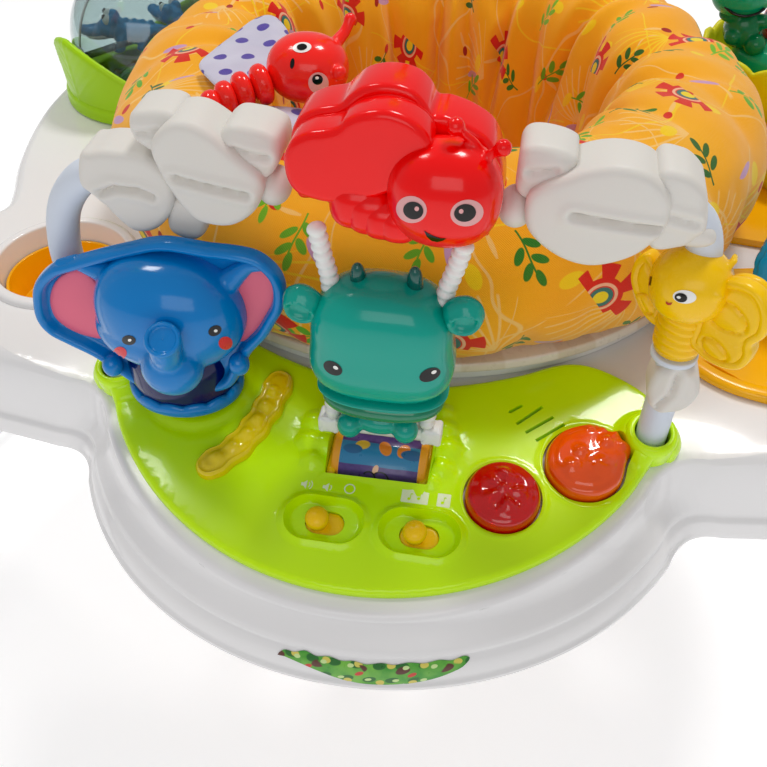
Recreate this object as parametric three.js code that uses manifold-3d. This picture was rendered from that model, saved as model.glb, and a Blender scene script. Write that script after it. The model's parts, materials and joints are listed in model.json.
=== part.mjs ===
// Activity jumper: a floor ring with three uprights, three sprung straps, a play tray with a
// turning soft seat in the middle, an electronic front panel, a toy arch and toys on the tray.
// Millimetres. +Z up, +X to the right, +Y away from the front panel. The origin is on the floor
// under the middle of the seat.
import * as THREE from 'three';
import { mergeVertices } from 'three/addons/utils/BufferGeometryUtils.js';
import Module from 'manifold-3d';

const wasm = await Module();
wasm.setup();

// ---------------------------------------------------------------- driving dimensions
const RING_A = 455;            // floor ring half width
const RING_B = 392;            // floor ring half depth
const RING_Z = 30;             // height of the ring tube's centre
const TUBE_R = 12.5;           // steel tube outer radius
const TUBE_IN = 11;            // steel tube inner radius
const HUB_R = 21;              // plastic hub outer radius
const HUB_IN = 14.6;           // plastic hub bore radius
const TOP_Z = 822;             // height of the uprights' top bend
const SIDE_LUG = [-336, -118]; // left strap, right is mirrored
const REAR_LUG = [0, 304];
const SPRING_TOP = 768, SPRING_BOT = 616;
const TRAY_Z = 400;            // tray top surface
const TRAY_H = 55;             // tray height
const TRAY_EDGE = 12;          // how far the tray wall flares past the top face
const SKIN = 3;                // tray wall
const SEAT_HOLE = 152;         // radius of the tray's seat hole
const PAD_R = 170;             // seat pad outer radius
const PANEL_Y = -178;          // the arch posts' plane, and the hinge line of the sloping panel
const PANEL_TILT = 12 * Math.PI / 180;
const LOBE_Y = PANEL_Y + 51;   // centre of the round front of the tray
const POST_X = 120;            // arch posts
const POST_R = 6.5;
const DETAIL = 0.5;            // how finely round pieces are divided

const V3 = (x, y, z) => new THREE.Vector3(x, y, z);
const V2 = (x, y) => new THREE.Vector2(x, y);
const D = Math.PI / 180;
const group = new THREE.Group();

// ---------------------------------------------------------------- solids
function toSolid(geometry) {
  let g = geometry.clone();
  for (const n of Object.keys(g.attributes)) if (n !== 'position') g.deleteAttribute(n);
  g = mergeVertices(g, 1e-3);
  const idx = g.index.array, tri = [];
  for (let i = 0; i < idx.length; i += 3) {
    const a = idx[i], b = idx[i + 1], c = idx[i + 2];
    if (a !== b && b !== c && c !== a) tri.push(a, b, c);
  }
  const m = new wasm.Manifold(new wasm.Mesh({
    numProp: 3, vertProperties: new Float32Array(g.attributes.position.array), triVerts: new Uint32Array(tri),
  }));
  return m;
}
function toGeometry(solid) {
  const m = solid.getMesh();
  const g = new THREE.BufferGeometry();
  g.setAttribute('position', new THREE.BufferAttribute(new Float32Array(m.vertProperties), 3));
  g.setIndex(new THREE.BufferAttribute(new Uint32Array(m.triVerts), 1));
  g.computeVertexNormals();
  return g;
}
const S = (x) => (x.isBufferGeometry ? toSolid(x) : x);
const join = (...a) => a.map(S).reduce((p, q) => p.add(q));
const cut = (a, ...b) => b.map(S).reduce((p, q) => p.subtract(q), S(a));
const both = (a, b) => S(a).intersect(S(b));
function mirrorX(shape) {
  const g = shape.isBufferGeometry ? shape.clone() : toGeometry(shape);
  const p = g.attributes.position;
  for (let i = 0; i < p.count; i++) p.setX(i, -p.getX(i));
  for (const n of Object.keys(g.attributes)) if (n !== 'position') g.deleteAttribute(n);
  const h = mergeVertices(g, 1e-4);
  const ix = h.index.array;
  for (let i = 0; i < ix.length; i += 3) { const t = ix[i]; ix[i] = ix[i + 1]; ix[i + 1] = t; }
  return h;
}
function add(name, shape, color, roughness = 0.4, metalness = 0) {
  const g = shape.isBufferGeometry ? shape : toGeometry(shape);
  const mesh = new THREE.Mesh(g, new THREE.MeshStandardMaterial({ color, roughness, metalness }));
  mesh.name = name;
  group.add(mesh);
}

// ---------------------------------------------------------------- shape helpers
const polygon = (r, n, turn = 0) => Array.from({ length: n }, (_, i) => V2(r * Math.cos(2 * Math.PI * i / n + turn), r * Math.sin(2 * Math.PI * i / n + turn)));
function smooth(points, n) {
  return new THREE.CatmullRomCurve3(points.map(([x, y]) => V3(x, y, 0)), true, 'centripetal').getSpacedPoints(n).slice(0, n).map((p) => V2(p.x, p.y));
}
function ccw(pts) { return THREE.ShapeUtils.isClockWise(pts) ? pts.slice().reverse() : pts; }
function toSegment(p, a, b) {
  const ab = b.clone().sub(a), t = Math.min(Math.max(p.clone().sub(a).dot(ab) / ab.lengthSq(), 0), 1);
  return p.distanceTo(a.clone().addScaledVector(ab, t));
}
// The outline moved outwards by d. Points that land nearer than d to the outline are dropped.
function offset(pts, d) {
  const q = ccw(pts), n = q.length;
  const moved = q.map((p, i) => {
    const a = q[(i + n - 1) % n], b = q[(i + 1) % n];
    const s = p.clone().sub(a).normalize(), t = b.clone().sub(p).normalize();
    const k = d / Math.max(1 + s.dot(t), 0.5);
    return V2(p.x + (s.y + t.y) * k, p.y - (s.x + t.x) * k);
  });
  const keep = moved.filter((p) => q.every((a, i) => toSegment(p, a, q[(i + 1) % n]) > Math.abs(d) * 0.985 - 0.02));
  return keep.filter((p, i) => p.distanceTo(keep[(i + 1) % keep.length]) > 0.15);
}
// A prism of an outline from z0 to z1. With an edge, the sides stand `edge` past the outline.
function prism(pts, z0, z1, edge = 0, rise = edge, segs = 2) {
  const shape = new THREE.Shape(ccw(pts));
  const depth = z1 - z0 - 2 * (edge ? rise : 0);
  const g = new THREE.ExtrudeGeometry(shape, { depth, steps: 1, bevelEnabled: edge > 0, bevelSize: edge, bevelThickness: rise, bevelSegments: segs, curveSegments: 8 });
  g.translate(0, 0, z0 + (edge ? rise : 0));
  return g;
}
// A prism of an outline in X and Z, between two planes of Y.
function slab(pts, y0, y1, edge = 0, segs = 2) {
  const g = prism(pts, 0, y1 - y0, edge, edge, segs);
  g.rotateX(Math.PI / 2);
  g.translate(0, y1, 0);
  return g;
}
const lathe = (pts, n = 24) => { const g = new THREE.LatheGeometry(pts.map(([r, z]) => V2(r, z)), Math.max(8, Math.round(n * DETAIL))); g.rotateX(Math.PI / 2); return g; };
function turned(pts, n, x, y, z) { const g = lathe(pts, n); g.translate(x, y, z); return g; }
// Profile order: +Z up after the turn, so a closed solid runs from low to high on the outside.
function rod(r, a, b, n = 12) {
  const A = V3(...a), B = V3(...b), g = new THREE.CylinderGeometry(r, r, A.distanceTo(B), Math.max(6, Math.round(n * DETAIL)));
  g.applyQuaternion(new THREE.Quaternion().setFromUnitVectors(V3(0, 1, 0), B.clone().sub(A).normalize()));
  g.translate((A.x + B.x) / 2, (A.y + B.y) / 2, (A.z + B.z) / 2);
  return g;
}
function box(x0, x1, y0, y1, z0, z1) {
  const g = new THREE.BoxGeometry(x1 - x0, y1 - y0, z1 - z0);
  g.translate((x0 + x1) / 2, (y0 + y1) / 2, (z0 + z1) / 2);
  return g;
}
function ball(x, y, z, rx, ry = rx, rz = rx, n = 14) {
  const m = Math.max(6, Math.round(n * DETAIL * 0.95));
  const g = new THREE.SphereGeometry(1, m, Math.max(4, Math.round(m * 0.6)));
  g.scale(rx, ry, rz);
  g.translate(x, y, z);
  return g;
}
// A route through given points, one ring of the swept section at each.
class Route extends THREE.Curve {
  constructor(points) { super(); this.pts = points; this.n = points.length - 1; }
  getPoint(t, target = V3(0, 0, 0)) {
    const f = Math.min(Math.max(t, 0), 1) * this.n, i = Math.min(Math.floor(f), this.n - 1);
    return target.copy(this.pts[i]).lerp(this.pts[i + 1], f - i);
  }
  getPointAt(u, target) { return this.getPoint(u, target); }
  getTangentAt(u, target = V3(0, 0, 0)) {
    const i = Math.round(u * this.n), s = V3(0, 0, 0);
    if (i > 0) s.add(this.pts[i].clone().sub(this.pts[i - 1]).normalize());
    if (i < this.n) s.add(this.pts[i + 1].clone().sub(this.pts[i]).normalize());
    return target.copy(s.normalize());
  }
  getSpacedPoints() { return this.pts.map((p) => p.clone()); }
}
function tube(points, r, sides = 10, inner = 0, turn = 0) {
  const shape = new THREE.Shape(polygon(r, sides, turn));
  if (inner) shape.holes.push(new THREE.Path(polygon(inner, sides, turn).reverse()));
  return new THREE.ExtrudeGeometry(shape, { steps: points.length - 1, extrudePath: new Route(points), bevelEnabled: false });
}
const ringPoint = (deg, z = RING_Z) => V3(RING_A * Math.cos(deg * D), RING_B * Math.sin(deg * D), z);
function ringArc(a, b, step = 6) {
  const out = [];
  for (let t = a; t <= b + 1e-6; t += step) out.push(ringPoint(t));
  return out;
}
const ringAt = (...angles) => angles.map((t) => ringPoint(t));
// A piece drawn on the sloping panel: u across, v up the slope, w out of it.
function onPanel(geometry) {
  const g = geometry.clone();
  g.rotateX(PANEL_TILT);
  g.translate(0, PANEL_Y, TRAY_Z);
  return g;
}

// ---------------------------------------------------------------- frame: hubs, rails, uprights
const LEFT_LEG = [
  [[-455, -3, RING_Z], [-430, -22, 350], [-402, -44, 640], [-384, -60, 745], [-366, -82, 800], [-350, -118, TOP_Z]],
  [[-366, -233, RING_Z], [-362, -217, 350], [-357, -196, 640], [-354, -178, 745], [-351, -155, 800]],
];
const REAR_LEG = [
  [[-120, 378, RING_Z], [-108, 372, 350], [-92, 352, 640], [-76, 334, 745], [-50, 322, 800], [0, 318, TOP_Z]],
  [[120, 378, RING_Z], [108, 372, 350], [92, 352, 640], [76, 334, 745], [50, 322, 800]],
];
const along = (a, b, z) => { const A = V3(...a), B = V3(...b); return A.lerp(B, (z - A.z) / (B.z - A.z)); };
function uprightRoute([first, second], z0) {
  const a = first.map((p) => V3(...p)), b = second.map((p) => V3(...p)).reverse();
  a[0] = along(first[0], first[1], z0);
  b[b.length - 1] = along(second[0], second[1], z0);
  return [...a, ...b];
}
function hub(a, b, legs) {
  const stubs = legs.map(([p]) => p);
  let outer = S(tube(ringArc(a, b), HUB_R, 8));
  for (const [p, q] of legs.map((l) => [l[0], l[1]])) outer = outer.add(S(tube([along(p, q, RING_Z), along(p, q, 92)], 19, 8)));
  let s = outer.subtract(S(tube([ringPoint(a - 3), ...ringArc(a, b), ringPoint(b + 3)], HUB_IN, 8)));
  for (const [p, q] of legs.map((l) => [l[0], l[1]])) s = s.subtract(S(tube([along(p, q, 48), along(p, q, 94)], 14.4, 8)));
  return s;
}
const hubLeft = hub(174, 222, LEFT_LEG);
add('base_hub_left', hubLeft, 0xf2f2f0);
add('base_hub_right', mirrorX(hubLeft), 0xf2f2f0);
add('base_hub_rear', hub(66, 114, REAR_LEG), 0xf2f2f0);
add('base_hub_front', tube(ringArc(264, 276), HUB_R, 8, HUB_IN), 0xf2f2f0);
add('base_rail_front', tube(ringAt(216, 222, 236, 250, 264, 270, 276, 290, 304, 318, 324), TUBE_R, 8, TUBE_IN), 0xe9e9ea, 0.35, 0.1);
const railLeft = tube(ringAt(108, 114, 128, 144, 160, 174, 180), TUBE_R, 8, TUBE_IN);
add('base_rail_left', railLeft, 0xe9e9ea, 0.35, 0.1);
add('base_rail_right', mirrorX(railLeft), 0xe9e9ea, 0.35, 0.1);

// One rubber foot under each hub, following its curve.
const footArc = (a, b) => {
  const p = [];
  for (let t = a; t <= b + 1e-6; t += 6) { const q = ringPoint(t), k = V2(q.x, q.y).normalize(); p.push(V2(q.x + k.x * 13, q.y + k.y * 13)); }
  for (let t = b; t >= a - 1e-6; t -= 6) { const q = ringPoint(t), k = V2(q.x, q.y).normalize(); p.push(V2(q.x - k.x * 13, q.y - k.y * 13)); }
  return prism(p, 0, 8.6);
};
const footLeft = footArc(174, 222);
add('foot_left', footLeft, 0x3a3d40, 0.9);
add('foot_right', mirrorX(footLeft), 0x3a3d40, 0.9);
add('foot_rear', footArc(66, 114), 0x3a3d40, 0.9);

const upLeft = tube(uprightRoute(LEFT_LEG, 54), TUBE_R, 8, TUBE_IN);
add('upright_left', upLeft, 0xe9e9ea, 0.35, 0.1);
add('upright_right', mirrorX(upLeft), 0xe9e9ea, 0.35, 0.1);
add('upright_rear', tube(uprightRoute(REAR_LEG, 54), TUBE_R, 8, TUBE_IN), 0xe9e9ea, 0.35, 0.1);

const roundRect = (w, d, r, n = 2) => {
  const out = [];
  [[1, 1, 0], [-1, 1, 90], [-1, -1, 180], [1, -1, 270]].forEach(([sx, sy, a0]) => {
    for (let i = 0; i <= n; i++) { const a = (a0 + 90 * i / n) * D; out.push(V2(sx * (w / 2 - r) + r * Math.cos(a), sy * (d / 2 - r) + r * Math.sin(a))); }
  });
  return out;
};
function housing(cx, cy, w, d, route, sx, sy) {
  const g = prism(roundRect(w, d, 16), 776, 852, 6, 8, 1);
  g.translate(cx, cy, 0);
  return cut(g, tube(route, 14.2, 8), turned([[0, 770], [25, 770], [25, 800], [0, 800]], 16, sx, sy, 0));
}
const houseLeft = housing(-343, -118, 50, 104, uprightRoute(LEFT_LEG, 54), ...SIDE_LUG);
add('top_housing_left', houseLeft, 0x9bd313);
add('top_housing_right', mirrorX(houseLeft), 0x9bd313);
add('top_housing_rear', housing(0, 311, 104, 50, uprightRoute(REAR_LEG, 54), ...REAR_LUG), 0x9bd313);

// ---------------------------------------------------------------- springs, covers, straps
function spring(x, y) {
  const pts = [], turns = 5, per = 6;
  for (let i = 0; i <= turns * per; i++) {
    const a = 2 * Math.PI * i / per;
    pts.push(V3(x + 13 * Math.cos(a), y + 13 * Math.sin(a), SPRING_BOT + (SPRING_TOP - SPRING_BOT) * i / (turns * per)));
  }
  return tube(pts, 2, 4);
}
const coverProfile = [[18.5, 604], [21, 603], [23.2, 680], [22.5, 765], [20.2, 765], [18.5, 604]];
function strap(x, y, alongY) {
  const f = (hw, ht, z0, z1) => (alongY ? box(x - ht, x + ht, y - hw, y + hw, z0, z1) : box(x - hw, x + hw, y - ht, y + ht, z0, z1));
  return join(f(15, 1.3, TRAY_Z - 10, 598), f(17, 4.5, TRAY_Z - 12, TRAY_Z - 4.2), f(13, 4.5, 594, 606), rod(2.4, [x, y, 603], [x, y, 611], 8));
}
for (const [side, x, y, ay] of [['left', SIDE_LUG[0], SIDE_LUG[1], true], ['right', -SIDE_LUG[0], SIDE_LUG[1], true], ['rear', REAR_LUG[0], REAR_LUG[1], false]]) {
  add('spring_' + side, spring(x, y), 0xb5b8bb, 0.25, 1);
  add('spring_cover_' + side, turned(coverProfile, 12, x, y, 0), 0xf39a1c, 0.9);
  add('strap_' + side, strap(x, y, ay), 0xe8e4da, 0.85);
}

// ---------------------------------------------------------------- tray
// Right half of the top face's outline, from the front lobe round to the rear lug.
const half = [[150, -172], [178, -168], [215, -164], [280, -163], [335, -160], [362, -144], [368, -118], [362, -92], [335, -78], [290, -76], [252, -72], [236, -56], [240, -34], [252, -2],
  [262, 40], [266, 80], [262, 125], [245, 168], [214, 208], [168, 240], [118, 260], [76, 270], [54, 284], [50, 305], [42, 324], [22, 334]];
const trayTopOutline = smooth([...half, ...half.slice().reverse().map(([x, y]) => [-x, y]), [-100, -178], [0, -178], [100, -178]], 60);
const TZ = (z) => TRAY_Z + z;
function traySolid(inset, drop) {
  const main = prism(offset(trayTopOutline, -inset), TZ(-drop) - 95, TZ(-drop), TRAY_EDGE, 20, 2);
  const r = -inset;
  const lobe = turned([[0, -75], [158 + r, -75], [158 + r, -52], [154 + r, -40], [149.5 + r, -31], [146 + r, -20], [141 + r, -drop], [0, -drop]], 56, 0, LOBE_Y, TRAY_Z);
  return join(main, lobe);
}
// Wedge above the sloping ledge that carries the panel.
const wedgeAt = (w, r) => onPanel((() => { const g = prism(polygon(r, 32).map((p) => V2(p.x, p.y + 51)), w, w + 60); return g; })());
const half2 = [[131, -6], [134, 2], [130, 11], [122, 22], [110, 30.5], [94, 36.5], [80, 35.5], [62, 27], [40, 19], [18, 14.5]];
const arc = [];
for (let a = -154; a <= -26; a += 8) arc.push([136.5 * Math.cos(a * D), 51 + 136.5 * Math.sin(a * D)]);
const panelPlan = smooth([...arc, ...half2, ...half2.slice().reverse().map(([x, y]) => [-x, y])], 40);
const panelUV = panelPlan.map((p) => V2(p.x, p.y / Math.cos(PANEL_TILT)));
const RED = [60.5, -36.8], ORANGE = [95, -15.5];        // push buttons
const disc = (r, x, y, w0, w1, n = 24) => turned([[0, w0], [r, w0], [r, w1], [0, w1]], n, x, y, 0);
const LUG_SLOTS = [box(SIDE_LUG[0] - 3, SIDE_LUG[0] + 3, SIDE_LUG[1] - 17, SIDE_LUG[1] + 17, TZ(-8), TZ(5)), box(-SIDE_LUG[0] - 3, -SIDE_LUG[0] + 3, SIDE_LUG[1] - 17, SIDE_LUG[1] + 17, TZ(-8), TZ(5)),
  box(REAR_LUG[0] - 17, REAR_LUG[0] + 17, REAR_LUG[1] - 3, REAR_LUG[1] + 3, TZ(-8), TZ(5))];
const BALL = [-207, 104, TZ(36)], BALL_R = 50;
const CUP = [-184, -101];
const cyl = (r, x, y, z0, z1, n = 24) => turned([[0, z0], [r, z0], [r, z1], [0, z1]], n, x, y, TRAY_Z);
const under = box(-600, 600, -600, 600, TZ(-200), TZ(-TRAY_H));
const collarOuter = cyl(155.5, 0, 0, -TRAY_H + 1, 6, 56);
let trayTop = cut(traySolid(0, 0), under, wedgeAt(-4.4, 149));
trayTop = cut(trayTop, cut(traySolid(SKIN, SKIN), wedgeAt(-4.4 - SKIN, 149)));
trayTop = join(trayTop, collarOuter, cyl(38.5, CUP[0], CUP[1], -32, 2.5, 28));
trayTop = cut(trayTop, cyl(SEAT_HOLE, 0, 0, -80, 20, 56), onPanel(prism(offset(panelUV, -10), -52, 20)), cyl(40, BALL[0], BALL[1], -30, 5, 28), onPanel(disc(22.5, ...ORANGE, -16, 2)), cyl(8, POST_X, PANEL_Y, -14, 6, 16), cyl(8, -POST_X, PANEL_Y, -14, 6, 16),
  turned([[0, -29], [31, -29], [33.5, 8], [0, 8]], 28, CUP[0], CUP[1], TRAY_Z), ...LUG_SLOTS);
add('tray_top', trayTop, 0xf4f4f3, 0.25);

const bottomPlate = join(prism(offset(trayTopOutline, TRAY_EDGE - SKIN - 0.6), TZ(-54), TZ(-51.6)), cyl(154.4, 0, LOBE_Y - 0, -54, -51.6, 56));
add('tray_bottom', cut(bottomPlate, cyl(156.1, 0, 0, -60, -40, 56), box(-75, -29, PANEL_Y - 52, PANEL_Y + 4, TZ(-60), TZ(-40))), 0xeaeaea, 0.4);
add('cup_insert', turned([[0, -28.6], [30.4, -28.6], [31.8, -8], [30.2, -8], [28.8, -26.4], [0, -26.4]], 28, CUP[0], CUP[1], TRAY_Z), 0xffb020, 0.4);

// ---------------------------------------------------------------- seat
add('seat_ring', turned([[143, -18], [149.9, -18], [150.2, 6.8], [162, 7.0], [161, 11.8], [144, 12.2], [143, -18]], 56, 0, 0, TRAY_Z), 0xf0ece4, 0.35);
const padProfile = [[84, -60], [98, 0], [118, 12.8], [162, 13.4], [168.5, 28], [PAD_R, 46], [163, 70], [148, 85], [124, 92], [100, 88.5], [88, 72], [83, 0], [78, -70], [70, -124], [0, -158], [0, -167], [66, -148], [80, -100], [84, -60]];
let pad = S(turned(padProfile, 40, 0, 0, TRAY_Z));
for (const sx of [-1, 1]) {
  const leg = ball(sx * 42, -6, TZ(-158), 26, 36, 40, 16);
  pad = pad.subtract(S(leg));
}
add('seat_pad', pad, 0xf7a11e, 0.95);

// ---------------------------------------------------------------- front panel
const slot = (cx, cy, hl, hw, w0, w1, n = 4) => {
  const pts = [];
  for (let i = 0; i <= n; i++) { const a = (-90 + 180 * i / n) * D; pts.push(V2(cx + hl - hw + hw * Math.cos(a), cy + hw * Math.sin(a))); }
  for (let i = 0; i <= n; i++) { const a = (90 + 180 * i / n) * D; pts.push(V2(cx - hl + hw + hw * Math.cos(a), cy + hw * Math.sin(a))); }
  return prism(pts, w0, w1);
};
const SL1 = [-11.2, -58.5], SL2 = [28.6, -58.5];       // slider slots
const WIN = [6.5, -22, 22.2, 14.4];                     // drum window centre and half sizes
let skin = join(prism(panelUV, -4, 0, 0), cut(prism(offset(panelUV, -11), -9, -2), prism(offset(panelUV, -13), -12, 5)));
for (const [x, y] of [SL1, SL2]) skin = cut(join(skin, slot(x, y, 18, 11, -3, 1.8)), slot(x, y, 16, 9, -1.6, 6));
for (const s of [-1, 1]) skin = join(skin, ball(WIN[0] + s * 29, WIN[1] + 3, -1.5, 9, 15, 6, 12));
for (const s of [-1, 1]) skin = cut(join(skin, disc(11, s * POST_X, 0, -4, 8, 18)), disc(8.6, s * POST_X, 0, -12, 14, 20));
skin = cut(skin, prism([V2(WIN[0] - WIN[2], WIN[1] - WIN[3]), V2(WIN[0] + WIN[2], WIN[1] - WIN[3]), V2(WIN[0] + WIN[2], WIN[1] + WIN[3]), V2(WIN[0] - WIN[2], WIN[1] + WIN[3])], -8, 12),
  slot(...SL1, 8.2, 5.2, -8, 6), slot(...SL2, 8.2, 5.2, -8, 6), disc(16.6, ...RED, -12, 6), disc(20.8, ...ORANGE, -12, 14));
for (let i = 0; i < 4; i++) {
  const g = slot(0, 0, 8, 0.9, -8, 4, 1);
  g.rotateZ(48 * D);
  g.translate(62 + i * 6.2, 8 - i * 2.9, 0);
  skin = cut(skin, g);
}
add('panel_housing', onPanel(toGeometry(skin)), 0xa9dd0b, 0.25);

// The tub under the panel carries the drum's bearings and the electronics.
const plan = (d) => offset(panelPlan, d).map((p) => V2(p.x, p.y + PANEL_Y));
const tubTop = (w) => onPanel(prism(polygon(260, 12), w, w + 120));
let tub = cut(prism(plan(-15), TZ(-50.6), TZ(30)), tubTop(-9.6));
tub = cut(tub, prism(plan(-17.4), TZ(-48), TZ(60)));
const DOOR = [-71, -33, PANEL_Y - 48, PANEL_Y];
const DRUM = { u: WIN[0], v: WIN[1], w: -11.6, r: 14.6, hl: 20.8 };
const drumY = PANEL_Y + DRUM.v * Math.cos(PANEL_TILT) - DRUM.w * Math.sin(PANEL_TILT);
const drumZ = TRAY_Z + DRUM.v * Math.sin(PANEL_TILT) + DRUM.w * Math.cos(PANEL_TILT);
tub = cut(tub, box(DOOR[0], DOOR[1], DOOR[2], DOOR[3], TZ(-60), TZ(-45)));
for (const s of [-1, 1]) {
  const x0 = DRUM.u + s * (DRUM.hl + 2.6), x1 = x0 + s * 3;
  tub = join(tub, box(Math.min(x0, x1), Math.max(x0, x1), drumY - 7, drumY + 7, TZ(-50), drumZ + 2));
}
tub = cut(tub, rod(3.4, [DRUM.u - 40, drumY, drumZ], [DRUM.u + 40, drumY, drumZ], 14));
add('panel_base', tub, 0xe3e3e0, 0.45);
add('battery_door', join(box(DOOR[0] + 0.4, DOOR[1] - 0.4, DOOR[2] + 0.4, DOOR[3] - 0.4, TZ(-50.6), TZ(-48.2)), rod(4, [-52, DOOR[2] + 8, TZ(-51.4)], [-52, DOOR[2] + 8, TZ(-50)], 10)), 0xe0e0dd, 0.45);
add('batteries', join(...[-61.2, -52, -42.8].map((x) => join(rod(5.4, [x, PANEL_Y - 46, TZ(-41)], [x, PANEL_Y - 4, TZ(-41)], 12), rod(2, [x, PANEL_Y - 5, TZ(-41)], [x, PANEL_Y - 2.4, TZ(-41)], 8)))), 0x2e7d5b, 0.35, 0.4);
add('circuit_board', join(box(35, 71, PANEL_Y - 41, PANEL_Y - 17, TZ(-47.4), TZ(-45.8)), box(38, 48, PANEL_Y - 36, PANEL_Y - 26, TZ(-46), TZ(-43.8)), box(55, 67, PANEL_Y - 33, PANEL_Y - 25, TZ(-46), TZ(-44.2))), 0x1f7a3c, 0.5);
add('speaker', turned([[0, -34], [8, -34], [8, -28], [13.2, -20], [13.2, -17], [0, -17]], 18, 77, PANEL_Y - 2, TRAY_Z), 0x3c3c3e, 0.5);
const barMid = [[-46.3, 0], [-48.2, -12], [-51.6, -24], [-57.4, -34.4], [-65.3, -42]];
add('light_bar', onPanel((() => {
  const l = barMid.map(([x, y], i) => { const a = barMid[Math.max(i - 1, 0)], b = barMid[Math.min(i + 1, 4)]; const t = V2(b[0] - a[0], b[1] - a[1]).normalize(); return [V2(x - t.y * 5.4, y + t.x * 5.4), V2(x + t.y * 5.4, y - t.x * 5.4)]; });
  const pts = [...l.map((q) => q[0]), V2(-69.6, -44.6), ...l.map((q) => q[1]).reverse(), V2(-46, 5.6)].map((p) => [p.x, p.y]);
  return prism(smooth(pts, 18), 0.3, 5.6, 0);
})()), 0xf4dc1a, 0.15);
const slider = ([x, y], dx) => onPanel(toGeometry(join(slot(x + dx, y, 13.5, 6.4, -6.2, -4.4), disc(4, x + dx, y, -6, 0.4, 14), ball(x + dx, y, 0.6, 5, 5, 4, 14))));
add('volume_slider', slider(SL1, -2.9), 0xffa800, 0.35);
add('mode_slider', slider(SL2, -1.8), 0xffa800, 0.35);
add('red_button', onPanel(turned([[0, -6.2], [15.8, -6.2], [15.9, 1.5], [14.2, 5.5], [9, 8.4], [0, 9.2]], 28, ...RED, 0)), 0xd3150f, 0.12);
const orange = [[15.6, 2], [13, -9], [4, -16.5], [-8, -16.5], [-17, -8], [-18.2, 3], [-13, 12.5], [-4, 17.5], [2, 18.3], [7, 16], [11, 16.6], [14, 12], [17.5, 9]];
add('orange_button', onPanel((() => { const g = prism(smooth(orange, 18), -6.2, 9, 0.6, 3, 1); g.translate(ORANGE[0], ORANGE[1], 0); return g; })()), 0xff5a0a, 0.12);
add('picture_drum', join(rod(DRUM.r, [DRUM.u - DRUM.hl, drumY, drumZ], [DRUM.u + DRUM.hl, drumY, drumZ], 24), rod(2.9, [DRUM.u - DRUM.hl - 6, drumY, drumZ], [DRUM.u + DRUM.hl + 6, drumY, drumZ], 12)), 0x5b3a9b, 0.4);

// ---------------------------------------------------------------- toy arch
const leafAt = (pts, y0, y1, n = 11) => slab(smooth(pts, n).map((p) => V2(p.x, p.y + TRAY_Z)), PANEL_Y + y0, PANEL_Y + y1, 2.4, 1);
const curve = (pts, n) => new THREE.CatmullRomCurve3(pts.map((p) => V3(p[0], PANEL_Y + p[1], TRAY_Z + p[2])), false, 'centripetal').getSpacedPoints(n);
const L_OUTER = [[-108.2, 119.1], [-102.7, 121.3], [-96, 122.4], [-84, 121.6], [-76.4, 116.3], [-73.7, 108.6], [-76.4, 98.4], [-83.5, 89.9], [-91.7, 87.5], [-97.7, 91.4], [-105.4, 101.7], [-111, 106.7]];
const L_SMALL = [[-85.9, 136.2], [-78.8, 138.7], [-71.6, 138.6], [-68.5, 135.5], [-71, 128], [-79, 122], [-86, 128]];
const L_BIG = [[-77.9, 127.3], [-70.5, 136.8], [-62, 138.4], [-54, 134.3], [-47.9, 128.3], [-40.9, 122.8], [-38.1, 118.7], [-38.3, 112.5], [-42.9, 104], [-51.6, 97.8], [-61.7, 97.5], [-67.8, 101.2], [-74, 112.4]];
const L_UPPER = [[-54, 130], [-49.5, 136.2], [-42.3, 136.5], [-36.1, 135.2], [-32, 132], [-32.4, 124], [-38, 117], [-47, 122]];
const L_KNUCKLE = [[-41, 118], [-32.8, 119], [-32.4, 112], [-33, 104.6], [-38, 105], [-42, 111]];
const L_TAIL = [[-76, 103], [-63.1, 100], [-65.7, 88], [-72.3, 84.2], [-80.1, 89]];
const leftPost = curve([[-120, 0, -6], [-120.6, 0, 10], [-124, 0, 32], [-128.6, 0, 54], [-129.4, 0, 72], [-124, 0, 92], [-112, 0, 106], [-98, 0, 108]], 9);
add('arch_left', join(tube(leftPost, POST_R, 8), leafAt(L_OUTER, -11, 11), leafAt(L_SMALL, -7, 12, 9), leafAt(L_BIG, -13, 9), leafAt(L_UPPER, -9, 11, 9), leafAt(L_KNUCKLE, -8, 8, 7), leafAt(L_TAIL, -6, 5, 7)), 0xf3f3f1, 0.6);
const R_BIG = [[54.9, 121.2], [58.7, 126.3], [64.8, 130], [74.5, 134.7], [83.7, 136.4], [93.3, 134.5], [100.6, 128.2], [102.5, 121.1], [101.4, 112.7], [95.7, 104.1], [87.8, 98.8], [78.8, 96.4], [69, 98.6], [59.9, 104.7], [55.3, 111.7]];
const R_OUTER = [[96, 132], [104.4, 134.2], [111.5, 129.4], [114.1, 123.6], [115.7, 114.4], [113.9, 110.9], [109, 105.9], [98, 106]];
const R_SMALL = [[50.5, 130], [51, 135.6], [54, 138.4], [60, 138.6], [67.1, 136.9], [70.1, 133.5], [66, 124], [57, 118], [51, 121]];
const R_KNOB = [[106, 112], [114, 113.2], [119, 112], [120.5, 107.8], [116, 105], [108, 106]];
const R_OVAL = [[112, 36], [114, 46], [121, 50], [129, 46], [132, 36], [128, 27], [120, 24], [114, 28]];
const rightPost = curve([[POST_X, 0, -6], [POST_X, 0, 20], [POST_X, 0, 40], [119.4, 0, 60], [119.4, 0, 84], [119, 0, 100], [114, 0, 112], [104, 0, 118]], 9);
add('arch_right', join(tube(rightPost, POST_R, 8), leafAt(R_BIG, -13, 9), leafAt(R_OUTER, -10, 11, 9), leafAt(R_SMALL, -8, 11, 9), leafAt(R_KNOB, -8, 8, 7), leafAt(R_OVAL, -7.5, 7.5, 9)), 0xf3f3f1, 0.6);
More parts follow.
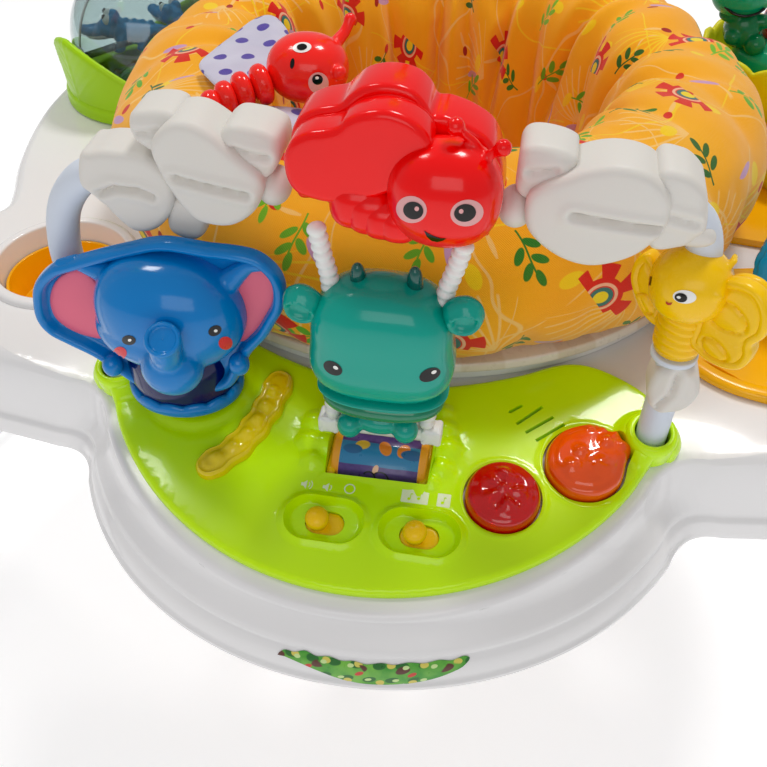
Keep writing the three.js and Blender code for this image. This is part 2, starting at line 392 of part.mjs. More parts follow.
const M_WING = [[-23.6, 134.8], [-21.6, 141.6], [-17.8, 146.5], [-11.0, 148.6], [-5.7, 148.8], [-2.3, 154.2], [3.6, 157.7], [10.8, 158.1], [16.8, 155.2], [21.4, 150.3], [33.6, 145.5], [43.3, 136.8], [44.3, 123.2], [36.5, 112.5], [21.0, 108.7], [7.4, 106.7], [-4.2, 106.7], [-14.9, 108.3], [-20.7, 113.5], [-23.9, 124.2]];
add('moth', join(leafAt(M_WING, -25, 9, 20), ball(27.4, PANEL_Y - 22, TZ(122), 19.2, 16, 18.6, 20),
  rod(1.6, [34, PANEL_Y - 20, TZ(134)], [36, PANEL_Y - 22, TZ(151)], 8), ball(36, PANEL_Y - 22, TZ(152), 4), rod(1.6, [38, PANEL_Y - 22, TZ(132)], [47.5, PANEL_Y - 25, TZ(142)], 8), ball(48, PANEL_Y - 25, TZ(143), 4)), 0xd71d20, 0.2);

// Swing hung from two hooks under the moth. The hooks stand over the swing's centre of mass.
const SW_Y = PANEL_Y - 20;
const SWING_TOP = 102;
const ropeL = [-18, SW_Y], ropeR = [30.5, SW_Y];
const swing = join(...[ropeL, ropeR].map(([x, y]) => join(rod(3.2, [x, y, TZ(8)], [x, y, TZ(SWING_TOP)], 12), rod(4.2, [x, y, TZ(4)], [x, y, TZ(13)], 12))),
  box(-25, 37, SW_Y - 4.2, SW_Y + 4.2, TZ(3.8), TZ(11.6)));
add('swing_frame', swing, 0xefefed, 0.5);
const HY = -0.6;
const hip = (x, y, z, rx, ry, rz, n) => ball(x, SW_Y + HY + y, TZ(z), rx, ry, rz, n);
add('hippo', cut(join(hip(6.5, -2, 65, 25, 16.4, 21, 16), hip(6.5, -2, 51, 28.4, 17.4, 20, 16), hip(-18, 0, 77, 8.6, 6, 8.6, 10), hip(31, 0, 77, 8.6, 6, 8.6, 10), hip(-4, -1, 85, 4, 4, 4.6, 8), hip(17, -1, 85, 4, 4, 4.6, 8),
  hip(6.5, 3, 25, 15, 9, 19, 12), hip(-5, -6, 11, 7, 9, 6.4, 10), hip(18, -6, 11, 7, 9, 6.4, 10)),
  ...[ropeL, ropeR].map(([x, y]) => rod(4.4, [x, y, TZ(0)], [x, y, TZ(110)], 12)), box(-30, 42, SW_Y - 5, SW_Y + 5, TZ(-5), TZ(12.4))), 0x16a98c, 0.2);

// Elephant on its rocking foot.
const EL = [-82, PANEL_Y + 1];
const el = (x, y, z, rx, ry, rz, n) => ball(EL[0] + x, EL[1] + y, TZ(z), rx, ry, rz, n);
const ear = slab(smooth([[-58, 58], [-50, 66], [-30, 76], [0, 83], [26, 76], [40, 68], [45, 62], [42, 50], [34, 43], [22, 46], [-24, 42], [-38, 33], [-50, 36]], 22).map((p) => V2(EL[0] + p.x, TZ(p.y))), EL[1] - 21, EL[1] - 13.5, 1.2, 1);
add('elephant', join(turned([[0, 3], [8, 3.8], [17, 9], [20, 15], [20, 22], [16, 34], [0, 36]], 20, EL[0], EL[1], TRAY_Z), el(1, -13, 52, 29, 21, 23, 18), el(1, -10, 32, 22, 16, 8, 14), el(-4, -32, 44, 12, 9, 9, 12), ear), 0x1386d8, 0.2);

// Butterfly that turns on the right post.
const BF = [119.4, PANEL_Y];
const wingPlane = (pts, t, n) => { const g = slab(smooth(pts, n).map((p) => V2(p.x, TZ(p.y))), -t, t, 1.2, 1); g.rotateZ(-35 * D); g.translate(BF[0], BF[1], 0); return g; };
let bf = join(ball(BF[0] - 2, BF[1] - 3, TZ(81), 14, 13.4, 13, 16), turned([[0, 53], [9.6, 53], [10.6, 56], [9.6, 59], [10.8, 62], [9.8, 65], [11, 68], [10, 76], [0, 76]], 16, BF[0], BF[1], TRAY_Z),
  wingPlane([[6, 80], [14, 91], [24, 92], [33, 84], [35, 74], [29, 67], [28, 58], [20, 51], [12, 52], [5, 60]], 4, 16), wingPlane([[-6, 80], [-14, 86], [-22, 82], [-25, 72], [-20, 62], [-12, 56], [-5, 60]], 3.4, 12), ball(BF[0] + 9, BF[1] - 8, TZ(92), 4));
bf = cut(bf, cyl(7.3, BF[0], BF[1], 40, 110, 16));
add('yellow_butterfly', bf, 0xf2b90d, 0.25);

// ---------------------------------------------------------------- clear ball in its leaf cradle
const AX = [0.6, 0.8];
const onAxis = (d, dz = 0) => [BALL[0] + AX[0] * d, BALL[1] + AX[1] * d, BALL[2] + dz];
let cradle = S(turned([[40.6, 0.3], [58, 0.3], [60, 3], [61, 44], [48, 50], [40.6, 50], [40.6, 0.3]], 32, BALL[0], BALL[1], TRAY_Z));
cradle = cut(cradle, ball(...BALL, 54, 54, 54, 32));
const sideCut = (s) => { const g = box(-34, 34, -100, 100, 11, 80); g.rotateZ(Math.atan2(AX[1], AX[0])); g.translate(BALL[0] + s * 0, BALL[1], TRAY_Z); return g; };
cradle = cut(cradle, sideCut(0), rod(3.3, onAxis(-90), onAxis(90), 12));
add('leaf_cradle', cradle, 0x8fc90a, 0.4);
let shell = S(lathe([[2.8, -BALL_R], ...Array.from({ length: 7 }, (_, i) => { const a = (-78 + 26 * i) * D; return [BALL_R * Math.cos(a), BALL_R * Math.sin(a)]; }), [2.8, BALL_R], [2.8, 47.8],
  ...Array.from({ length: 7 }, (_, i) => { const a = (78 - 26 * i) * D; return [48 * Math.cos(a), 48 * Math.sin(a)]; }), [2.8, -47.8], [2.8, -BALL_R]], 24));
const ballGeo = toGeometry(shell);
ballGeo.applyQuaternion(new THREE.Quaternion().setFromUnitVectors(V3(0, 0, 1), V3(AX[0], AX[1], 0)));
ballGeo.translate(...BALL);
add('clear_ball', ballGeo, 0xe9f2ee, 0.05);
const croc = (d, s) => { const c = onAxis(d, 0), q = [-AX[1] * s, AX[0] * s]; const P = (a, b, z) => [c[0] + q[0] * a + AX[0] * b, c[1] + q[1] * a + AX[1] * b, c[2] + z];
  return join(ball(...P(0, 0, 0), 12, 12, 8, 12), ball(...P(15, -4, 2), 9, 9, 6, 10), ball(...P(-14, 5, -1), 8, 8, 5, 10)); };
add('crocodiles', join(rod(2.4, onAxis(-58), onAxis(58), 10), croc(-13, -1), croc(15, -1)), 0x1889d2, 0.2);

// ---------------------------------------------------------------- right side: plate, pot, flower, wheel
const wedgeRing = (r0, r1, a0, a1, n) => { const p = []; for (let i = 0; i <= n; i++) { const a = (a0 + (a1 - a0) * i / n) * D; p.push(V2(r1 * Math.cos(a), r1 * Math.sin(a))); } for (let i = n; i >= 0; i--) { const a = (a0 + (a1 - a0) * i / n) * D; p.push(V2(r0 * Math.cos(a), r0 * Math.sin(a))); } return p; };
const POT = [203, 148], FLOWER = [206, 44], WHEEL = [196, -80, TZ(33)];
const WR = [0.373, 0.928];
let dish = cut(cyl(49, 176, -98, 0.3, 5, 28), cyl(163.6, 0, 0, -5, 20, 56), prism(polygon(58, 24).map((p) => V2(p.x + POST_X, p.y + PANEL_Y)), TZ(-4), TZ(20)));
const cheek = (s) => { const c = [WHEEL[0] + WR[0] * s * 21.6, WHEEL[1] + WR[1] * s * 21.6]; const g = box(-11, 11, -2.6, 2.6, 3, 38); g.rotateZ(Math.atan2(WR[1], WR[0]) - Math.PI / 2); g.translate(c[0], c[1], TRAY_Z); return g; };
const axle = (r, h) => rod(r, [WHEEL[0] - WR[0] * h, WHEEL[1] - WR[1] * h, WHEEL[2]], [WHEEL[0] + WR[0] * h, WHEEL[1] + WR[1] * h, WHEEL[2]], 12);
dish = cut(join(dish, cheek(1), cheek(-1)), axle(3.4, 40));
const plate = prism(wedgeRing(163.6, 243, -7, 51, 12), TZ(0.3), TZ(4.4));
const bridge = prism(wedgeRing(205, 222, -18, -6, 2), TZ(0.3), TZ(3.4));
add('yellow_plate', join(dish, plate, bridge), 0xffb81c, 0.3);
add('blue_wheel', join(axle(25.5, 17), axle(27, 12), axle(26.4, 15), axle(2.9, 26.5)), 0x1581cf, 0.25);
add('leaf_pot', turned([[0, 4.8], [30, 4.8], [33, 8], [44, 34], [46, 42], [42.4, 42], [40, 34], [29.5, 9], [0, 8.4]], 28, ...POT, TRAY_Z), 0xb5cf1b, 0.45);
add('pot_spinner', join(turned([[0, 9], [22, 9], [26, 14], [26, 38], [22, 44], [0, 44]], 24, ...POT, TRAY_Z), ball(POT[0] - 21, POT[1] - 3, TZ(50), 12, 12, 13, 12), ball(POT[0] - 23, POT[1] - 4, TZ(71), 17, 16, 14.5, 16), ball(POT[0] - 14, POT[1] - 14, TZ(46), 6, 6, 6, 8), ball(POT[0] - 33, POT[1] - 10, TZ(50), 5, 5, 5, 8),
  ball(POT[0] + 12, POT[1] + 10, TZ(52), 13, 13, 14, 12)), 0x1d9a63, 0.3);
add('flower_cup', turned([[0, 4.8], [17, 4.8], [21, 10], [24, 26], [21.6, 26], [18.4, 11], [15, 8.4], [0, 8.4]], 20, ...FLOWER, TRAY_Z), 0xb5cf1b, 0.45);
add('flower_spinner', join(turned([[0, 9], [9, 9], [12, 16], [17.4, 22], [17.4, 27], [0, 30]], 18, ...FLOWER, TRAY_Z), ball(FLOWER[0], FLOWER[1], TZ(32), 9, 9, 6, 12)), 0xf57c14, 0.35);

// ---------------------------------------------------------------- linked toy lying on the seat
add('bug_toy', join(ball(-50, -83, TZ(107.2), 14.4, 14.4, 14, 16), ball(-66, -87, TZ(102.6), 8.4, 9.6, 9, 12), ball(-75, -90, TZ(101.6), 7.4, 9, 8.4, 12), ball(-84, -92, TZ(100.6), 7, 8.2, 7.6, 12), ball(-92, -94, TZ(99.6), 6.4, 7.4, 6.8, 12)), 0xe03021, 0.2);
add('bug_wings', (() => { const g = prism(smooth([[-94, -74], [-72, -72], [-56, -62], [-52, -44], [-62, -34], [-80, -44], [-98, -58]], 20), TZ(93.6), TZ(96.4)); return g; })(), 0xbfb2da, 0.9);

export default group;
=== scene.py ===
import json
import math

import bpy
import numpy as np
from mathutils import Matrix, Vector, geometry
from mathutils.bvhtree import BVHTree
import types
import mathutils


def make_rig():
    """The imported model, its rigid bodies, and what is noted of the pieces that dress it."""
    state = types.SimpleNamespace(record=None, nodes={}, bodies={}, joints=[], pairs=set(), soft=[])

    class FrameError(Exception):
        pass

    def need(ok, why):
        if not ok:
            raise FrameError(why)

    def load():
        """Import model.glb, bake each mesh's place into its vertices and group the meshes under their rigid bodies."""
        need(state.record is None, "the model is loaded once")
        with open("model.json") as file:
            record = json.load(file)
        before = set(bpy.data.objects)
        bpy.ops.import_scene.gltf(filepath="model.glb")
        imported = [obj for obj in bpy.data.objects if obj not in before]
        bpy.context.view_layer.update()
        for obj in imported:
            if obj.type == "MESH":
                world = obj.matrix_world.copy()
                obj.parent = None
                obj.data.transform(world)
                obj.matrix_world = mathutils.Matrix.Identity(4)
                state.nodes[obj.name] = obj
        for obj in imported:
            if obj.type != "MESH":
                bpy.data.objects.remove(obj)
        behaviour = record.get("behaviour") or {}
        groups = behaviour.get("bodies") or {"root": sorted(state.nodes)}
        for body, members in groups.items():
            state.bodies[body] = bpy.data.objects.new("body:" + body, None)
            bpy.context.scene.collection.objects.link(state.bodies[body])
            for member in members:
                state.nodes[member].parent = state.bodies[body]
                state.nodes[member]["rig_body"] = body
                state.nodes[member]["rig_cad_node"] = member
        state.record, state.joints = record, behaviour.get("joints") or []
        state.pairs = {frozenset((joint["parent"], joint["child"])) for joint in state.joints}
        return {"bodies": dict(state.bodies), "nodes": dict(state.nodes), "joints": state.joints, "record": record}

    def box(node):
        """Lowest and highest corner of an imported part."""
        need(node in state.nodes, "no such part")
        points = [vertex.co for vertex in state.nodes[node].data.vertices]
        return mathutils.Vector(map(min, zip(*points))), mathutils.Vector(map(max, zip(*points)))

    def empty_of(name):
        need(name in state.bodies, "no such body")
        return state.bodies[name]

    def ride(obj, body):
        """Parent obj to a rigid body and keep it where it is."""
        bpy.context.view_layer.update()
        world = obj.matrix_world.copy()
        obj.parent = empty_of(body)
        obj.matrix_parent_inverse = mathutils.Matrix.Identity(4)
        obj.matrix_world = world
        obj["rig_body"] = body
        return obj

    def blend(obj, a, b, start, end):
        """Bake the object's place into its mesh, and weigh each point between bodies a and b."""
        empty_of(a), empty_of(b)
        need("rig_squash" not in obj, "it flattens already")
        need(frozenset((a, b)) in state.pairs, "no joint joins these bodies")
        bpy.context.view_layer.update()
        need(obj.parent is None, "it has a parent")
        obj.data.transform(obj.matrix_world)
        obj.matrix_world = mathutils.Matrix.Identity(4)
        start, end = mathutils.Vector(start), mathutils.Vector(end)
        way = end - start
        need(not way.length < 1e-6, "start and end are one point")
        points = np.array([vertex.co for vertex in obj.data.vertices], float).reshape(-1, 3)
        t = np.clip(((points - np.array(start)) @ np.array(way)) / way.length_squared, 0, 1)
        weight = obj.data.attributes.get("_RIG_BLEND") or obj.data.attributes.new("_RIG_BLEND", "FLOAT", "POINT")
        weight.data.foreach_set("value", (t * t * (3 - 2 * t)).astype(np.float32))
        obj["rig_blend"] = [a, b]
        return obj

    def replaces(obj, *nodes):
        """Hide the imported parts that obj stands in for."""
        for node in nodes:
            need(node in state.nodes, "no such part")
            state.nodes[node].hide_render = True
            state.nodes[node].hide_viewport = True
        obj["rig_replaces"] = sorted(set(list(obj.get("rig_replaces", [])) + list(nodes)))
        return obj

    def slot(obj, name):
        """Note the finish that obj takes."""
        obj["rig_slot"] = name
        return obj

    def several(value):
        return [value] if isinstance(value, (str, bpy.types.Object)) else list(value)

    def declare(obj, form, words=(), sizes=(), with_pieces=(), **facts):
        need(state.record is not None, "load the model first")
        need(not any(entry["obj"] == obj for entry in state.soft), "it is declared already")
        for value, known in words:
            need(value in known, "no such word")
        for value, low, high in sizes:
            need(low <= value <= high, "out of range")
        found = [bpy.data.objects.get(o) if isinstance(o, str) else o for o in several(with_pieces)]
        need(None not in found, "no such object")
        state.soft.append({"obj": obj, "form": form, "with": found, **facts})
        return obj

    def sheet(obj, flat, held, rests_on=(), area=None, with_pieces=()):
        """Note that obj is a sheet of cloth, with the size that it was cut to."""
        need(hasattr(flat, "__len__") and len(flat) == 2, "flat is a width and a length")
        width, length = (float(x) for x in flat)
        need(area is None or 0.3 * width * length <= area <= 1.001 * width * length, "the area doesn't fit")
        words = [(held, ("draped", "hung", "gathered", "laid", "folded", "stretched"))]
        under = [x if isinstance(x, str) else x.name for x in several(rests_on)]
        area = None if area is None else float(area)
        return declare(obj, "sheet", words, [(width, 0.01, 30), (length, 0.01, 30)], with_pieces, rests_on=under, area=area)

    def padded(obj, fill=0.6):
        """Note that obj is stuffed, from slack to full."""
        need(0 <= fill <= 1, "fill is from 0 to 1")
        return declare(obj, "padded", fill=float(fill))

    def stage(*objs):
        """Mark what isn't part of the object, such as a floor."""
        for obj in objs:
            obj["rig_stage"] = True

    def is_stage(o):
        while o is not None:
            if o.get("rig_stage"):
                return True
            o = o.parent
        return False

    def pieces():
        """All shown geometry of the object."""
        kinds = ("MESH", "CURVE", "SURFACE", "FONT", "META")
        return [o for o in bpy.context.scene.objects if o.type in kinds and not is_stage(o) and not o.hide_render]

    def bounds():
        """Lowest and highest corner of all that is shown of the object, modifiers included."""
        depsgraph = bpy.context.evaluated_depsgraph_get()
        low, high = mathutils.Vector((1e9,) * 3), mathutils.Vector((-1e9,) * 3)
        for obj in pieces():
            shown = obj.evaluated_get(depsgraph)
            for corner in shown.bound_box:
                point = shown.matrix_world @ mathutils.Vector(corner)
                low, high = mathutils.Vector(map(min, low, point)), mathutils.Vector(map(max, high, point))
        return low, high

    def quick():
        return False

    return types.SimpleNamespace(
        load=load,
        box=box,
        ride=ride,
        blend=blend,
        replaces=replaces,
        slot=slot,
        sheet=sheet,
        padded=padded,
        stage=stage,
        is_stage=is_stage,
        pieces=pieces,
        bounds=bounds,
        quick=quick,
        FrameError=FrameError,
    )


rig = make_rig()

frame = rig.load()
CAD_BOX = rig.bounds()
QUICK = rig.quick()
BODY = {n: b for b, ns in frame["record"]["behaviour"]["bodies"].items() for n in ns}
SLOT = {s["node"]: s["material_slot"] for s in frame["record"]["subparts"]}
MM = 0.001
D2R = math.pi / 180
scene = bpy.context.scene
A = lambda *x: np.array(x, float)

TRAY_Z = 400.0
PANEL_Y = -178.0
TILT = 12 * D2R
CT, ST = math.cos(TILT), math.sin(TILT)


# ---------------------------------------------------------------- geometry helpers, all in mm
def smooth_closed(pts, n):
    """Closed Catmull-Rom curve through pts, n points evenly spaced."""
    p = np.array(pts, float)
    m = len(p)
    out = []
    for i in range(m):
        a, b, c, d = p[(i - 1) % m], p[i], p[(i + 1) % m], p[(i + 2) % m]
        t = np.linspace(0, 1, 24, endpoint=False)[:, None]
        out.append(0.5 * (2 * b + (c - a) * t + (2 * a - 5 * b + 4 * c - d) * t**2 + (3 * b - a - 3 * c + d) * t**3))
    return resample(np.vstack(out), n, True)


def smooth_open(pts, n):
    p = np.array(pts, float)
    p = np.vstack([2 * p[0] - p[1], p, 2 * p[-1] - p[-2]])
    out = []
    for i in range(1, len(p) - 2):
        a, b, c, d = p[i - 1], p[i], p[i + 1], p[i + 2]
        t = np.linspace(0, 1, 16, endpoint=False)[:, None]
        out.append(0.5 * (2 * b + (c - a) * t + (2 * a - 5 * b + 4 * c - d) * t**2 + (3 * b - a - 3 * c + d) * t**3))
    out.append(p[-2][None])
    return resample(np.vstack(out), n, False)


def resample(p, n, closed):
    q = np.vstack([p, p[:1]]) if closed else p
    s = np.r_[0, np.cumsum(np.linalg.norm(np.diff(q, axis=0), axis=1))]
    t = np.linspace(0, s[-1], n + 1)[:-1] if closed else np.linspace(0, s[-1], n)
    return np.stack([np.interp(t, s, q[:, k]) for k in range(q.shape[1])], 1)


def ccw(p):
    p = np.asarray(p, float)
    a = np.sum(p[:, 0] * np.roll(p[:, 1], -1) - np.roll(p[:, 0], -1) * p[:, 1])
    return p if a > 0 else p[::-1].copy()


def segdist(P, a, b):
    e = b - a
    out = np.empty(len(P))
    for i in range(0, len(P), 6000):
        w = P[i:i + 6000, None, :] - a[None]
        t = np.clip(np.sum(w * e, -1) / (np.sum(e * e, -1) + 1e-12), 0, 1)
        d = w - e * t[..., None]
        out[i:i + 6000] = np.sqrt(np.min(np.sum(d * d, -1), 1))
    return out


def linedist(P, line):
    line = np.asarray(line, float)
    return segdist(np.asarray(P, float), line[:-1], line[1:])


def inside(P, poly):
    P = np.asarray(P, float)
    a = np.asarray(poly, float)
    b = np.roll(a, -1, 0)
    out = np.zeros(len(P), int)
    for i in range(0, len(P), 6000):
        p = P[i:i + 6000]
        y = p[:, 1][:, None]
        cross = (a[:, 1] > y) != (b[:, 1] > y)
        x = a[:, 0] + (y - a[:, 1]) * (b[:, 0] - a[:, 0]) / (b[:, 1] - a[:, 1] + 1e-12)
        out[i:i + 6000] = (cross & (p[:, 0][:, None] < x)).sum(1) % 2
    return out.astype(bool)


def sdf(P, poly):
    """Distance to a closed outline, positive inside."""
    P = np.asarray(P, float)
    a = np.asarray(poly, float)
    return segdist(P, a, np.roll(a, -1, 0)) * np.where(inside(P, a), 1, -1)


def offset(poly, d):
    """Points moved outwards by d, along the outline's normal."""
    p = ccw(poly)
    t = np.roll(p, -1, 0) - np.roll(p, 1, 0)
    n = np.stack([t[:, 1], -t[:, 0]], 1)
    n /= np.linalg.norm(n, axis=1)[:, None] + 1e-12
    return p + n * d


def circle(cx, cy, r, n=48, ry=None):
    a = np.linspace(0, 2 * math.pi, n, endpoint=False)
    return np.stack([cx + r * np.cos(a), cy + (ry or r) * np.sin(a)], 1)


def stadium(cx, cy, hl, hw, n=12):
    a = np.linspace(-90, 90, n) * D2R
    r = np.stack([cx + hl - hw + hw * np.cos(a), cy + hw * np.sin(a)], 1)
    l = np.stack([cx - hl + hw - hw * np.cos(a), cy - hw * np.sin(a)], 1)
    return resample(np.vstack([r, l]), 4 * n, True)


def roundrect(cx, cy, w, h, r, n=5):
    out = []
    for sx, sy, a0 in ((1, 1, 0), (-1, 1, 90), (-1, -1, 180), (1, -1, 270)):
        for i in range(n + 1):
            a = (a0 + 90 * i / n) * D2R
            out.append((cx + sx * (w / 2 - r) + r * math.cos(a), cy + sy * (h / 2 - r) + r * math.sin(a)))
    return np.array(out)


def cdt(points, loops):
    pts = [Vector((float(p[0]), float(p[1]))) for p in points]
    edges, k = [], 0
    for n in loops:
        edges += [(k + i, k + (i + 1) % n) for i in range(n)]
        k += n
    vo, _, fo, ov, _, _ = geometry.delaunay_2d_cdt(pts, edges, [], 0, 1e-5)
    m = {}
    for i, l in enumerate(ov):
        for j in l:
            m[j] = i
    return np.array([(v.x, v.y) for v in vo]), [tuple(f) for f in fo], m


def fill_points(outer, holes, step, rings=(), extra=None, edge_gap=0.55):
    """Loops first, then inner rings, then a staggered grid, all clear of each other."""
    lo, hi = outer.min(0), outer.max(0)
    xs = np.arange(lo[0], hi[0] + step, step)
    ys = np.arange(lo[1], hi[1] + step, step * 0.87)
    g = np.array([(x + (step / 2 if j % 2 else 0), y) for j, y in enumerate(ys) for x in xs])
    sets = []
    last = 0
    for d in rings:
        q = offset(outer, -d)
        q = q[sdf(q, outer) > d * 0.97 - 0.01]
        sets.append(q)
        last = max(last, d)
    if extra is not None and len(extra):
        ok = sdf(extra, outer) > edge_gap * step
        for h in holes:
            ok &= sdf(extra, h) < -0.15
        sets.append(extra[ok])
    keep = sdf(g, outer) > max(last + step * 0.5, edge_gap * step)
    for h in holes:
        keep &= sdf(g, h) < -step * edge_gap
    g = g[keep]
    if extra is not None and len(extra) and len(g):
        e = extra
        near = np.zeros(len(g), bool)
        for i in range(0, len(g), 3000):
            d2 = ((g[i:i + 3000, None, :] - e[None]) ** 2).sum(-1).min(1)
            near[i:i + 3000] = d2 < (step * 0.5) ** 2
        g = g[~near]
    sets.append(g)
    return np.vstack([outer, *holes, *sets])


def plate(outer, holes, step, top, bottom=None, rings=(), extra=None, wall=None, closed_holes=True):
    """A closed sheet: top(P, d) and bottom(P, d) give heights over the outline; its rims are joined by walls."""
    outer = ccw(outer)
    holes = [ccw(h) for h in holes]
    pts = fill_points(outer, holes, step, rings, extra)
    loops = [len(outer)] + [len(h) for h in holes]
    V, F, m = cdt(pts, loops)
    c = np.array([V[list(f)].mean(0) for f in F])
    ok = inside(c, outer)
    for h in holes:
        ok &= ~inside(c, h)
    F = [f for f, o in zip(F, ok) if o]
    d = sdf(V, outer)
    d[[m[i] for i in range(len(outer))]] = 0
    zt = top(V, np.maximum(d, 0))
    verts = [np.c_[V, zt]]
    faces = [f if area2(V, f) > 0 else f[::-1] for f in F]
    if bottom is not None:
        zb = bottom(V, np.maximum(d, 0))
        verts.append(np.c_[V, zb])
        n = len(V)
        faces += [tuple(i + n for i in f[::-1]) for f in faces[:]]
        k = 0
        for li, ln in enumerate(loops):
            idx = [m[k + i] for i in range(ln)]
            k += ln
            for i in range(ln):
                a, b = idx[i], idx[(i + 1) % ln]
                faces.append((a, a + n, b + n, b) if li == 0 else (b, b + n, a + n, a))
    return np.vstack(verts), faces


def area2(V, f):
    a, b, c = V[f[0]], V[f[1]], V[f[2]]
    return (b[0] - a[0]) * (c[1] - a[1]) - (c[0] - a[0]) * (b[1] - a[1])


def fillet(d, r):
    """Drop below full height at distance d from a rounded rim of radius r."""
    x = np.clip(r - d, 0, r)
    return r - np.sqrt(np.maximum(r * r - x * x, 0))


def grid_faces(nu, nv, wrap_u=True, wrap_v=False):
    f = []
    for j in range(nv if wrap_v else nv - 1):
        for i in range(nu if wrap_u else nu - 1):
            a, b = j * nu + i, j * nu + (i + 1) % nu
            c, d = ((j + 1) % nv) * nu + (i + 1) % nu, ((j + 1) % nv) * nu + i
            f.append((a, b, c, d))
    return f


def lathe(profile, n=64, c=(0, 0, 0), axis=(0, 0, 1), closed=True):
    """Ring surface: profile is (radius, height) pairs; closed joins the last pair to the first."""
    p = np.array(profile, float)
    a = np.linspace(0, 2 * math.pi, n, endpoint=False)
    v = np.vstack([np.c_[r * np.cos(a), r * np.sin(a), np.full(n, z)] for r, z in p])
    f = grid_faces(n, len(p), True, closed)
    return turn(v, axis, c), f


def round_profile(p, r, n=4):
    """Rounds a closed (radius, height) profile's corners."""
    p = np.array(p, float)
    out = []
    m = len(p)
    for i in range(m):
        a, b, c = p[i - 1], p[i], p[(i + 1) % m]
        la, lc = np.linalg.norm(a - b), np.linalg.norm(c - b)
        k = min(r, la * 0.45, lc * 0.45)
        s, e = b + (a - b) / la * k, b + (c - b) / lc * k
        for t in np.linspace(0, 1, n + 1):
            out.append((1 - t) ** 2 * s + 2 * t * (1 - t) * b + t * t * e)
    return np.array(out)


def turn(v, axis, c):
    q = Vector((0, 0, 1)).rotation_difference(Vector([float(x) for x in axis]))
    m = np.array(q.to_matrix())
    return v @ m.T + np.array(c, float)


def ellipsoid(c, r, n=28, rot=None):
    rx, ry, rz = (r, r, r) if np.isscalar(r) else r
    v, f = [(0, 0, -rz)], []
    m = n // 2
    for j in range(1, m):
        t = -math.pi / 2 + math.pi * j / m
        for i in range(n):
            a = 2 * math.pi * i / n
            v.append((rx * math.cos(t) * math.cos(a), ry * math.cos(t) * math.sin(a), rz * math.sin(t)))
    v.append((0, 0, rz))
    for i in range(n):
        f.append((0, 1 + (i + 1) % n, 1 + i))
        f.append((len(v) - 1, 1 + (m - 2) * n + i, 1 + (m - 2) * n + (i + 1) % n))
    for j in range(m - 2):
        for i in range(n):
            a, b = 1 + j * n + i, 1 + j * n + (i + 1) % n
            f.append((a, b, b + n, a + n))
    v = np.array(v, float)
    if rot is not None:
        v = v @ np.array(rot.to_matrix() if hasattr(rot, "to_matrix") else rot).T
    return v + np.array(c, float), f


def tube(path, r, n=16, caps=True, ripple=None):
    """Round tube along a path; r is one radius or one per point."""
    p = np.array(path, float)
    r = np.full(len(p), float(r)) if np.isscalar(r) else np.array(r, float)
    t = np.gradient(p, axis=0)
    t /= np.linalg.norm(t, axis=1)[:, None]
    ref = A(0, 0, 1) if abs(t[0][2]) < 0.9 else A(1, 0, 0)
    u = np.cross(ref, t[0])
    u /= np.linalg.norm(u)
    v, a = [], np.linspace(0, 2 * math.pi, n, endpoint=False)
    for i in range(len(p)):
        u = u - t[i] * np.dot(u, t[i])
        u /= np.linalg.norm(u)
        w = np.cross(t[i], u)
        v.append(p[i] + r[i] * (np.outer(np.cos(a), u) + np.outer(np.sin(a), w)))
    v = np.vstack(v)
    f = grid_faces(n, len(p), True, False)
    if caps:
        v = np.vstack([v, p[:1], p[-1:]])
        k = len(v) - 2
        f += [(k, (i + 1) % n, i) for i in range(n)]
        e = (len(p) - 1) * n
        f += [(k + 1, e + i, e + (i + 1) % n) for i in range(n)]
    return v, f


def rod(a, b, r, n=24, bevel=0.0):
    a, b = np.array(a, float), np.array(b, float)
    h = np.linalg.norm(b - a)
    d = (b - a) / h
    if bevel:
        s, e = [], []
        for i in range(5):
            t = math.pi / 2 * i / 4
            s.append((bevel * (1 - math.sin(t)), r - bevel * (1 - math.cos(t)) if 0 else r - bevel + bevel * math.sin(t)))
        along = [0] + [bevel - bevel * math.cos(math.pi / 2 * i / 5) for i in range(1, 6)]
        rad = [r - bevel] + [r - bevel + bevel * math.sin(math.pi / 2 * i / 5) for i in range(1, 6)]
        ss = along + [h - x for x in along[::-1]]
        rr = rad + rad[::-1]
        return tube([a + d * x for x in ss], rr, n) if min(np.diff(ss)) > 1e-9 else tube([a, b], r, n)
    return tube([a, b], [r, r], n)


def join(*parts):
    v, f, k = [], [], 0
    for a, b in parts:
        v.append(np.asarray(a, float))
        f += [tuple(i + k for i in t) for t in b]
        k += len(a)
    return np.vstack(v), f


def on_panel(v):
    """(across, up the slope, out) to the row frame."""
    v = np.asarray(v, float)
    return np.c_[v[:, 0], PANEL_Y + v[:, 1] * CT - v[:, 2] * ST, TRAY_Z + v[:, 1] * ST + v[:, 2] * CT]


def upright_map(y0, sign=-1):
    """(x, z, towards the front) to the row frame."""
    def f(v):
        v = np.asarray(v, float)
        return np.c_[v[:, 0], y0 + sign * v[:, 2], TRAY_Z + v[:, 1]]
    return f


# ---------------------------------------------------------------- objects
def make(name, vf, mat=None, smooth=True, flip=False):
    v, f = vf
    me = bpy.data.meshes.new(name)
    me.from_pydata((np.asarray(v, float) * MM).tolist(), [], [tuple(int(i) for i in (t[::-1] if flip else t)) for t in f])
    me.validate()
    me.update()
    ob = bpy.data.objects.new(name, me)
    scene.collection.objects.link(ob)
    if smooth:
        me.shade_smooth()
    if mat:
        me.materials.append(mat)
    return ob


def fix_normals(ob):
    import bmesh
    bm = bmesh.new()
    bm.from_mesh(ob.data)
    bmesh.ops.recalc_face_normals(bm, faces=bm.faces)
    bm.to_mesh(ob.data)
    bm.free()
    return ob


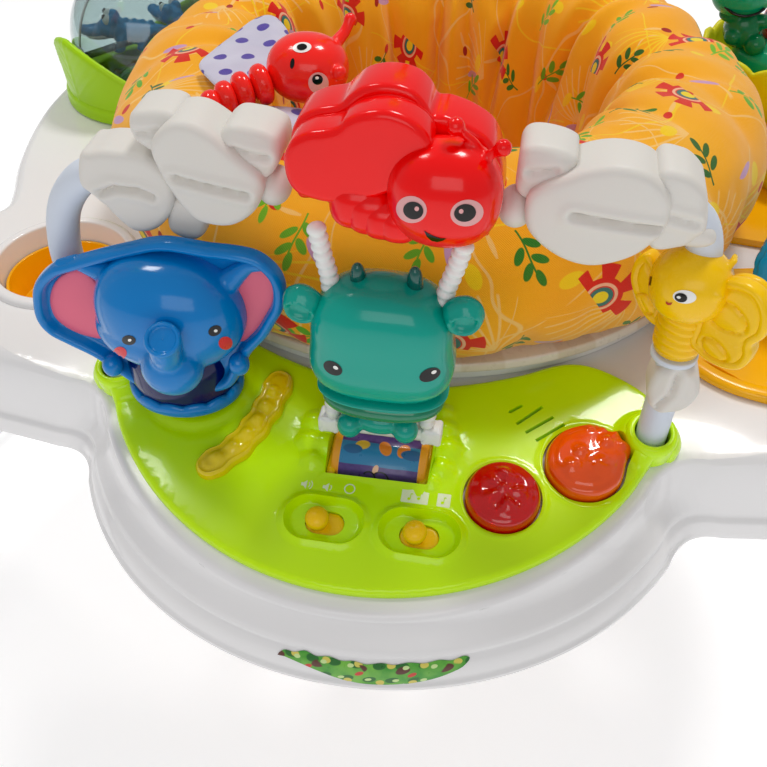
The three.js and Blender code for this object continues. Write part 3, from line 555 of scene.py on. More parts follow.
def bake(ob):
    """Applies every modifier on the object."""
    dg = bpy.context.evaluated_depsgraph_get()
    me = bpy.data.meshes.new_from_object(ob.evaluated_get(dg))
    mats = list(ob.data.materials)
    ob.modifiers.clear()
    ob.data = me
    if not me.materials:
        for m in mats:
            me.materials.append(m)
    me.shade_smooth()
    return ob


def fuse(name, parts, mat, voxel=0.8, smooth=8):
    """Grows several closed shapes into one moulded skin with soft fillets."""
    ob = make(name, join(*parts), mat)
    m = ob.modifiers.new("union", "REMESH")
    m.mode = "VOXEL"
    m.voxel_size = voxel * MM
    m.use_smooth_shade = True
    s = ob.modifiers.new("soft", "SMOOTH")
    s.factor = 0.5
    s.iterations = smooth
    return bake(ob)


def autosmooth(ob, angle=35):
    """Smooth shading that keeps edges sharper than the angle."""
    me = ob.data
    me.shade_smooth()
    me.set_sharp_from_angle(angle=angle * D2R)
    return ob


def put(ob, body, slot=None, *nodes):
    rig.ride(ob, body)
    if nodes:
        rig.replaces(ob, *nodes)
    if slot:
        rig.slot(ob, slot)
    return ob


def stand(ob, *nodes):
    """ob stands for those nodes, rides on their body and takes their finish."""
    return put(ob, BODY[nodes[0]], SLOT[nodes[0]], *nodes)


_trees = {}


def tree_of(ob):
    if ob.name not in _trees:
        me = ob.data
        _trees[ob.name] = BVHTree.FromPolygons([v.co.copy() for v in me.vertices], [tuple(p.vertices) for p in me.polygons])
    return _trees[ob.name]


def decal(name, target, at, toward, outline, mat, body, slot=None, lift=0.18, step=0.8, up=(0, 0, 1), holes=(), dome=0.0):
    """A printed or moulded patch laid on target's skin. at is a point outside it, toward the way it is pressed on."""
    at, n = np.array(at, float), np.array(toward, float)
    n /= np.linalg.norm(n)
    right = np.cross(n, np.array(up, float))
    right /= np.linalg.norm(right)
    upv = np.cross(right, n)
    outline = ccw(outline)
    pts = fill_points(outline, [ccw(h) for h in holes], step)
    V, F, m = cdt(pts, [len(outline)] + [len(h) for h in holes])
    c = np.array([V[list(f)].mean(0) for f in F])
    ok = inside(c, outline)
    for h in holes:
        ok &= ~inside(c, h)
    F = [f for f, o in zip(F, ok) if o]
    d = np.maximum(sdf(V, outline), 0)
    tree = tree_of(target)
    out, good = [], True
    for (x, y), dd in zip(V, d):
        s = at + right * x + upv * y
        hit, nrm, _, _ = tree.ray_cast(Vector(s * MM), Vector(n))
        if hit is None:
            out.append(None)
            continue
        if nrm.dot(Vector(n)) > 0:
            nrm = -nrm
        out.append(np.array(hit) / MM + np.array(nrm) * (lift + dome * (1 - math.exp(-dd / 0.9))))
    F = [f for f in F if all(out[i] is not None for i in f)]
    v = np.array([o if o is not None else (0, 0, 0) for o in out])
    used = sorted({i for f in F for i in f})
    re = {i: k for k, i in enumerate(used)}
    ob = make(name, (v[used], [tuple(re[i] for i in f) for f in F]), mat)
    # faces look against the pressing direction
    me = ob.data
    if len(me.polygons) and sum(p.normal.dot(Vector(n)) for p in me.polygons) > 0:
        me.flip_normals()
    put(ob, body, slot)
    return ob


# ---------------------------------------------------------------- node expressions for materials
class E:
    """A shader value with arithmetic, so that patterns read as formulas."""
    tree = None

    def __init__(self, s):
        self.s = s

    @staticmethod
    def math(op, *args, clamp=False):
        n = E.tree.nodes.new("ShaderNodeMath")
        n.operation = op
        n.use_clamp = clamp
        for i, a in enumerate(args):
            if isinstance(a, E):
                E.tree.links.new(a.s, n.inputs[i])
            else:
                n.inputs[i].default_value = float(a)
        return E(n.outputs[0])

    def __add__(s, o): return E.math("ADD", s, o)
    def __radd__(s, o): return E.math("ADD", s, o)
    def __sub__(s, o): return E.math("SUBTRACT", s, o)
    def __rsub__(s, o): return E.math("SUBTRACT", o, s)
    def __mul__(s, o): return E.math("MULTIPLY", s, o)
    def __rmul__(s, o): return E.math("MULTIPLY", s, o)
    def __truediv__(s, o): return E.math("DIVIDE", s, o)
    def __neg__(s): return E.math("MULTIPLY", s, -1)
    def abs(s): return E.math("ABSOLUTE", s)
    def sqrt(s): return E.math("SQRT", s)
    def sin(s): return E.math("SINE", s)
    def cos(s): return E.math("COSINE", s)
    def floor(s): return E.math("FLOOR", s)
    def lt(s, o): return E.math("LESS_THAN", s, o)
    def gt(s, o): return E.math("GREATER_THAN", s, o)
    def min(s, o): return E.math("MINIMUM", s, o)
    def max(s, o): return E.math("MAXIMUM", s, o)
    def clamp(s): return E.math("ADD", s, 0, clamp=True)


def hyp(x, y):
    return (x * x + y * y).sqrt()


def soft_lt(x, edge, soft):
    """1 below edge, 0 above it, over a short ramp."""
    return ((edge - x) / soft + 0.5).clamp()


def linear(c):
    return tuple(((x / 12.92) if x <= 0.04045 else ((x + 0.055) / 1.055) ** 2.4) for x in c[:3]) + (1,)


def hexc(h):
    return tuple(int(h[i:i + 2], 16) / 255 for i in (0, 2, 4))


class Mat:
    def __init__(self, name, color, rough=0.3, metallic=0.0, coat=0.0, coat_rough=0.05, ior=1.5, sheen=0.0, spec=0.5, trans=0.0, alpha=1.0, sss=0.0, sss_r=(1, 0.6, 0.4)):
        m = bpy.data.materials.new(name)
        m.use_nodes = True
        self.m, self.t = m, m.node_tree
        E.tree = self.t
        self.b = next(n for n in self.t.nodes if n.type == "BSDF_PRINCIPLED")
        i = self.b.inputs
        self.base = linear(color) if not isinstance(color, tuple) or len(color) == 3 else color
        i["Base Color"].default_value = self.base
        i["Roughness"].default_value = rough
        i["Metallic"].default_value = metallic
        i["Coat Weight"].default_value = coat
        i["Coat Roughness"].default_value = coat_rough
        i["IOR"].default_value = ior
        i["Sheen Weight"].default_value = sheen
        i["Specular IOR Level"].default_value = spec
        i["Transmission Weight"].default_value = trans
        i["Alpha"].default_value = alpha
        i["Subsurface Weight"].default_value = sss
        i["Subsurface Radius"].default_value = sss_r
        i["Subsurface Scale"].default_value = 0.004
        tc = self.t.nodes.new("ShaderNodeTexCoord")
        self.obj = tc.outputs["Object"]
        self.uv = tc.outputs["UV"]
        self.height = None

    def noise(self, scale, detail=3, rough=0.5, vec=None, dist=0.0):
        n = self.t.nodes.new("ShaderNodeTexNoise")
        n.inputs["Scale"].default_value = scale
        n.inputs["Detail"].default_value = detail
        n.inputs["Roughness"].default_value = rough
        n.inputs["Distortion"].default_value = dist
        self.t.links.new(vec or self.obj, n.inputs["Vector"])
        return E(n.outputs["Fac"])

    def xyz(self, vec=None):
        n = self.t.nodes.new("ShaderNodeSeparateXYZ")
        self.t.links.new(vec or self.obj, n.inputs[0])
        return [E(o) for o in n.outputs]

    def ramp(self, fac, lo, hi):
        n = self.t.nodes.new("ShaderNodeMapRange")
        n.inputs["From Min"].default_value = lo[0]
        n.inputs["From Max"].default_value = hi[0]
        n.inputs["To Min"].default_value = lo[1]
        n.inputs["To Max"].default_value = hi[1]
        self.t.links.new(fac.s, n.inputs["Value"])
        return E(n.outputs[0])

    def mix(self, fac, a, b):
        n = self.t.nodes.new("ShaderNodeMix")
        n.data_type = "RGBA"
        n.clamp_factor = True
        if isinstance(fac, E):
            self.t.links.new(fac.s, n.inputs[0])
        else:
            n.inputs[0].default_value = fac
        for k, c in ((6, a), (7, b)):
            if isinstance(c, E):
                self.t.links.new(c.s, n.inputs[k])
            else:
                n.inputs[k].default_value = c
        return E(n.outputs[2])

    def color(self, e):
        self.t.links.new(e.s, self.b.inputs["Base Color"])

    def rough(self, e):
        self.t.links.new(e.s, self.b.inputs["Roughness"])

    def bump(self, h, strength=0.2, dist=0.001):
        n = self.t.nodes.new("ShaderNodeBump")
        n.inputs["Strength"].default_value = strength
        n.inputs["Distance"].default_value = dist
        self.t.links.new(h.s, n.inputs["Height"])
        self.t.links.new(n.outputs[0], self.b.inputs["Normal"])
        if self.b.inputs["Coat Weight"].default_value > 0:
            self.t.links.new(n.outputs[0], self.b.inputs["Coat Normal"])


def shade(c, k):
    """Linear colour scaled, kept in range."""
    return tuple(min(1, x * k) for x in c[:3]) + (1,)


def plastic(name, color, rough=0.16, coat=0.35, var=0.06, scuff=0.1, peel=0.05, **kw):
    """Moulded plastic: faint colour drift, orange peel, and fine rubbed marks that dull the gloss."""
    M = Mat(name, color, rough, coat=coat * 0.4, **{"spec": 0.27, **kw})
    drift = M.noise(18, 2)
    M.color(M.mix(M.ramp(drift, (0.3, 0), (0.7, 1)), shade(M.base, 1 - var), shade(M.base, 1 + var)))
    marks = M.noise(260, 5, 0.65, dist=1.2)
    rub = M.noise(34, 4, 0.6)
    M.rough(M.ramp(marks * 0.5 + rub * 0.5, (0.35, rough), (0.75, rough + scuff)))
    M.bump(M.noise(700, 2) * 0.35 + M.noise(120, 2) * 0.65, peel, 0.0006)
    return M.m


# ---------------------------------------------------------------- camera, light, floor
cam_data = bpy.data.cameras.new("camera")
cam_data.sensor_width = 36
cam_data.lens = 900 * 36 / 767
cam_data.clip_start = 0.02
cam = bpy.data.objects.new("camera", cam_data)
scene.collection.objects.link(cam)
right, up, fwd = Vector((0.98450, 0.17540, 0)), Vector((-0.12183, 0.68390, 0.71934)), Vector((-0.12617, 0.70820, -0.69466))
cam.matrix_world = Matrix(((right.x, up.x, -fwd.x, 0.05316), (right.y, up.y, -fwd.y, -0.45625), (right.z, up.z, -fwd.z, 0.68772), (0, 0, 0, 1)))
scene.camera = cam


def area_light(name, loc, target, size, energy, color=(1, 1, 1)):
    d = bpy.data.lights.new(name, "AREA")
    d.shape = "RECTANGLE"
    d.size, d.size_y = size
    d.energy = energy
    d.color = color
    o = bpy.data.objects.new(name, d)
    o.location = loc
    o.rotation_euler = (Vector(target) - Vector(loc)).to_track_quat("-Z", "Y").to_euler()
    scene.collection.objects.link(o)
    return o


scene.view_settings.view_transform = "Standard"
area_light("key", (0.35, 0.75, 2.3), (0, -0.05, 0.42), (0.42, 0.42), 17, (1, 0.985, 0.965))
area_light("key_two", (-0.9, 0.35, 2.2), (0, -0.05, 0.42), (0.35, 0.35), 7, (1, 0.985, 0.965))
area_light("front_fill", (0.2, -2.2, 1.6), (0, 0, 0.4), (1.6, 1.2), 10, (1, 0.99, 0.98))
world = bpy.data.worlds.new("studio")
scene.world = world
world.use_nodes = True
bg = next(n for n in world.node_tree.nodes if n.type == "BACKGROUND")
bg.inputs[0].default_value = (0.98, 0.98, 1.0, 1)
bg.inputs[1].default_value = 0.40

fm = Mat("studio_floor", (0.97, 0.97, 0.97), 0.85)
fm.color(fm.mix(fm.noise(3, 3), (0.88, 0.88, 0.88, 1), (0.93, 0.93, 0.93, 1)))
fm.bump(fm.noise(80, 4), 0.03)
fl = make("studio_floor", (A([-4000, -4000, 0], [4000, -4000, 0], [4000, 4000, 0], [-4000, 4000, 0]), [(0, 1, 2, 3)]), fm.m, smooth=False)
fm.b.inputs["Emission Color"].default_value = (1, 1, 1, 1)
fm.b.inputs["Emission Strength"].default_value = 0.42
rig.stage(fl)

# ---------------------------------------------------------------- shared materials
M_TRAY = plastic("tray_white_gloss", (0.93, 0.925, 0.925), 0.13, coat=0.5, var=0.012, scuff=0.14, peel=0.035)
M_UNDER = plastic("tray_under_satin", (0.85, 0.85, 0.86), 0.42, coat=0.0, var=0.02, scuff=0.2, peel=0.12)
M_LIME = plastic("lime_gloss", (0.80, 0.985, 0.0), 0.15, coat=0.55, var=0.03, scuff=0.12, peel=0.04, sss=0.06, sss_r=(0.6, 1, 0.2))
M_LEAFW = plastic("leaf_white_satin", (0.875, 0.86, 0.835), 0.42, coat=0.0, var=0.015, scuff=0.16, peel=0.16, sss=0.05)
M_POSTW = plastic("post_white_bluish", (0.84, 0.87, 0.92), 0.36, coat=0.0, var=0.015, scuff=0.16, peel=0.1)
M_ROPE = plastic("rope_white", (0.93, 0.93, 0.92), 0.38, coat=0.0, var=0.02, scuff=0.15, peel=0.1, sss=0.05)
M_RED = plastic("moth_red_gloss", (0.97, 0.0, 0.0), 0.14, coat=0.5, var=0.05, scuff=0.14, peel=0.05)
M_TEAL = plastic("hippo_teal_gloss", (0.0, 0.63, 0.56), 0.12, coat=0.6, var=0.04, scuff=0.12, peel=0.04)
M_BLUE = plastic("elephant_blue_gloss", (0.0, 0.49, 0.79), 0.11, coat=0.6, var=0.04, scuff=0.12, peel=0.04)
M_PINK = plastic("ear_pink", (0.90, 0.42, 0.52), 0.34, coat=0.1, var=0.05, scuff=0.12, peel=0.1)
M_NAVY = plastic("collar_navy_gloss", (0.0, 0.03, 0.32), 0.10, coat=0.6, var=0.08, scuff=0.1, peel=0.05)
M_BFLY = plastic("butterfly_yellow_gloss", (1.0, 0.79, 0.0), 0.2, coat=0.4, var=0.05, scuff=0.14, peel=0.05)
M_YEL = plastic("plate_yellow_gloss", (1.0, 0.72, 0.02), 0.17, coat=0.45, var=0.04, scuff=0.14, peel=0.05)
M_KNOB = plastic("knob_orange_gloss", (1.0, 0.80, 0.0), 0.22, coat=0.35, var=0.04, scuff=0.12, peel=0.05)
M_WHEEL = plastic("wheel_blue_gloss", (0.0, 0.62, 0.88), 0.15, coat=0.5, var=0.05, scuff=0.14, peel=0.05)
M_CROC = plastic("croc_blue_gloss", (0.10, 0.56, 0.80), 0.2, coat=0.4, var=0.08, scuff=0.14, peel=0.06)
M_FROG = plastic("frog_green_gloss", (0.0, 0.60, 0.42), 0.16, coat=0.5, var=0.05, scuff=0.14, peel=0.05)
M_POT = plastic("pot_green_satin", (0.86, 0.84, 0.02), 0.34, coat=0.1, var=0.06, scuff=0.16, peel=0.1)
M_CRADLE = plastic("cradle_green_satin", (0.66, 0.86, 0.0), 0.30, coat=0.15, var=0.05, scuff=0.16, peel=0.1, sss=0.06, sss_r=(0.5, 1, 0.2))
M_FLOWER = plastic("flower_orange_satin", (0.98, 0.50, 0.02), 0.34, coat=0.1, var=0.06, scuff=0.14, peel=0.1)
M_BUG = plastic("bug_red_gloss", (1.0, 0.13, 0.09), 0.13, coat=0.6, var=0.05, scuff=0.12, peel=0.05)
M_BLACK = plastic("eye_black_gloss", (0.015, 0.015, 0.017), 0.08, coat=0.6, var=0.2, scuff=0.06, peel=0.02)
M_EYEW = plastic("eye_white_gloss", (0.96, 0.96, 0.95), 0.16, coat=0.3, var=0.02, scuff=0.08, peel=0.03)
M_EYEP = plastic("eye_rosy_white", (0.90, 0.66, 0.66), 0.16, coat=0.3, var=0.04, scuff=0.08, peel=0.03)
M_CHEEK = plastic("cheek_red", (0.86, 0.20, 0.24), 0.25, coat=0.2, var=0.05, scuff=0.1, peel=0.05)
M_ICON = plastic("icon_white_print", (0.93, 0.97, 0.80), 0.35, coat=0.0, var=0.05, scuff=0.1, peel=0.06)
M_FRAMEP = plastic("frame_white_gloss", (0.90, 0.90, 0.91), 0.22, coat=0.25, var=0.02, scuff=0.16, peel=0.06)
M_RUBBER = plastic("foot_rubber", (0.14, 0.145, 0.15), 0.7, coat=0.0, var=0.12, scuff=0.15, peel=0.4)
M_WEB = None


def powder(name, color):
    M = Mat(name, color, 0.34, metallic=0.0, coat=0.2)
    M.color(M.mix(M.ramp(M.noise(25, 3), (0.3, 0), (0.7, 1)), shade(M.base, 0.97), shade(M.base, 1.03)))
    M.rough(M.ramp(M.noise(300, 4, 0.6), (0.3, 0.28), (0.7, 0.44)))
    M.bump(M.noise(1500, 2), 0.10, 0.0004)
    return M.m


M_TUBE = powder("frame_powder_coat", (0.88, 0.885, 0.89))


def weave(name, color, pitch=0.0011, var=0.1, ribs=False):
    """Woven tape or cloth: over-and-under threads from the object's own coordinates."""
    M = Mat(name, color, 0.85, sheen=0.4, spec=0.25)
    x, y, z = M.xyz()
    k = 2 * math.pi / pitch
    a = ((x + y) * k).sin()
    b = (z * k).sin()
    h = (a * b) * 0.5 + 0.5
    M.color(M.mix(M.ramp(M.noise(60, 3) * 0.6 + h * 0.4, (0.3, 0), (0.75, 1)), shade(M.base, 1 - var), shade(M.base, 1 + var)))
    M.rough(M.ramp(M.noise(400, 3), (0.3, 0.75), (0.7, 0.95)))
    M.bump(h, 0.5, 0.0003)
    return M.m


M_STRAP = weave("strap_webbing", (0.86, 0.85, 0.82), 0.0016, 0.07)
M_COVER = weave("cover_cloth", (0.96, 0.55, 0.10), 0.0011, 0.08)


def clear(name, color, rough=0.05, alpha=1.0, trans=0.85, var=0.08):
    M = Mat(name, color, rough, coat=0.4, trans=trans, ior=1.47, alpha=alpha)
    M.color(M.mix(M.ramp(M.noise(40, 3), (0.3, 0), (0.7, 1)), shade(M.base, 1 - var), shade(M.base, 1 + var)))
    M.rough(M.ramp(M.noise(200, 4), (0.3, rough), (0.75, rough + 0.08)))
    M.bump(M.noise(90, 2), 0.06, 0.0006)
    return M.m


M_REDC = clear("red_button_clear", (0.93, 0.0, 0.0), 0.06, trans=0.45)
M_ORC = clear("orange_button_clear", (1.0, 0.34, 0.0), 0.06, trans=0.15)
M_AMBER = clear("light_bar_clear", (1.0, 0.87, 0.0), 0.06, trans=0.12)
M_SHELL = clear("ball_shell_clear", (0.80, 0.86, 0.86), 0.02, trans=1.0, var=0.02)
# clear teal for the hippo's lower lip, tinted greener: partly its own colour, partly painted reflection of the lime
# panel
M_HIPC_LIME_REFLECTION = clear("hippo_lip_clear", (0.0, 0.60, 0.44), 0.1, trans=0.35)

# ---------------------------------------------------------------- tray
HALF = [[150, -172], [178, -168], [215, -164], [280, -163], [335, -160], [362, -144], [368, -118], [362, -92], [335, -78], [290, -76], [252, -72], [236, -56], [240, -34], [252, -2],
        [262, 40], [266, 80], [262, 125], [245, 168], [214, 208], [168, 240], [118, 260], [76, 270], [54, 284], [50, 305], [42, 324], [22, 334]]
TOP_OUT = ccw(smooth_closed(HALF + [[-x, y] for x, y in HALF[::-1]] + [[-100, -178], [0, -178], [100, -178]], 420))
LOBE = A(0, PANEL_Y + 51)
HALF2 = [[131, -6], [134, 2], [130, 11], [122, 22], [110, 30.5], [94, 36.5], [80, 35.5], [62, 27], [40, 19], [18, 14.5]]
ARC = [[136.5 * math.cos(a * D2R), 51 + 136.5 * math.sin(a * D2R)] for a in range(-154, -25, 8)]
PANEL_PLAN = ccw(smooth_closed(ARC + HALF2 + [[-x, y] for x, y in HALF2[::-1]], 360))
PANEL_UV = PANEL_PLAN / A(1, CT)
CUP = A(-184, -101)
SIDE_LUG, REAR_LUG = (-336, -118), (0, 304)


def smax(a, b, k):
    h = np.clip(0.5 + 0.5 * (a - b) / k, 0, 1)
    return b * (1 - h) + a * h + k * h * (1 - h)


def ramp01(x, a, b):
    t = np.clip((x - a) / (b - a), 0, 1)
    return t * t * (3 - 2 * t)


def tray_height(P):
    """Top face: level, and sloping down to the front under the panel."""
    P = np.asarray(P, float)
    plane = (P[:, 1] - PANEL_Y) * math.tan(TILT) - 4.6
    low = -smax(-plane, np.zeros(len(P)), 5.0)
    w = 1 - ramp01(np.abs(P[:, 0]), 140, 205)
    w = w * (1 - ramp01(P[:, 1], -172, -120))
    return low * w


MAIN_PROFILE = np.array([[0, 0], [-1.2, 4.2], [-3.5, 6.9], [-7, 8.9], [-12, 9.9], [-20, 10.3], [-40.0, 10.6], [-41.6, 11.3], [-43, 12.6], [-44.5, 12.9], [-47.5, 13.0], [-52, 13.2], [-54.2, 13.0], [-55, 12.4]])
LOBE_PROFILE = np.array([[0, 141], [-20, 143.2], [-27, 144.8], [-31, 147.2], [-35, 150.6], [-38.2, 153.0], [-39.6, 152.6], [-41, 153.4], [-44, 155.4], [-48, 156.9], [-51.2, 157.4], [-52.2, 158.6], [-54.2, 158.9], [-55, 158.2]])
MAIN_PROFILE[:, 1] *= 12 / 13.2
LOBE_PROFILE[:, 1] -= 0.9


def tray_wall():
    c0 = A(0, -110)
    outer = offset(TOP_OUT, 12)
    # rays spaced so that the outline's own points set the spacing
    base = np.vstack([TOP_OUT, LOBE + 143 * np.stack([np.cos(np.linspace(-170, -10, 260) * D2R), np.sin(np.linspace(-170, -10, 260) * D2R)], 1)])
    rel = base - c0
    ang = np.arctan2(rel[:, 1], rel[:, 0])
    lobe_zone = np.hypot(*(base - LOBE).T) > 138
    keep = np.ones(len(base), bool)
    ang = np.sort(np.unique(np.round(ang[keep], 4)))
    ang = ang[np.r_[True, np.diff(ang) > 0.0022]]
    dirs = np.stack([np.cos(ang), np.sin(ang)], 1)
    def f_main(z):
        return np.interp(-z, -MAIN_PROFILE[:, 0], MAIN_PROFILE[:, 1])
    def r_lobe(z):
        return np.interp(-z, -LOBE_PROFILE[:, 0], LOBE_PROFILE[:, 1])
    def field(P, z, top):
        a = sdf(P, TOP_OUT) + np.where(z > -30, np.minimum(f_main(z), 12), f_main(z))
        edge = np.clip(z - (top - 3.0), 0, 3.0)
        r = r_lobe(z) - (3.0 - np.sqrt(np.maximum(9.0 - edge * edge, 0)))
        b = r - np.hypot(*(P - LOBE).T)
        k = 16.0
        h = np.clip(0.5 + 0.5 * (a - b) / k, 0, 1)
        return b * (1 - h) + a * h + k * h * (1 - h) * 0.5
    def trace(z, top):
        r = np.full(len(ang), 470.0)
        for _ in range(26):
            P = c0 + dirs * r[:, None]
            r = r + np.clip(field(P, z, top), -200, 4) * 0.92
        return r
    top = np.zeros(len(ang))
    for _ in range(3):
        P = c0 + dirs * trace(top, top)[:, None]
        top = tray_height(P)
    levels = np.r_[0, 0.35, 0.9, 1.8, 3.0]
    rest = [7, 12, 17, 20, 24, 27, 30, 33, 36, 38.2, 39.6, 40.6, 41.6, 43, 44.5, 46.5, 49, 51.2, 52.2, 53.2, 54.2, 55]
    rows = []
    for l in levels:
        z = top - l
        rows.append((z, trace(z, top)))
    for l in rest:
        z = np.minimum(top - 3.0 - (l - 3) / 52 * 0.02, -l)
        z = np.where(-l < top - 3.0, -l, top - 3.0 - 0.02 * l)
        z = np.maximum(z, -55)
        rows.append((z, trace(z, top)))
    rings = [np.c_[c0 + dirs * r[:, None], TRAY_Z + z] for z, r in rows]
    v = np.vstack(rings)
    f = grid_faces(len(ang), len(rings), True, False)
    return rings, v, [q[::-1] for q in f]


rings, wall_v, wall_f = tray_wall()
rim = rings[0][:, :2]
SEAT_C = circle(0, 0, 155.5, 180)
PANEL_HOLE = offset(PANEL_PLAN, -10) + A(0, PANEL_Y)
PANEL_HOLE = resample(PANEL_HOLE, 150, True)
PANEL_HOLE = PANEL_HOLE[np.hypot(*PANEL_HOLE.T) > 0]
CUP_HOLE = circle(*CUP, 38.5, 72)
holes = [SEAT_C, CUP_HOLE, circle(-207, 104, 40, 60)]
for sx in (-1, 1):
    holes.append(roundrect(sx * 336, -118, 6, 34, 2.5, 3))
holes.append(roundrect(0, 304, 34, 6, 2.5, 3))


def tray_top_mesh():
    # the panel hides the middle of the sloping face, so that face runs on under it
    near = circle(0, 0, 1, 3)
    extra = np.vstack([offset(SEAT_C, 4), offset(CUP_HOLE, 3)])
    pts = fill_points(ccw(rim), [ccw(h) for h in holes], 9, (4,), extra)
    V, F, m = cdt(pts, [len(rim)] + [len(h) for h in holes])
    c = np.array([V[list(f)].mean(0) for f in F])
    ok = inside(c, rim)
    for h in holes:
        ok &= ~inside(c, h)
    F = [f if area2(V, f) > 0 else f[::-1] for f, o in zip(F, ok) if o]
    z = tray_height(V)
    return np.c_[V, TRAY_Z + z], F


top_v, top_f = tray_top_mesh()
collar = lathe(round_profile([[155.5, 1.2], [157.5, 0.0], [156.6, 4.5], [155.5, 6.0], [152.6, 6.0], [152.2, -30], [154.6, -30], [155.2, -6]], 1.2), 160, (0, 0, TRAY_Z))
cup_rim = lathe(round_profile([[40.5, 0.0], [39.6, 2.2], [38.0, 3.2], [34.2, 3.2], [32.6, -8], [31.4, -27], [35.2, -30], [38.4, -12], [39, -1]], 1.4), 96, (*CUP, TRAY_Z))
well = lathe([[41, 0.2], [40, -1.0], [39.4, -20], [4, -20.2], [4, -21.8], [41, -21.6]], 72, (-207, 104, TRAY_Z))
under = (np.vstack([rings[-1], rings[-1] * A(0.985, 0.985, 0) + A(0, -1.6, 0) + A(0, 0, TRAY_Z - 54.4)]), grid_faces(len(rim), 2, True, False))
bez = []
for cx, cy, w, h in ((-336, -118, 14, 42), (336, -118, 14, 42), (0, 304, 42, 14)):
    o, i = roundrect(cx, cy, w, h, 6.5, 7), roundrect(cx, cy, w - 7, h - 7, 3.2, 7)
    n = len(o)
    ringv = []
    for t in np.linspace(0, math.pi, 9):
        q = o * (0.5 + 0.5 * math.cos(t)) + i * (0.5 - 0.5 * math.cos(t))
        ringv.append(np.c_[q, np.full(n, TRAY_Z - 0.3 + 2.6 * math.sin(t))])
    bez.append((np.vstack(ringv), [q[::-1] for q in grid_faces(n, 9, True, False)]))
tray = make("tray_shell", join((wall_v, wall_f), (top_v, top_f), collar, cup_rim, well, *bez), M_TRAY)
import bmesh
bm = bmesh.new()
bm.from_mesh(tray.data)
bmesh.ops.remove_doubles(bm, verts=bm.verts, dist=0.00002)
bmesh.ops.recalc_face_normals(bm, faces=bm.faces)
bm.to_mesh(tray.data)
bm.free()
tray.data.shade_smooth()
wn = tray.modifiers.new("weighted", "WEIGHTED_NORMAL")
wn.weight = 60
bake(tray)
stand(tray, "tray_top")

# ---------------------------------------------------------------- sound panel
SL1, SL2 = A(-11.2, -58.5), A(28.6, -58.5)
RED_C, ORANGE_C = A(60.5, -36.8), A(95, -15.5)
WIN = (6.5, -22, 22.2, 14.4)
SLOTS = [((64.9, 10.4), (58.9, 5.4)), ((74, 11.2), (62.6, -0.4)), ((79.2, 6.6), (66.8, -4.2)), ((84.3, 3.4), (71.5, -7.6))]
CLOUD_L = [(-25.5, -22, 6.5), (-24.5, -12, 6.8), (-22.5, -31, 6.2), (-18, -4, 6.0), (-18.5, -22, 7)]
CLOUD_R = [(31.5, -8, 7.2), (34.5, -17, 7.2), (33.0, -27, 6.4), (30, 0, 6.0), (30, -34, 4.6), (28, -18, 7)]
ORANGE_PTS = [[15.6, 2], [13, -9], [4, -16.5], [-8, -16.5], [-17, -8], [-18.2, 3], [-13, 12.5], [-4, 17.5], [2, 18.3], [7, 16], [11, 16.6], [14, 12], [17.5, 9]]


def bumps(P, blobs, k=3.0, h=4.2):
    """Low cloud-shaped swelling made of round lobes."""
    f = np.full(len(P), -1e3)
    for x, y, r in blobs:
        f = smax(f, r - np.hypot(P[:, 0] - x, P[:, 1] - y), 1.2)
    return h * (1 - np.exp(-np.maximum(f + 1.5, 0) ** 2 / (2 * k * k)))


def stadium_d(P, c, hl, hw):
    x = np.maximum(np.abs(P[:, 0] - c[0]) - (hl - hw), 0)
    return hw - np.hypot(x, P[:, 1] - c[1])


def panel_top(P, d):
    w = -fillet(d, 3.2) - 0.9 * np.exp(-((d - 6.4) / 0.7) ** 2) * 0
    w = w + bumps(P, CLOUD_L) + bumps(P, CLOUD_R)
    for c in (SL1, SL2):
        s = stadium_d(P, c, 18.4, 11.6)
        w = w + 2.0 * np.exp(-((s - 1.1) / 1.5) ** 2) - 2.2 * ramp01(s, 1.4, 4.2)
    for c, r in ((RED_C, 16.8), (ORANGE_C, 19.4)):
        q = np.hypot(*(P - c).T)
        w = w + 0.5 * np.exp(-((q - r - 1.2) / 1.0) ** 2)
    q = np.hypot(P[:, 0] + 82, P[:, 1] - 1)
    w = w + 2.2 * (1 - ramp01(q, 21, 27))
    for s in (-1, 1):
        q = np.hypot(P[:, 0] - s * 120, P[:, 1])
        w = w + 6.0 * (1 - ramp01(q, 10.5, 15.5))
    return w


ORANGE_HOLE = offset(ccw(smooth_closed(ORANGE_PTS, 60)) + ORANGE_C, 0.9)
p_holes = [roundrect(WIN[0], WIN[1], 2 * WIN[2], 2 * WIN[3], 0.8, 2), stadium(*SL1, 8.4, 5.4, 9), stadium(*SL2, 8.4, 5.4, 9), circle(*RED_C, 16.6, 64), ORANGE_HOLE, circle(-120, 0, 7.6, 32), circle(120, 0, 7.6, 32)]
for a, b in SLOTS:
    a, b = A(*a), A(*b)
    m = (a + b) / 2
    L = np.linalg.norm(a - b) / 2
    g = stadium(0, 0, L, 0.75, 4)
    t = math.atan2(a[1] - b[1], a[0] - b[0])
    p_holes.append(g @ A([math.cos(t), math.sin(t)], [-math.sin(t), math.cos(t)]) + m)
ex = [offset(stadium(*c, 18.4, 11.6, 14), -x) for c in (SL1, SL2) for x in (-2.4, -1.0, 0.2, 1.3, 2.4, 3.4, 4.6)]
ex += [circle(*RED_C, r, 60) for r in (17.2, 18.0, 19.2, 20.6)] + [offset(ORANGE_HOLE, x) for x in (0.6, 1.4, 2.6, 4)]
ex += [circle(s * 120, 0, r, 36) for s in (-1, 1) for r in (8.6, 10.2, 11.2, 12.3, 13.6, 15, 16.4)]
ex += [circle(-82, 1, r, 70) for r in (19.5, 21.5, 23, 24.6, 26.4, 28.2)]
gx, gy = np.meshgrid(np.arange(-36, 46, 1.5), np.arange(-44, 10, 1.5))
cl = np.c_[gx.ravel(), gy.ravel()]
cl = cl[(bumps(cl, CLOUD_L) > 0.02) | (bumps(cl, CLOUD_R) > 0.02)]
ex = np.vstack(ex + [cl])
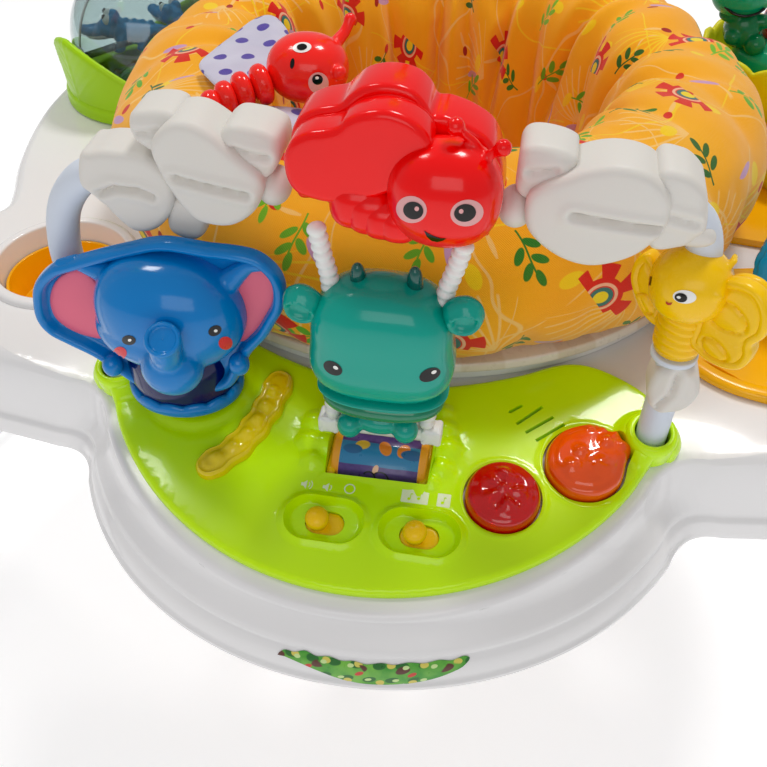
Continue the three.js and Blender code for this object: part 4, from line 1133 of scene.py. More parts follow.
ex = ex[sdf(ex, PANEL_UV) > 3.6]
panel = make("sound_panel", (lambda r: (on_panel(r[0]), r[1]))(plate(PANEL_UV, p_holes, 5.5, panel_top, lambda P, d: np.full(len(P), -7.5), rings=(0.2, 0.8, 1.7, 3.0), extra=ex)), M_LIME)
autosmooth(panel, 50)
wn = panel.modifiers.new("weighted", "WEIGHTED_NORMAL")
wn.keep_sharp = True
bake(panel)
stand(panel, "panel_housing")
for s in (-1, 1):
    v, f = lathe(round_profile([[7.6, -4], [11.0, -4], [11.2, 6.2], [9.8, 8.6], [7.6, 8.6], [7.3, 4]], 1.1), 48)
    c = make("post_socket_left" if s < 0 else "post_socket_right", (on_panel(v + A(s * 120, 0, 0)), f), M_LIME)
    put(c, "tray", "lime_gloss")
# printed symbols: plain sound waves, a ring and two note tiles
def flat_print(name, outline, holes=(), lift=0.12):
    V, F = plate(ccw(outline), [ccw(h) for h in holes], 1.2, lambda P, d: np.full(len(P), lift))
    o = make(name, (on_panel(V), F), M_ICON)
    put(o, "tray", "lime_gloss")
    return o
def arc_band(cx, cy, r, w, a0, a1, n=14):
    a = np.linspace(a0, a1, n) * D2R
    return np.vstack([np.c_[cx + (r + w) * np.cos(a), cy + (r + w) * np.sin(a)], np.c_[cx + r * np.cos(a[::-1]), cy + r * np.sin(a[::-1])]])
for k, (cx, waves) in enumerate(((-22.8, 2), (-13.4, 1))):
    flat_print(f"icon_speaker_{k}", [(cx - 1.6, -44), (cx - 0.6, -44), (cx + 0.8, -45.3), (cx + 0.8, -41.2), (cx - 0.6, -42.5), (cx - 1.6, -42.5)])
    for w in range(waves):
        flat_print(f"icon_wave_{k}_{w}", arc_band(cx + 0.6, -43.25, 1.3 + 1.1 * w, 0.4, -48, 48))
flat_print("icon_ring", circle(-3.5, -42.6, 2.4, 30), [circle(-3.5, -42.6, 1.9, 28)])
def note(cx, cy, s):
    return [circle(cx - 0.5 * s, cy - 1.3 * s, 0.72 * s, 14), roundrect(cx + 0.1 * s, cy + 0.1 * s, 0.34 * s, 2.6 * s, 0.1, 1), roundrect(cx + 0.65 * s, cy + 1.25 * s, 0.9 * s, 0.5 * s, 0.1, 1)]
def tile(name, cx, cy, w, h, notes):
    flat_print(name, roundrect(cx, cy, w, h, 0.4, 2))
    for i, (x, y, s) in enumerate(notes):
        for j, o in enumerate(note(x, y, s)):
            V, F = plate(ccw(o), [], 1.2, lambda P, d: np.full(len(P), 0.2))
            q = make(f"{name}_note_{i}_{j}", (on_panel(V), F), M_LIME)
            put(q, "tray", "lime_gloss")
tile("icon_tile_two", 24.3, -41.9, 11.4, 6.4, [(22.4, -42.1, 0.95), (26.4, -41.5, 0.95)])
tile("icon_tile_one", 36.5, -41.9, 5.6, 6.2, [(36.5, -41.9, 0.95)])

# red button: low dome with a few raised bubbles and inner facets
def dome(name, outline, c, top_w, base_w, mat, extra_h, body, slot, node, edge=4.5, step=1.0, rings=(0.25, 0.9, 1.8, 3.0, 4.2)):
    o = ccw(outline)
    V, F = plate(o, [], step, lambda P, d: base_w + (top_w - base_w) * (1 - np.clip(1 - d / edge, 0, 1) ** 2.2) ** (1 / 2.2) * 0.62 + (top_w - base_w) * 0.38 * np.sqrt(np.clip(d / 15.0, 0, 1)) + extra_h(P, d), lambda P, d: np.full(len(P), -6.5), rings=rings)
    V[:, :2] += c
    ob = make(name, (on_panel(V), F), mat)
    autosmooth(ob, 60)
    put(ob, body, slot, node)
    return ob
def blob(P, x, y, r, h):
    return h * np.exp(-(((P[:, 0] - x) ** 2 + (P[:, 1] - y) ** 2) / (r * r)) ** 1.6)
red = dome("red_button_cap", circle(0, 0, 15.8, 84), RED_C, 8.4, -0.2, M_REDC,
           lambda P, d: blob(P, -1, 7.6, 2.8, 2.0) + blob(P, 2.6, -7.4, 3.0, 1.9) + blob(P, -0.6, 0.2, 1.6, 2.0) + 1.1 * np.cos(np.arctan2(P[:, 1], P[:, 0]) * 5) * np.exp(-((np.hypot(P[:, 0], P[:, 1]) - 6) / 2.5) ** 2) - 0.9 * np.exp(-((d - 3.6) / 0.8) ** 2), "red_key", "red_clear", "red_button")
orange = dome("orange_button_cap", smooth_closed(ORANGE_PTS, 110), ORANGE_C, 8.6, -0.2, M_ORC,
              lambda P, d: blob(P, 6, 8, 2.8, 2.0) + blob(P, -5, 1.5, 2.4, 2.0) + blob(P, -8, -6, 2.8, 1.8) + blob(P, 5, -4, 4.4, 1.6) - 1.2 * np.exp(-((d - 3.4) / 0.8) ** 2) + sum(blob(P, x, y, 1.9, 1.6) for x, y in ((-1, 14.5), (4.5, 14.2), (9.4, 12.4), (13, 8.4), (13.4, 3))), "orange_key", "orange_clear", "orange_button")
# light bar
BAR = smooth_open([[-45.6, 5.0], [-46.6, -3], [-48.6, -12], [-51.8, -22], [-57, -32], [-65.0, -41.2]], 26)
def bar_outline():
    t = np.gradient(BAR, axis=0)
    t /= np.linalg.norm(t, axis=1)[:, None]
    n = np.c_[-t[:, 1], t[:, 0]]
    w = 6.7 + 0.6 * np.sin(np.linspace(0, 9 * math.pi, len(BAR)))
    a = np.linspace(-80, 80, 9) * D2R
    e = BAR[-1] + 6.5 * (np.outer(np.cos(a), t[-1]) + np.outer(np.sin(a), n[-1]))
    s = BAR[0] - 6.5 * (np.outer(np.cos(a), t[0]) + np.outer(np.sin(a), n[0]))
    return ccw(resample(np.vstack([BAR - n * w[:, None], e, (BAR + n * w[:, None])[::-1], s]), 120, True))
BO = bar_outline()
blobs = [tuple(BAR[i]) for i in (3, 7, 11, 15, 19, 23)]
V, F = plate(BO, [], 1.0, lambda P, d: 0.2 + 4.2 * (1 - np.clip(1 - d / 3.0, 0, 1) ** 2.4) ** (1 / 2.4) + sum(blob(P, x, y, 2.7, 1.5) for x, y in blobs) - 1.0 * np.exp(-((d - 2.9) / 0.6) ** 2), lambda P, d: np.full(len(P), -0.4), rings=(0.2, 0.7, 1.5, 2.6))
bar = make("light_bar_lens", (on_panel(V), F), M_AMBER)
stand(autosmooth(bar, 60), "light_bar")
for i, (x, y) in enumerate(blobs[:5]):
    v, f = ellipsoid((x, y, 1.7), (1.5, 1.5, 1.4), 14)
    b = make(f"light_bar_bulb_{i}", (on_panel(v), f), clear(f"bulb_tint_{i}", (0.98, 0.55, 0.10) if i % 2 else (0.45, 0.62, 0.08), 0.08, trans=0.3))
    put(b, "tray", "amber_clear")

# orange liners under the slots
for k, c in enumerate((SL1, SL2)):
    v, f = plate(stadium(c[0], c[1], 8.2, 5.2, 14), [], 1.4, lambda P, d: -3.2 - fillet(d, 0.3), lambda P, d: np.full(len(P), -4.2), rings=(0.3,))
    put(make(f"slot_liner_{k}", (on_panel(v), f), M_KNOB), "tray", SLOT["panel_housing"])
# slider knobs
for name, node, c, dx in (("volume_knob_cap", "volume_slider", SL1, -2.9), ("mode_knob_cap", "mode_slider", SL2, -1.8)):
    v1, f1 = plate(stadium(c[0] + dx, c[1], 13.3, 6.3, 14), [], 2.0, lambda P, d: -4.5 - fillet(d, 0.5), lambda P, d: np.full(len(P), -6.0), rings=(0.3,))
    v2, f2 = lathe([[0.01, -6], [4.1, -6], [4.0, -1.5], [4.9, 0.2], [5.1, 1.4], [4.7, 3.0], [3.6, 4.3], [2.0, 5.1], [0.01, 5.4]], 40, closed=False)
    s = make(name, join((on_panel(v1), f1), (on_panel(v2 + A(c[0] + dx, c[1], 0)), f2)), M_KNOB)
    stand(autosmooth(s, 45), node)

# picture drum
DR = {"u": 6.5, "v": -22, "w": -11.6, "r": 14.6, "hl": 20.8}
DRC = on_panel(A([DR["u"], DR["v"], DR["w"]]))[0]


def drum_material():
    M = Mat("drum_print", (0.33, 0.24, 0.62), 0.3, coat=0.3)
    x, y, z = M.xyz()
    x, y, z = (x * 1000 - DRC[0]), (y * 1000 - DRC[1]), (z * 1000 - DRC[2])
    ang = E.math("ARCTAN2", z, -y)          # 0 at the front, quarter turn at the top
    arc = ang * DR["r"]
    purple, sky, amber = (0.085, 0.045, 0.23, 1), (0.03, 0.25, 0.50, 1), (1.0, 0.42, 0.02, 1)
    c = M.mix(M.ramp(M.noise(500, 3), (0.35, 0), (0.65, 1)), (0.075, 0.038, 0.21, 1), (0.10, 0.05, 0.26, 1))
    wave = (x * 0.35).sin() * 0.7
    c = M.mix(soft_lt((arc - 16.0 + wave * 0.2).abs(), 5.2, 0.3), c, sky)
    c = M.mix(soft_lt((arc + 22.0 + wave).abs(), 6.0, 0.3), c, (0.02, 0.30, 0.08, 1))
    c = M.mix(soft_lt((arc + 38.0).abs(), 5.0, 0.3), c, (0.75, 0.10, 0.05, 1))
    for cx, ca, rx, ra, col, tilt in ((2, 19.4, 2.6, 3.6, (0.95, 0.28, 0.02, 1), 0.5), (10, 19.2, 2.6, 3.4, (0.95, 0.28, 0.02, 1), -0.4), (-8, 19.8, 3.2, 2.2, (0.85, 0.55, 0.05, 1), 0.2),
                                      (14, 17.6, 5.0, 2.4, (0.02, 0.14, 0.34, 1), 0), (-12, 17.4, 4.2, 2.2, (0.02, 0.14, 0.34, 1), 0),
                                      (-9, 3.0, 4.4, 1.4, (0.90, 0.40, 0.05, 1), 0.2), (9, 2.8, 5.0, 2.4, (0.55, 0.20, 0.04, 1), 0), (9, 2.6, 3.0, 1.4, (0.95, 0.55, 0.20, 1), 0), (-1, 9.4, 1.2, 2.2, (0.95, 0.55, 0.30, 1), -0.3),
                                      (0, -20, 4.5, 3.2, (0.95, 0.60, 0.05, 1), 0.4), (-12, -23, 3, 3, (0.9, 0.1, 0.1, 1), 0), (12, -22, 3.4, 2.6, (0.9, 0.9, 0.85, 1), 0.3)):
        px, pa = (x - cx) * math.cos(tilt) + (arc - ca) * math.sin(tilt), (arc - ca) * math.cos(tilt) - (x - cx) * math.sin(tilt)
        c = M.mix(soft_lt(hyp(px / rx, pa / ra), 1.0, 0.12), c, col)
    for cx, ca, r in ((-3.6, 5.6, 2.6), (1.4, 5.0, 3.6)):
        q = hyp(x - cx, arc - ca)
        c = M.mix(soft_lt((q - r).abs(), 0.34, 0.12) * (x - cx + arc - ca).gt(-1.0), c, (0.01, 0.008, 0.02, 1))
    c = M.mix(x.abs().gt(17.2), c, amber)
    M.color(c)
    M.rough(M.ramp(M.noise(300, 4), (0.3, 0.26), (0.7, 0.4)))
    M.bump(M.noise(900, 2), 0.05, 0.0004)
    return M.m


a = np.linspace(0, 2 * math.pi, 96, endpoint=False)
prof = [[0.01, -DR["hl"]], [DR["r"] - 0.8, -DR["hl"]], [DR["r"], -DR["hl"] + 0.8], [DR["r"], DR["hl"] - 0.8], [DR["r"] - 0.8, DR["hl"]], [0.01, DR["hl"]]]
drum = make("picture_drum_roll", join(lathe(prof, 96, DRC, (1, 0, 0), closed=False), rod(DRC - A(26.6, 0, 0), DRC + A(26.6, 0, 0), 2.8, 20)), drum_material())
stand(autosmooth(drum, 50), "picture_drum")
for s in (-1, 1):
    v, f = plate(roundrect(WIN[0] + s * 20.2, WIN[1], 3.6, 2 * WIN[3] - 0.4, 0.6, 2), [], 2.0, lambda P, d: -1.6 - fillet(d, 0.5), lambda P, d: np.full(len(P), -3.0), rings=(0.25,))
    g = make("drum_guide_left" if s < 0 else "drum_guide_right", (on_panel(v), f), M_KNOB)
    put(autosmooth(g, 40), "tray", "orange_knob")

# electronics and tub keep their own solids
M_PCB = plastic("solder_resist", (0.08, 0.32, 0.16), 0.3, coat=0.3, var=0.2, peel=0.2)
M_CELL = plastic("cell_sleeve", (0.20, 0.42, 0.33), 0.25, metallic=0.6, coat=0.3, var=0.15, peel=0.05)
M_SPK = plastic("speaker_black", (0.08, 0.08, 0.085), 0.5, coat=0.0, var=0.2, peel=0.3)
for n, m in (("tray_bottom", M_UNDER), ("panel_base", M_UNDER), ("battery_door", M_UNDER), ("batteries", M_CELL), ("circuit_board", M_PCB), ("speaker", M_SPK)):
    o = frame["nodes"][n]
    o.data.materials.clear()
    o.data.materials.append(m)
    b = o.modifiers.new("edge", "BEVEL")
    b.width, b.segments, b.limit_method, b.angle_limit = 0.0004, 2, "ANGLE", 40 * D2R

# cup insert
ins = make("cup_insert_bowl", lathe(round_profile([[0.5, -28.6], [30.4, -28.6], [31.8, -8], [30.2, -8], [28.8, -26.4], [0.5, -26.4]], 0.8), 96, (*CUP, TRAY_Z)), M_YEL)
stand(ins, "cup_insert")

# ---------------------------------------------------------------- toy arch
def leaf(outline, y0, y1, grooves=(), r=3.0, n=None, step=1.2, dome=1.0, back=True):
    """Thick leaf with rounded rims standing in the arch's plane: y0 is its front, y1 its back, in mm from the post plane."""
    o = ccw(smooth_closed(outline, n or max(60, int(len(outline) * 9))))
    def front(P, d):
        w = -y0 - fillet(d, r) + dome * (1 - np.exp(-d / 9))
        for line, hw, dep in grooves:
            q = linedist(P, np.array(line, float))
            w = w - 1.2 * dep * np.exp(-(q / (hw * 0.6)) ** 2) + 0.8 * np.exp(-((q - 3.0) / 1.8) ** 2)
        return w
    def rear(P, d):
        return -y1 + fillet(d, r * 0.8) - 0.4 * (1 - np.exp(-d / 9))
    v, f = plate(o, [], step, front, rear, rings=tuple(r * x for x in (0.04, 0.15, 0.32, 0.55, 0.8)))
    return upright_map(PANEL_Y)(v), f


L_OUTER = [[-108.2, 119.1], [-102.7, 121.3], [-96, 122.4], [-84, 121.6], [-76.4, 116.3], [-73.7, 108.6], [-76.4, 98.4], [-83.5, 89.9], [-91.7, 87.5], [-97.7, 91.4], [-105.4, 101.7], [-111, 106.7]]
L_SMALL = [[-85.9, 136.2], [-78.8, 138.7], [-71.6, 138.6], [-68.5, 135.5], [-71, 128], [-79, 122], [-86, 128]]
L_BIG = [[-77.9, 127.3], [-70.5, 136.8], [-62, 138.4], [-54, 134.3], [-47.9, 128.3], [-40.9, 122.8], [-38.1, 118.7], [-38.3, 112.5], [-42.9, 104], [-51.6, 97.8], [-61.7, 97.5], [-67.8, 101.2], [-74, 112.4]]
L_UPPER = [[-54, 130], [-49.5, 136.2], [-42.3, 136.5], [-36.1, 135.2], [-32, 132], [-32.4, 124], [-38, 117], [-47, 122]]
L_TAIL = [[-76, 103], [-63.1, 100], [-65.7, 88], [-72.3, 84.2], [-80.1, 89]]
R_BIG = [[54.9, 121.2], [58.7, 126.3], [64.8, 130], [74.5, 134.7], [83.7, 136.4], [93.3, 134.5], [100.6, 128.2], [102.5, 121.1], [101.4, 112.7], [95.7, 104.1], [87.8, 98.8], [78.8, 96.4], [69, 98.6], [59.9, 104.7], [55.3, 111.7]]
R_OUTER = [[96, 132], [104.4, 134.2], [111.5, 129.4], [114.1, 123.6], [115.7, 114.4], [113.9, 110.9], [109, 105.9], [98, 106]]
R_SMALL = [[50.5, 130], [51, 135.6], [54, 138.4], [60, 138.6], [67.1, 136.9], [70.1, 133.5], [66, 124], [57, 118], [51, 121]]
R_KNOB = [[106, 112], [114, 113.2], [119, 112], [120.5, 107.8], [116, 105], [108, 106]]
R_OVAL = [[112, 36], [114, 46], [121, 50], [129, 46], [132, 36], [128, 27], [120, 24], [114, 28]]


def post(pts, r=6.5, n=70):
    p = smooth_open([(x, PANEL_Y + y, TRAY_Z + z) for x, y, z in pts], n)
    return p, r


lp, _ = post([[-120, 0, -6], [-120.6, 0, 10], [-124, 0, 32], [-128.6, 0, 54], [-129.4, 0, 72], [-124, 0, 92], [-112, 0, 106], [-98, 0, 108]])
left_leaves = [
    leaf(L_OUTER, -8.8, 11, [([(-103, 104.5), (-96, 107.8), (-87, 107.5), (-82, 105.5)], 1.7, 2.2)]),
    leaf(L_SMALL, -7, 12, [([(-84, 130), (-76, 131.5)], 1.4, 1.0)]),
    leaf(L_BIG, -13, 9, [([(-70, 117), (-60, 115.2), (-50, 113.6), (-44, 112.6)], 1.8, 2.4)]),
    leaf(L_UPPER, -9, 11, [([(-48, 128.4), (-42, 127.0), (-36, 126.4)], 1.5, 1.4)]),
    leaf(L_TAIL, -6, 5, []),
    ellipsoid((-36.8, PANEL_Y - 1, TRAY_Z + 110.5), (6.4, 8.5, 7.2), 32),
]
al = make("arch_left_leaves", join(*left_leaves), M_LEAFW)
stand(autosmooth(al, 60), "arch_left")
alp = make("arch_left_post", tube(lp, 6.5, 32), M_POSTW)
put(alp, "tray", "leaf_white")
rp, _ = post([[120, 0, -6], [120, 0, 20], [120, 0, 40], [119.4, 0, 60], [119.4, 0, 84], [119, 0, 100], [114, 0, 112], [104, 0, 118]])
right_leaves = [
    leaf(R_BIG, -13, 9, [([(71, 117.6), (82, 116.4), (92, 115.6), (100, 115)], 1.9, 2.4)]),
    leaf(R_OUTER, -10, 11, [([(103, 119), (112, 117)], 1.6, 1.0)]),
    leaf(R_SMALL, -8, 11, [([(55, 129.5), (63, 131)], 1.5, 1.2)]),
    leaf(R_KNOB, -8, 8, [], r=3.0),
    leaf(R_OVAL, -7.5, 7.5, [([(121.5, 47), (121, 37), (117, 28)], 1.3, 1.6)]),
    ellipsoid((51.5, PANEL_Y - 1, TRAY_Z + 111.5), (6.6, 8.5, 7.4), 32),
]
ar = make("arch_right_leaves", join(*right_leaves), M_LEAFW)
stand(autosmooth(ar, 60), "arch_right")
arp = make("arch_right_post", tube(rp, 6.5, 32), M_POSTW)
put(arp, "tray", "leaf_white")

# ---------------------------------------------------------------- moth
def sight(sx, sy, dist=150):
    """A point on the line of sight through a place in the view, and that line's direction: for laying prints."""
    d = A(-0.12617, 0.70820, -0.69466) + A(0.98450, 0.17540, 0) * (sx - 383.5) / 900 - A(-0.12183, 0.68390, 0.71934) * (sy - 383.5) / 900
    return A(53.16, -456.25, 687.72) + d * dist, d


def oval(rx, ry, tilt=0, n=40, cx=0, cy=0):
    a = np.linspace(0, 2 * math.pi, n, endpoint=False)
    x, y = rx * np.cos(a), ry * np.sin(a)
    c, q = math.cos(tilt * D2R), math.sin(tilt * D2R)
    return np.c_[cx + x * c - y * q, cy + x * q + y * c]


def spot(name, target, sx, sy, outline, mat, body, slot, lift=0.18, step=0.6, dome=0.0):
    at, to = sight(sx, sy)
    return decal(name, target, at, to, outline, mat, body, slot, lift=lift, step=step, dome=dome)


def superball(c, r, e=2.6, n=56, shape=None):
    """Ellipsoid with squarer sides; shape may bend it point by point in its own -1..1 space."""
    v, f = ellipsoid((0, 0, 0), 1, n)
    k = (np.abs(v) ** e).sum(1) ** (-1 / e)
    v = v * k[:, None]
    if shape:
        v = shape(v)
    return v * np.array(r, float) + np.array(c, float), f


M_WING = [[-26.5, 130], [-26.2, 137.5], [-22.9, 143.5], [-17.0, 147.0], [-9.6, 149.0], [-6.4, 152.0], [-2.4, 155.4], [3.4, 157.3], [9.9, 157.4], [15.4, 155.6], [19.2, 152.0], [21.6, 148.2], [26, 148.0], [33.6, 145.5], [40.6, 141.0], [44.3, 134], [46.6, 122], [45.5, 112], [37.0, 107.2], [25.6, 105.6], [14, 107.4], [2.5, 103.2], [-9.3, 106.2], [-16.7, 112.4], [-25.6, 113.2]]
WING_F = [[-25.7, 134.4], [-24.8, 138.1], [-22.0, 142.6], [-16.9, 145.6], [-10.9, 147.0], [-6.9, 148.6], [-4.3, 151.2], [-0.6, 153.4], [4.7, 155.0], [9.9, 155.2], [15.1, 153.7], [19.3, 151.2], [21.9, 148.5], [23.4, 145.2], [22.7, 141.0], [19.7, 136.6], [15.5, 131.3], [11.1, 127.1], [5.5, 124.0], [-1.2, 121.6], [-9.3, 120.2], [-15.5, 120.6], [-21.7, 122.6], [-25.0, 127.4]]
moth_back = make("moth_back_shell", leaf(M_WING, -11.5, 7.0, r=2.2, n=230, dome=0.2), M_RED)
stand(autosmooth(moth_back, 60), "moth")
wing = make("moth_wing", leaf(WING_F, -25.2, -12.1, r=2.6, n=220, dome=0.3), M_RED)
put(autosmooth(wing, 60), "tray", "moth_red")
wing2 = make("moth_wing_rim", leaf(offset(ccw(smooth_closed(WING_F, 180)), -0.55), -12.0, -11.2, r=0.3, n=180, dome=0), M_RED)
put(autosmooth(wing2, 60), "tray", "moth_red")
segs = []
for k, (x, z, r, y) in enumerate(((-4.4, 118.6, 10.6, -27.2), (0.6, 117.0, 9.8, -28.4), (5.4, 115.6, 8.8, -29.6), (10.6, 115.0, 8.0, -30.6))):
    segs.append(superball((x + 2.4, PANEL_Y + y + 14, TRAY_Z + z), (r, 14, r * 0.98), 2.7, 44))
mb = make("moth_banded_body", join(*segs), M_RED)
put(mb, "tray", "moth_red")
yh = PANEL_Y - 23.5
mh = fuse("moth_head", [superball((28.0, yh + 2, TRAY_Z + 127.0), (19.2, 15.6, 18.4), 2.3, 64), ellipsoid((30.2, yh + 2.5, TRAY_Z + 150.6), 3.1, 24), ellipsoid((45.6, yh + 0.5, TRAY_Z + 145.8), 2.9, 24),
                        tube([(40, yh + 3, TRAY_Z + 141), (36, yh + 2.6, TRAY_Z + 146.0), (30.6, yh + 2.4, TRAY_Z + 150)], 1.5, 12), tube([(38, yh + 2, TRAY_Z + 139), (42, yh + 1, TRAY_Z + 143), (45.4, yh + 0.6, TRAY_Z + 145.6)], 1.8, 12)], M_RED, 0.75, 5)
put(mh, "tray", "moth_red")
spot("moth_eye_left", mh, 411.5, 209.5, oval(4.9, 4.2, -8), M_EYEP, "tray", "moth_red", 0.15)
spot("moth_pupil_left", mh, 413.6, 210.2, oval(3.2, 2.7, -12), M_BLACK, "tray", "moth_red", 0.32)
spot("moth_glint_left", mh, 417.3, 208.2, circle(0, 0, 0.72, 16), M_EYEP, "tray", "moth_red", 0.45, 0.4)
spot("moth_eye_right", mh, 466.9, 213.0, oval(5.2, 4.1, 12), M_EYEP, "tray", "moth_red", 0.15)
spot("moth_pupil_right", mh, 464.9, 212.6, oval(3.4, 2.7, 12), M_BLACK, "tray", "moth_red", 0.32)
spot("moth_glint_right", mh, 461.0, 210.7, circle(0, 0, 0.72, 16), M_EYEP, "tray", "moth_red", 0.45, 0.4)
spot("moth_smile", mh, 435.0, 236.0, [(-3.6, 1.7), (-2.4, 1.0), (-0.4, 0.1), (1.8, -0.5), (3.7, -0.55), (2.6, -1.3), (0.8, -1.8), (-1.0, -1.5), (-2.6, -0.2)], M_BLACK, "tray", "moth_red", 0.2, 0.45)

# ---------------------------------------------------------------- swing and hippo
PIV = TRAY_Z + 102
def ridged(path, r, pitch=3.6, h=1.15, n=26):
    p = smooth_open(path, 150)
    s = np.r_[0, np.cumsum(np.linalg.norm(np.diff(p, axis=0), axis=1))]
    rr = r + h * (np.abs(np.sin(s * math.pi / pitch)) ** 0.7 - 0.5)
    return tube(p, rr, n)


ys = -198
swing = make("swing_ropes", join(
    ridged([(-17.2, ys, TRAY_Z + 108), (-15.2, ys, TRAY_Z + 96), (-12.9, ys, TRAY_Z + 82), (-13.0, ys, TRAY_Z + 50), (-14.4, ys - 0.5, TRAY_Z + 14)], 3.05),
    ridged([(36.0, ys, TRAY_Z + 107), (32.8, ys, TRAY_Z + 94), (30.0, ys, TRAY_Z + 82), (28.0, ys, TRAY_Z + 50), (25.4, ys - 0.5, TRAY_Z + 14)], 3.05)), M_ROPE)
stand(swing, "swing_frame")
bars = []
for x0, x1, z0, z1, y0, y1 in ((-19.8, 31.6, 5.6, 12.4, -201.4, -194.6), (-20.4, -11.6, 5.0, 13.6, -202.4, -193.8), (23.6, 32.2, 5.0, 13.6, -202.4, -193.8)):
    v, f = plate(roundrect((x0 + x1) / 2, (z0 + z1) / 2, x1 - x0, z1 - z0, 1.6, 4), [], 2.5, lambda P, d, q=-y0: q - 178 - fillet(d, 1.0), lambda P, d, q=-y1: q - 178 + fillet(d, 1.0), rings=(0.1, 0.3, 0.6))
    bars.append((upright_map(PANEL_Y)(v), f))
sb = make("swing_bar", join(*bars), M_ROPE)
put(autosmooth(sb, 60), "swing", "rope_white")

def muzzle(v):
    z = v[:, 2]
    w = v.copy()
    k = 1 - ramp01(z, -0.75, 0.15)
    w[:, 0] *= 1 + 0.10 * k
    w[:, 1] *= 1 + 0.06 * k
    w[:, 0] *= 1 - 0.05 * ramp01(z, 0.35, 1.0)
    return w


hh = fuse("hippo_head", [superball((7.2, -199.6, TRAY_Z + 61), (27.4, 17.4, 26.5), 2.9, 72, muzzle), ellipsoid((7.2, -198.6, TRAY_Z + 66), (25, 16, 23), 40)], M_TEAL, 0.8, 8)
stand(hh, "hippo")
# translucent lower lip; its green tint is partly painted reflection of the lime panel
lip = fuse("hippo_lower_lip", [superball((7.6, -200.0, TRAY_Z + 31.5), (25.2, 15.0, 6.0), 2.5, 64)], M_HIPC_LIME_REFLECTION, 0.8, 4)
put(lip, "swing", "hippo_teal")
band = make("hippo_lip_band", superball((7.4, -200.0, TRAY_Z + 36.4), (26.6, 15.8, 2.2), 2.5, 72), M_TEAL)
put(band, "swing", "hippo_teal")
bod = fuse("hippo_body", [ellipsoid((6.5, -197.5, TRAY_Z + 21), (14, 8.6, 12), 40), superball((6.2, -202.4, TRAY_Z + 17.5), (9.4, 6.0, 5.2), 2.4, 40), ellipsoid((-5.8, -205.2, TRAY_Z + 15.6), (5.4, 5.4, 6.0), 36), ellipsoid((17.6, -205.2, TRAY_Z + 16.4), (5.4, 5.4, 6.0), 36)], M_TEAL, 0.7, 3)
put(bod, "swing", "hippo_teal")
M_HORN = clear("hippo_horn_clear", (0.0, 0.42, 0.38), 0.08, trans=0.35)
for k, (x, z) in enumerate(((-2.2, 88.5), (18.8, 89.5))):
    h = make(f"hippo_horn_{k}", lathe([[0.01, -5], [3.4, -4.6], [3.1, -3.4], [3.25, -2.6], [2.9, -1.4], [3.0, -0.4], [2.7, 1.6], [2.0, 4.0], [1.1, 5.3], [0.01, 5.9]], 32, (x, -198.6, TRAY_Z + z), (0, -0.12, 1), closed=False), M_HORN)
    put(h, "swing", "hippo_teal")
for k, (x, z, s) in enumerate(((-22.4, 76.6, -1), (37.4, 79.4, 1))):
    o = ccw(smooth_closed([(x + s * q[0], z + q[1]) for q in ((-7.5, 2.2), (-3.5, 6.6), (1.6, 7.8), (6.2, 5.0), (7.8, 0), (6.4, -5.2), (2.2, -8.2), (-3.2, -7.8), (-6.8, -4.4))], 84))
    hole = A(x + s * 0.9, z - 2.0)
    def ef(P, d, hole=hole, s=s):
        w = 30.2 - fillet(d, 5.4) * 1.05
        q = P - hole
        t = 0.5 * s
        a = (q[:, 0] * math.cos(t) + q[:, 1] * math.sin(t)) / 5.3
        b = (-q[:, 0] * math.sin(t) + q[:, 1] * math.cos(t)) / 4.2
        e = np.sqrt(a * a + b * b)
        return w - 3.6 * (1 - ramp01(e, 0.62, 1.06)) + 0.9 * np.exp(-((e - 1.12) / 0.16) ** 2)
    v, f = plate(o, [], 0.8, ef, lambda P, d: 21.4 + fillet(d, 4.0), rings=(0.15, 0.6, 1.4, 2.6, 4.0))
    ear = make(f"hippo_ear_{k}", (upright_map(PANEL_Y)(v), f), M_TEAL)
    put(ear, "swing", "hippo_teal")
hb = tree_of(hh)
spot("hippo_eye_left", hh, 333.0, 368.0, oval(3.8, 2.35, -32), M_BLACK, "swing", "hippo_teal", 0.2)
spot("hippo_glint_left", hh, 336.0, 367.2, oval(1.0, 0.62, -32, 18), M_EYEW, "swing", "hippo_teal", 0.36, 0.4)
spot("hippo_eye_right", hh, 429.8, 374.6, oval(4.1, 2.35, 25), M_BLACK, "swing", "hippo_teal", 0.2)
spot("hippo_glint_right", hh, 433.6, 371.6, oval(1.0, 0.62, 28, 18), M_EYEW, "swing", "hippo_teal", 0.36, 0.4)

# ---------------------------------------------------------------- elephant
EL = A(-82, -177)
CAPE = [[-140.9, 53.9], [-137.4, 63.3], [-129.0, 72.0], [-118.8, 76.9], [-104.0, 83.0], [-92.0, 87.4], [-83.5, 90.4], [-76.2, 91.6], [-67.9, 91.2], [-60.8, 90.6], [-51.6, 90.6], [-42.5, 89.4], [-36.5, 85.3], [-32.9, 79.5], [-32.0, 72.4], [-33.4, 63.9], [-36.9, 56.8], [-41.5, 48.3], [-48.6, 38.8], [-54.2, 27.4], [-60.8, 17.2], [-76.9, 10.6], [-92.9, 10.3], [-103.6, 12.4], [-109.4, 16.8], [-114.5, 21.5], [-120.9, 26.6], [-130.6, 31.8], [-138.2, 36.5], [-141.8, 43.9]]
co = ccw(smooth_closed(CAPE, 260))
def cape_front(P, d):
    roll = np.where(d < 5.0, 3.6 * np.sqrt(np.clip(1 - ((d - 2.5) / 2.5) ** 2, 0, 1)), 0)
    return 15.2 + roll - 2.0 * ramp01(d, 4.0, 6.4) - 1.3 * fillet(d, 0.8)
v, f = plate(co, [], 1.35, cape_front, lambda P, d: 12.2 + fillet(d, 1.4), rings=(0.12, 0.4, 0.8, 1.3, 1.9, 2.5, 3.2, 3.9, 4.5, 5.0, 5.6, 6.6))
cape = make("elephant_cape_ears", (upright_map(PANEL_Y)(v), f), M_BLUE)
stand(autosmooth(cape, 60), "elephant")
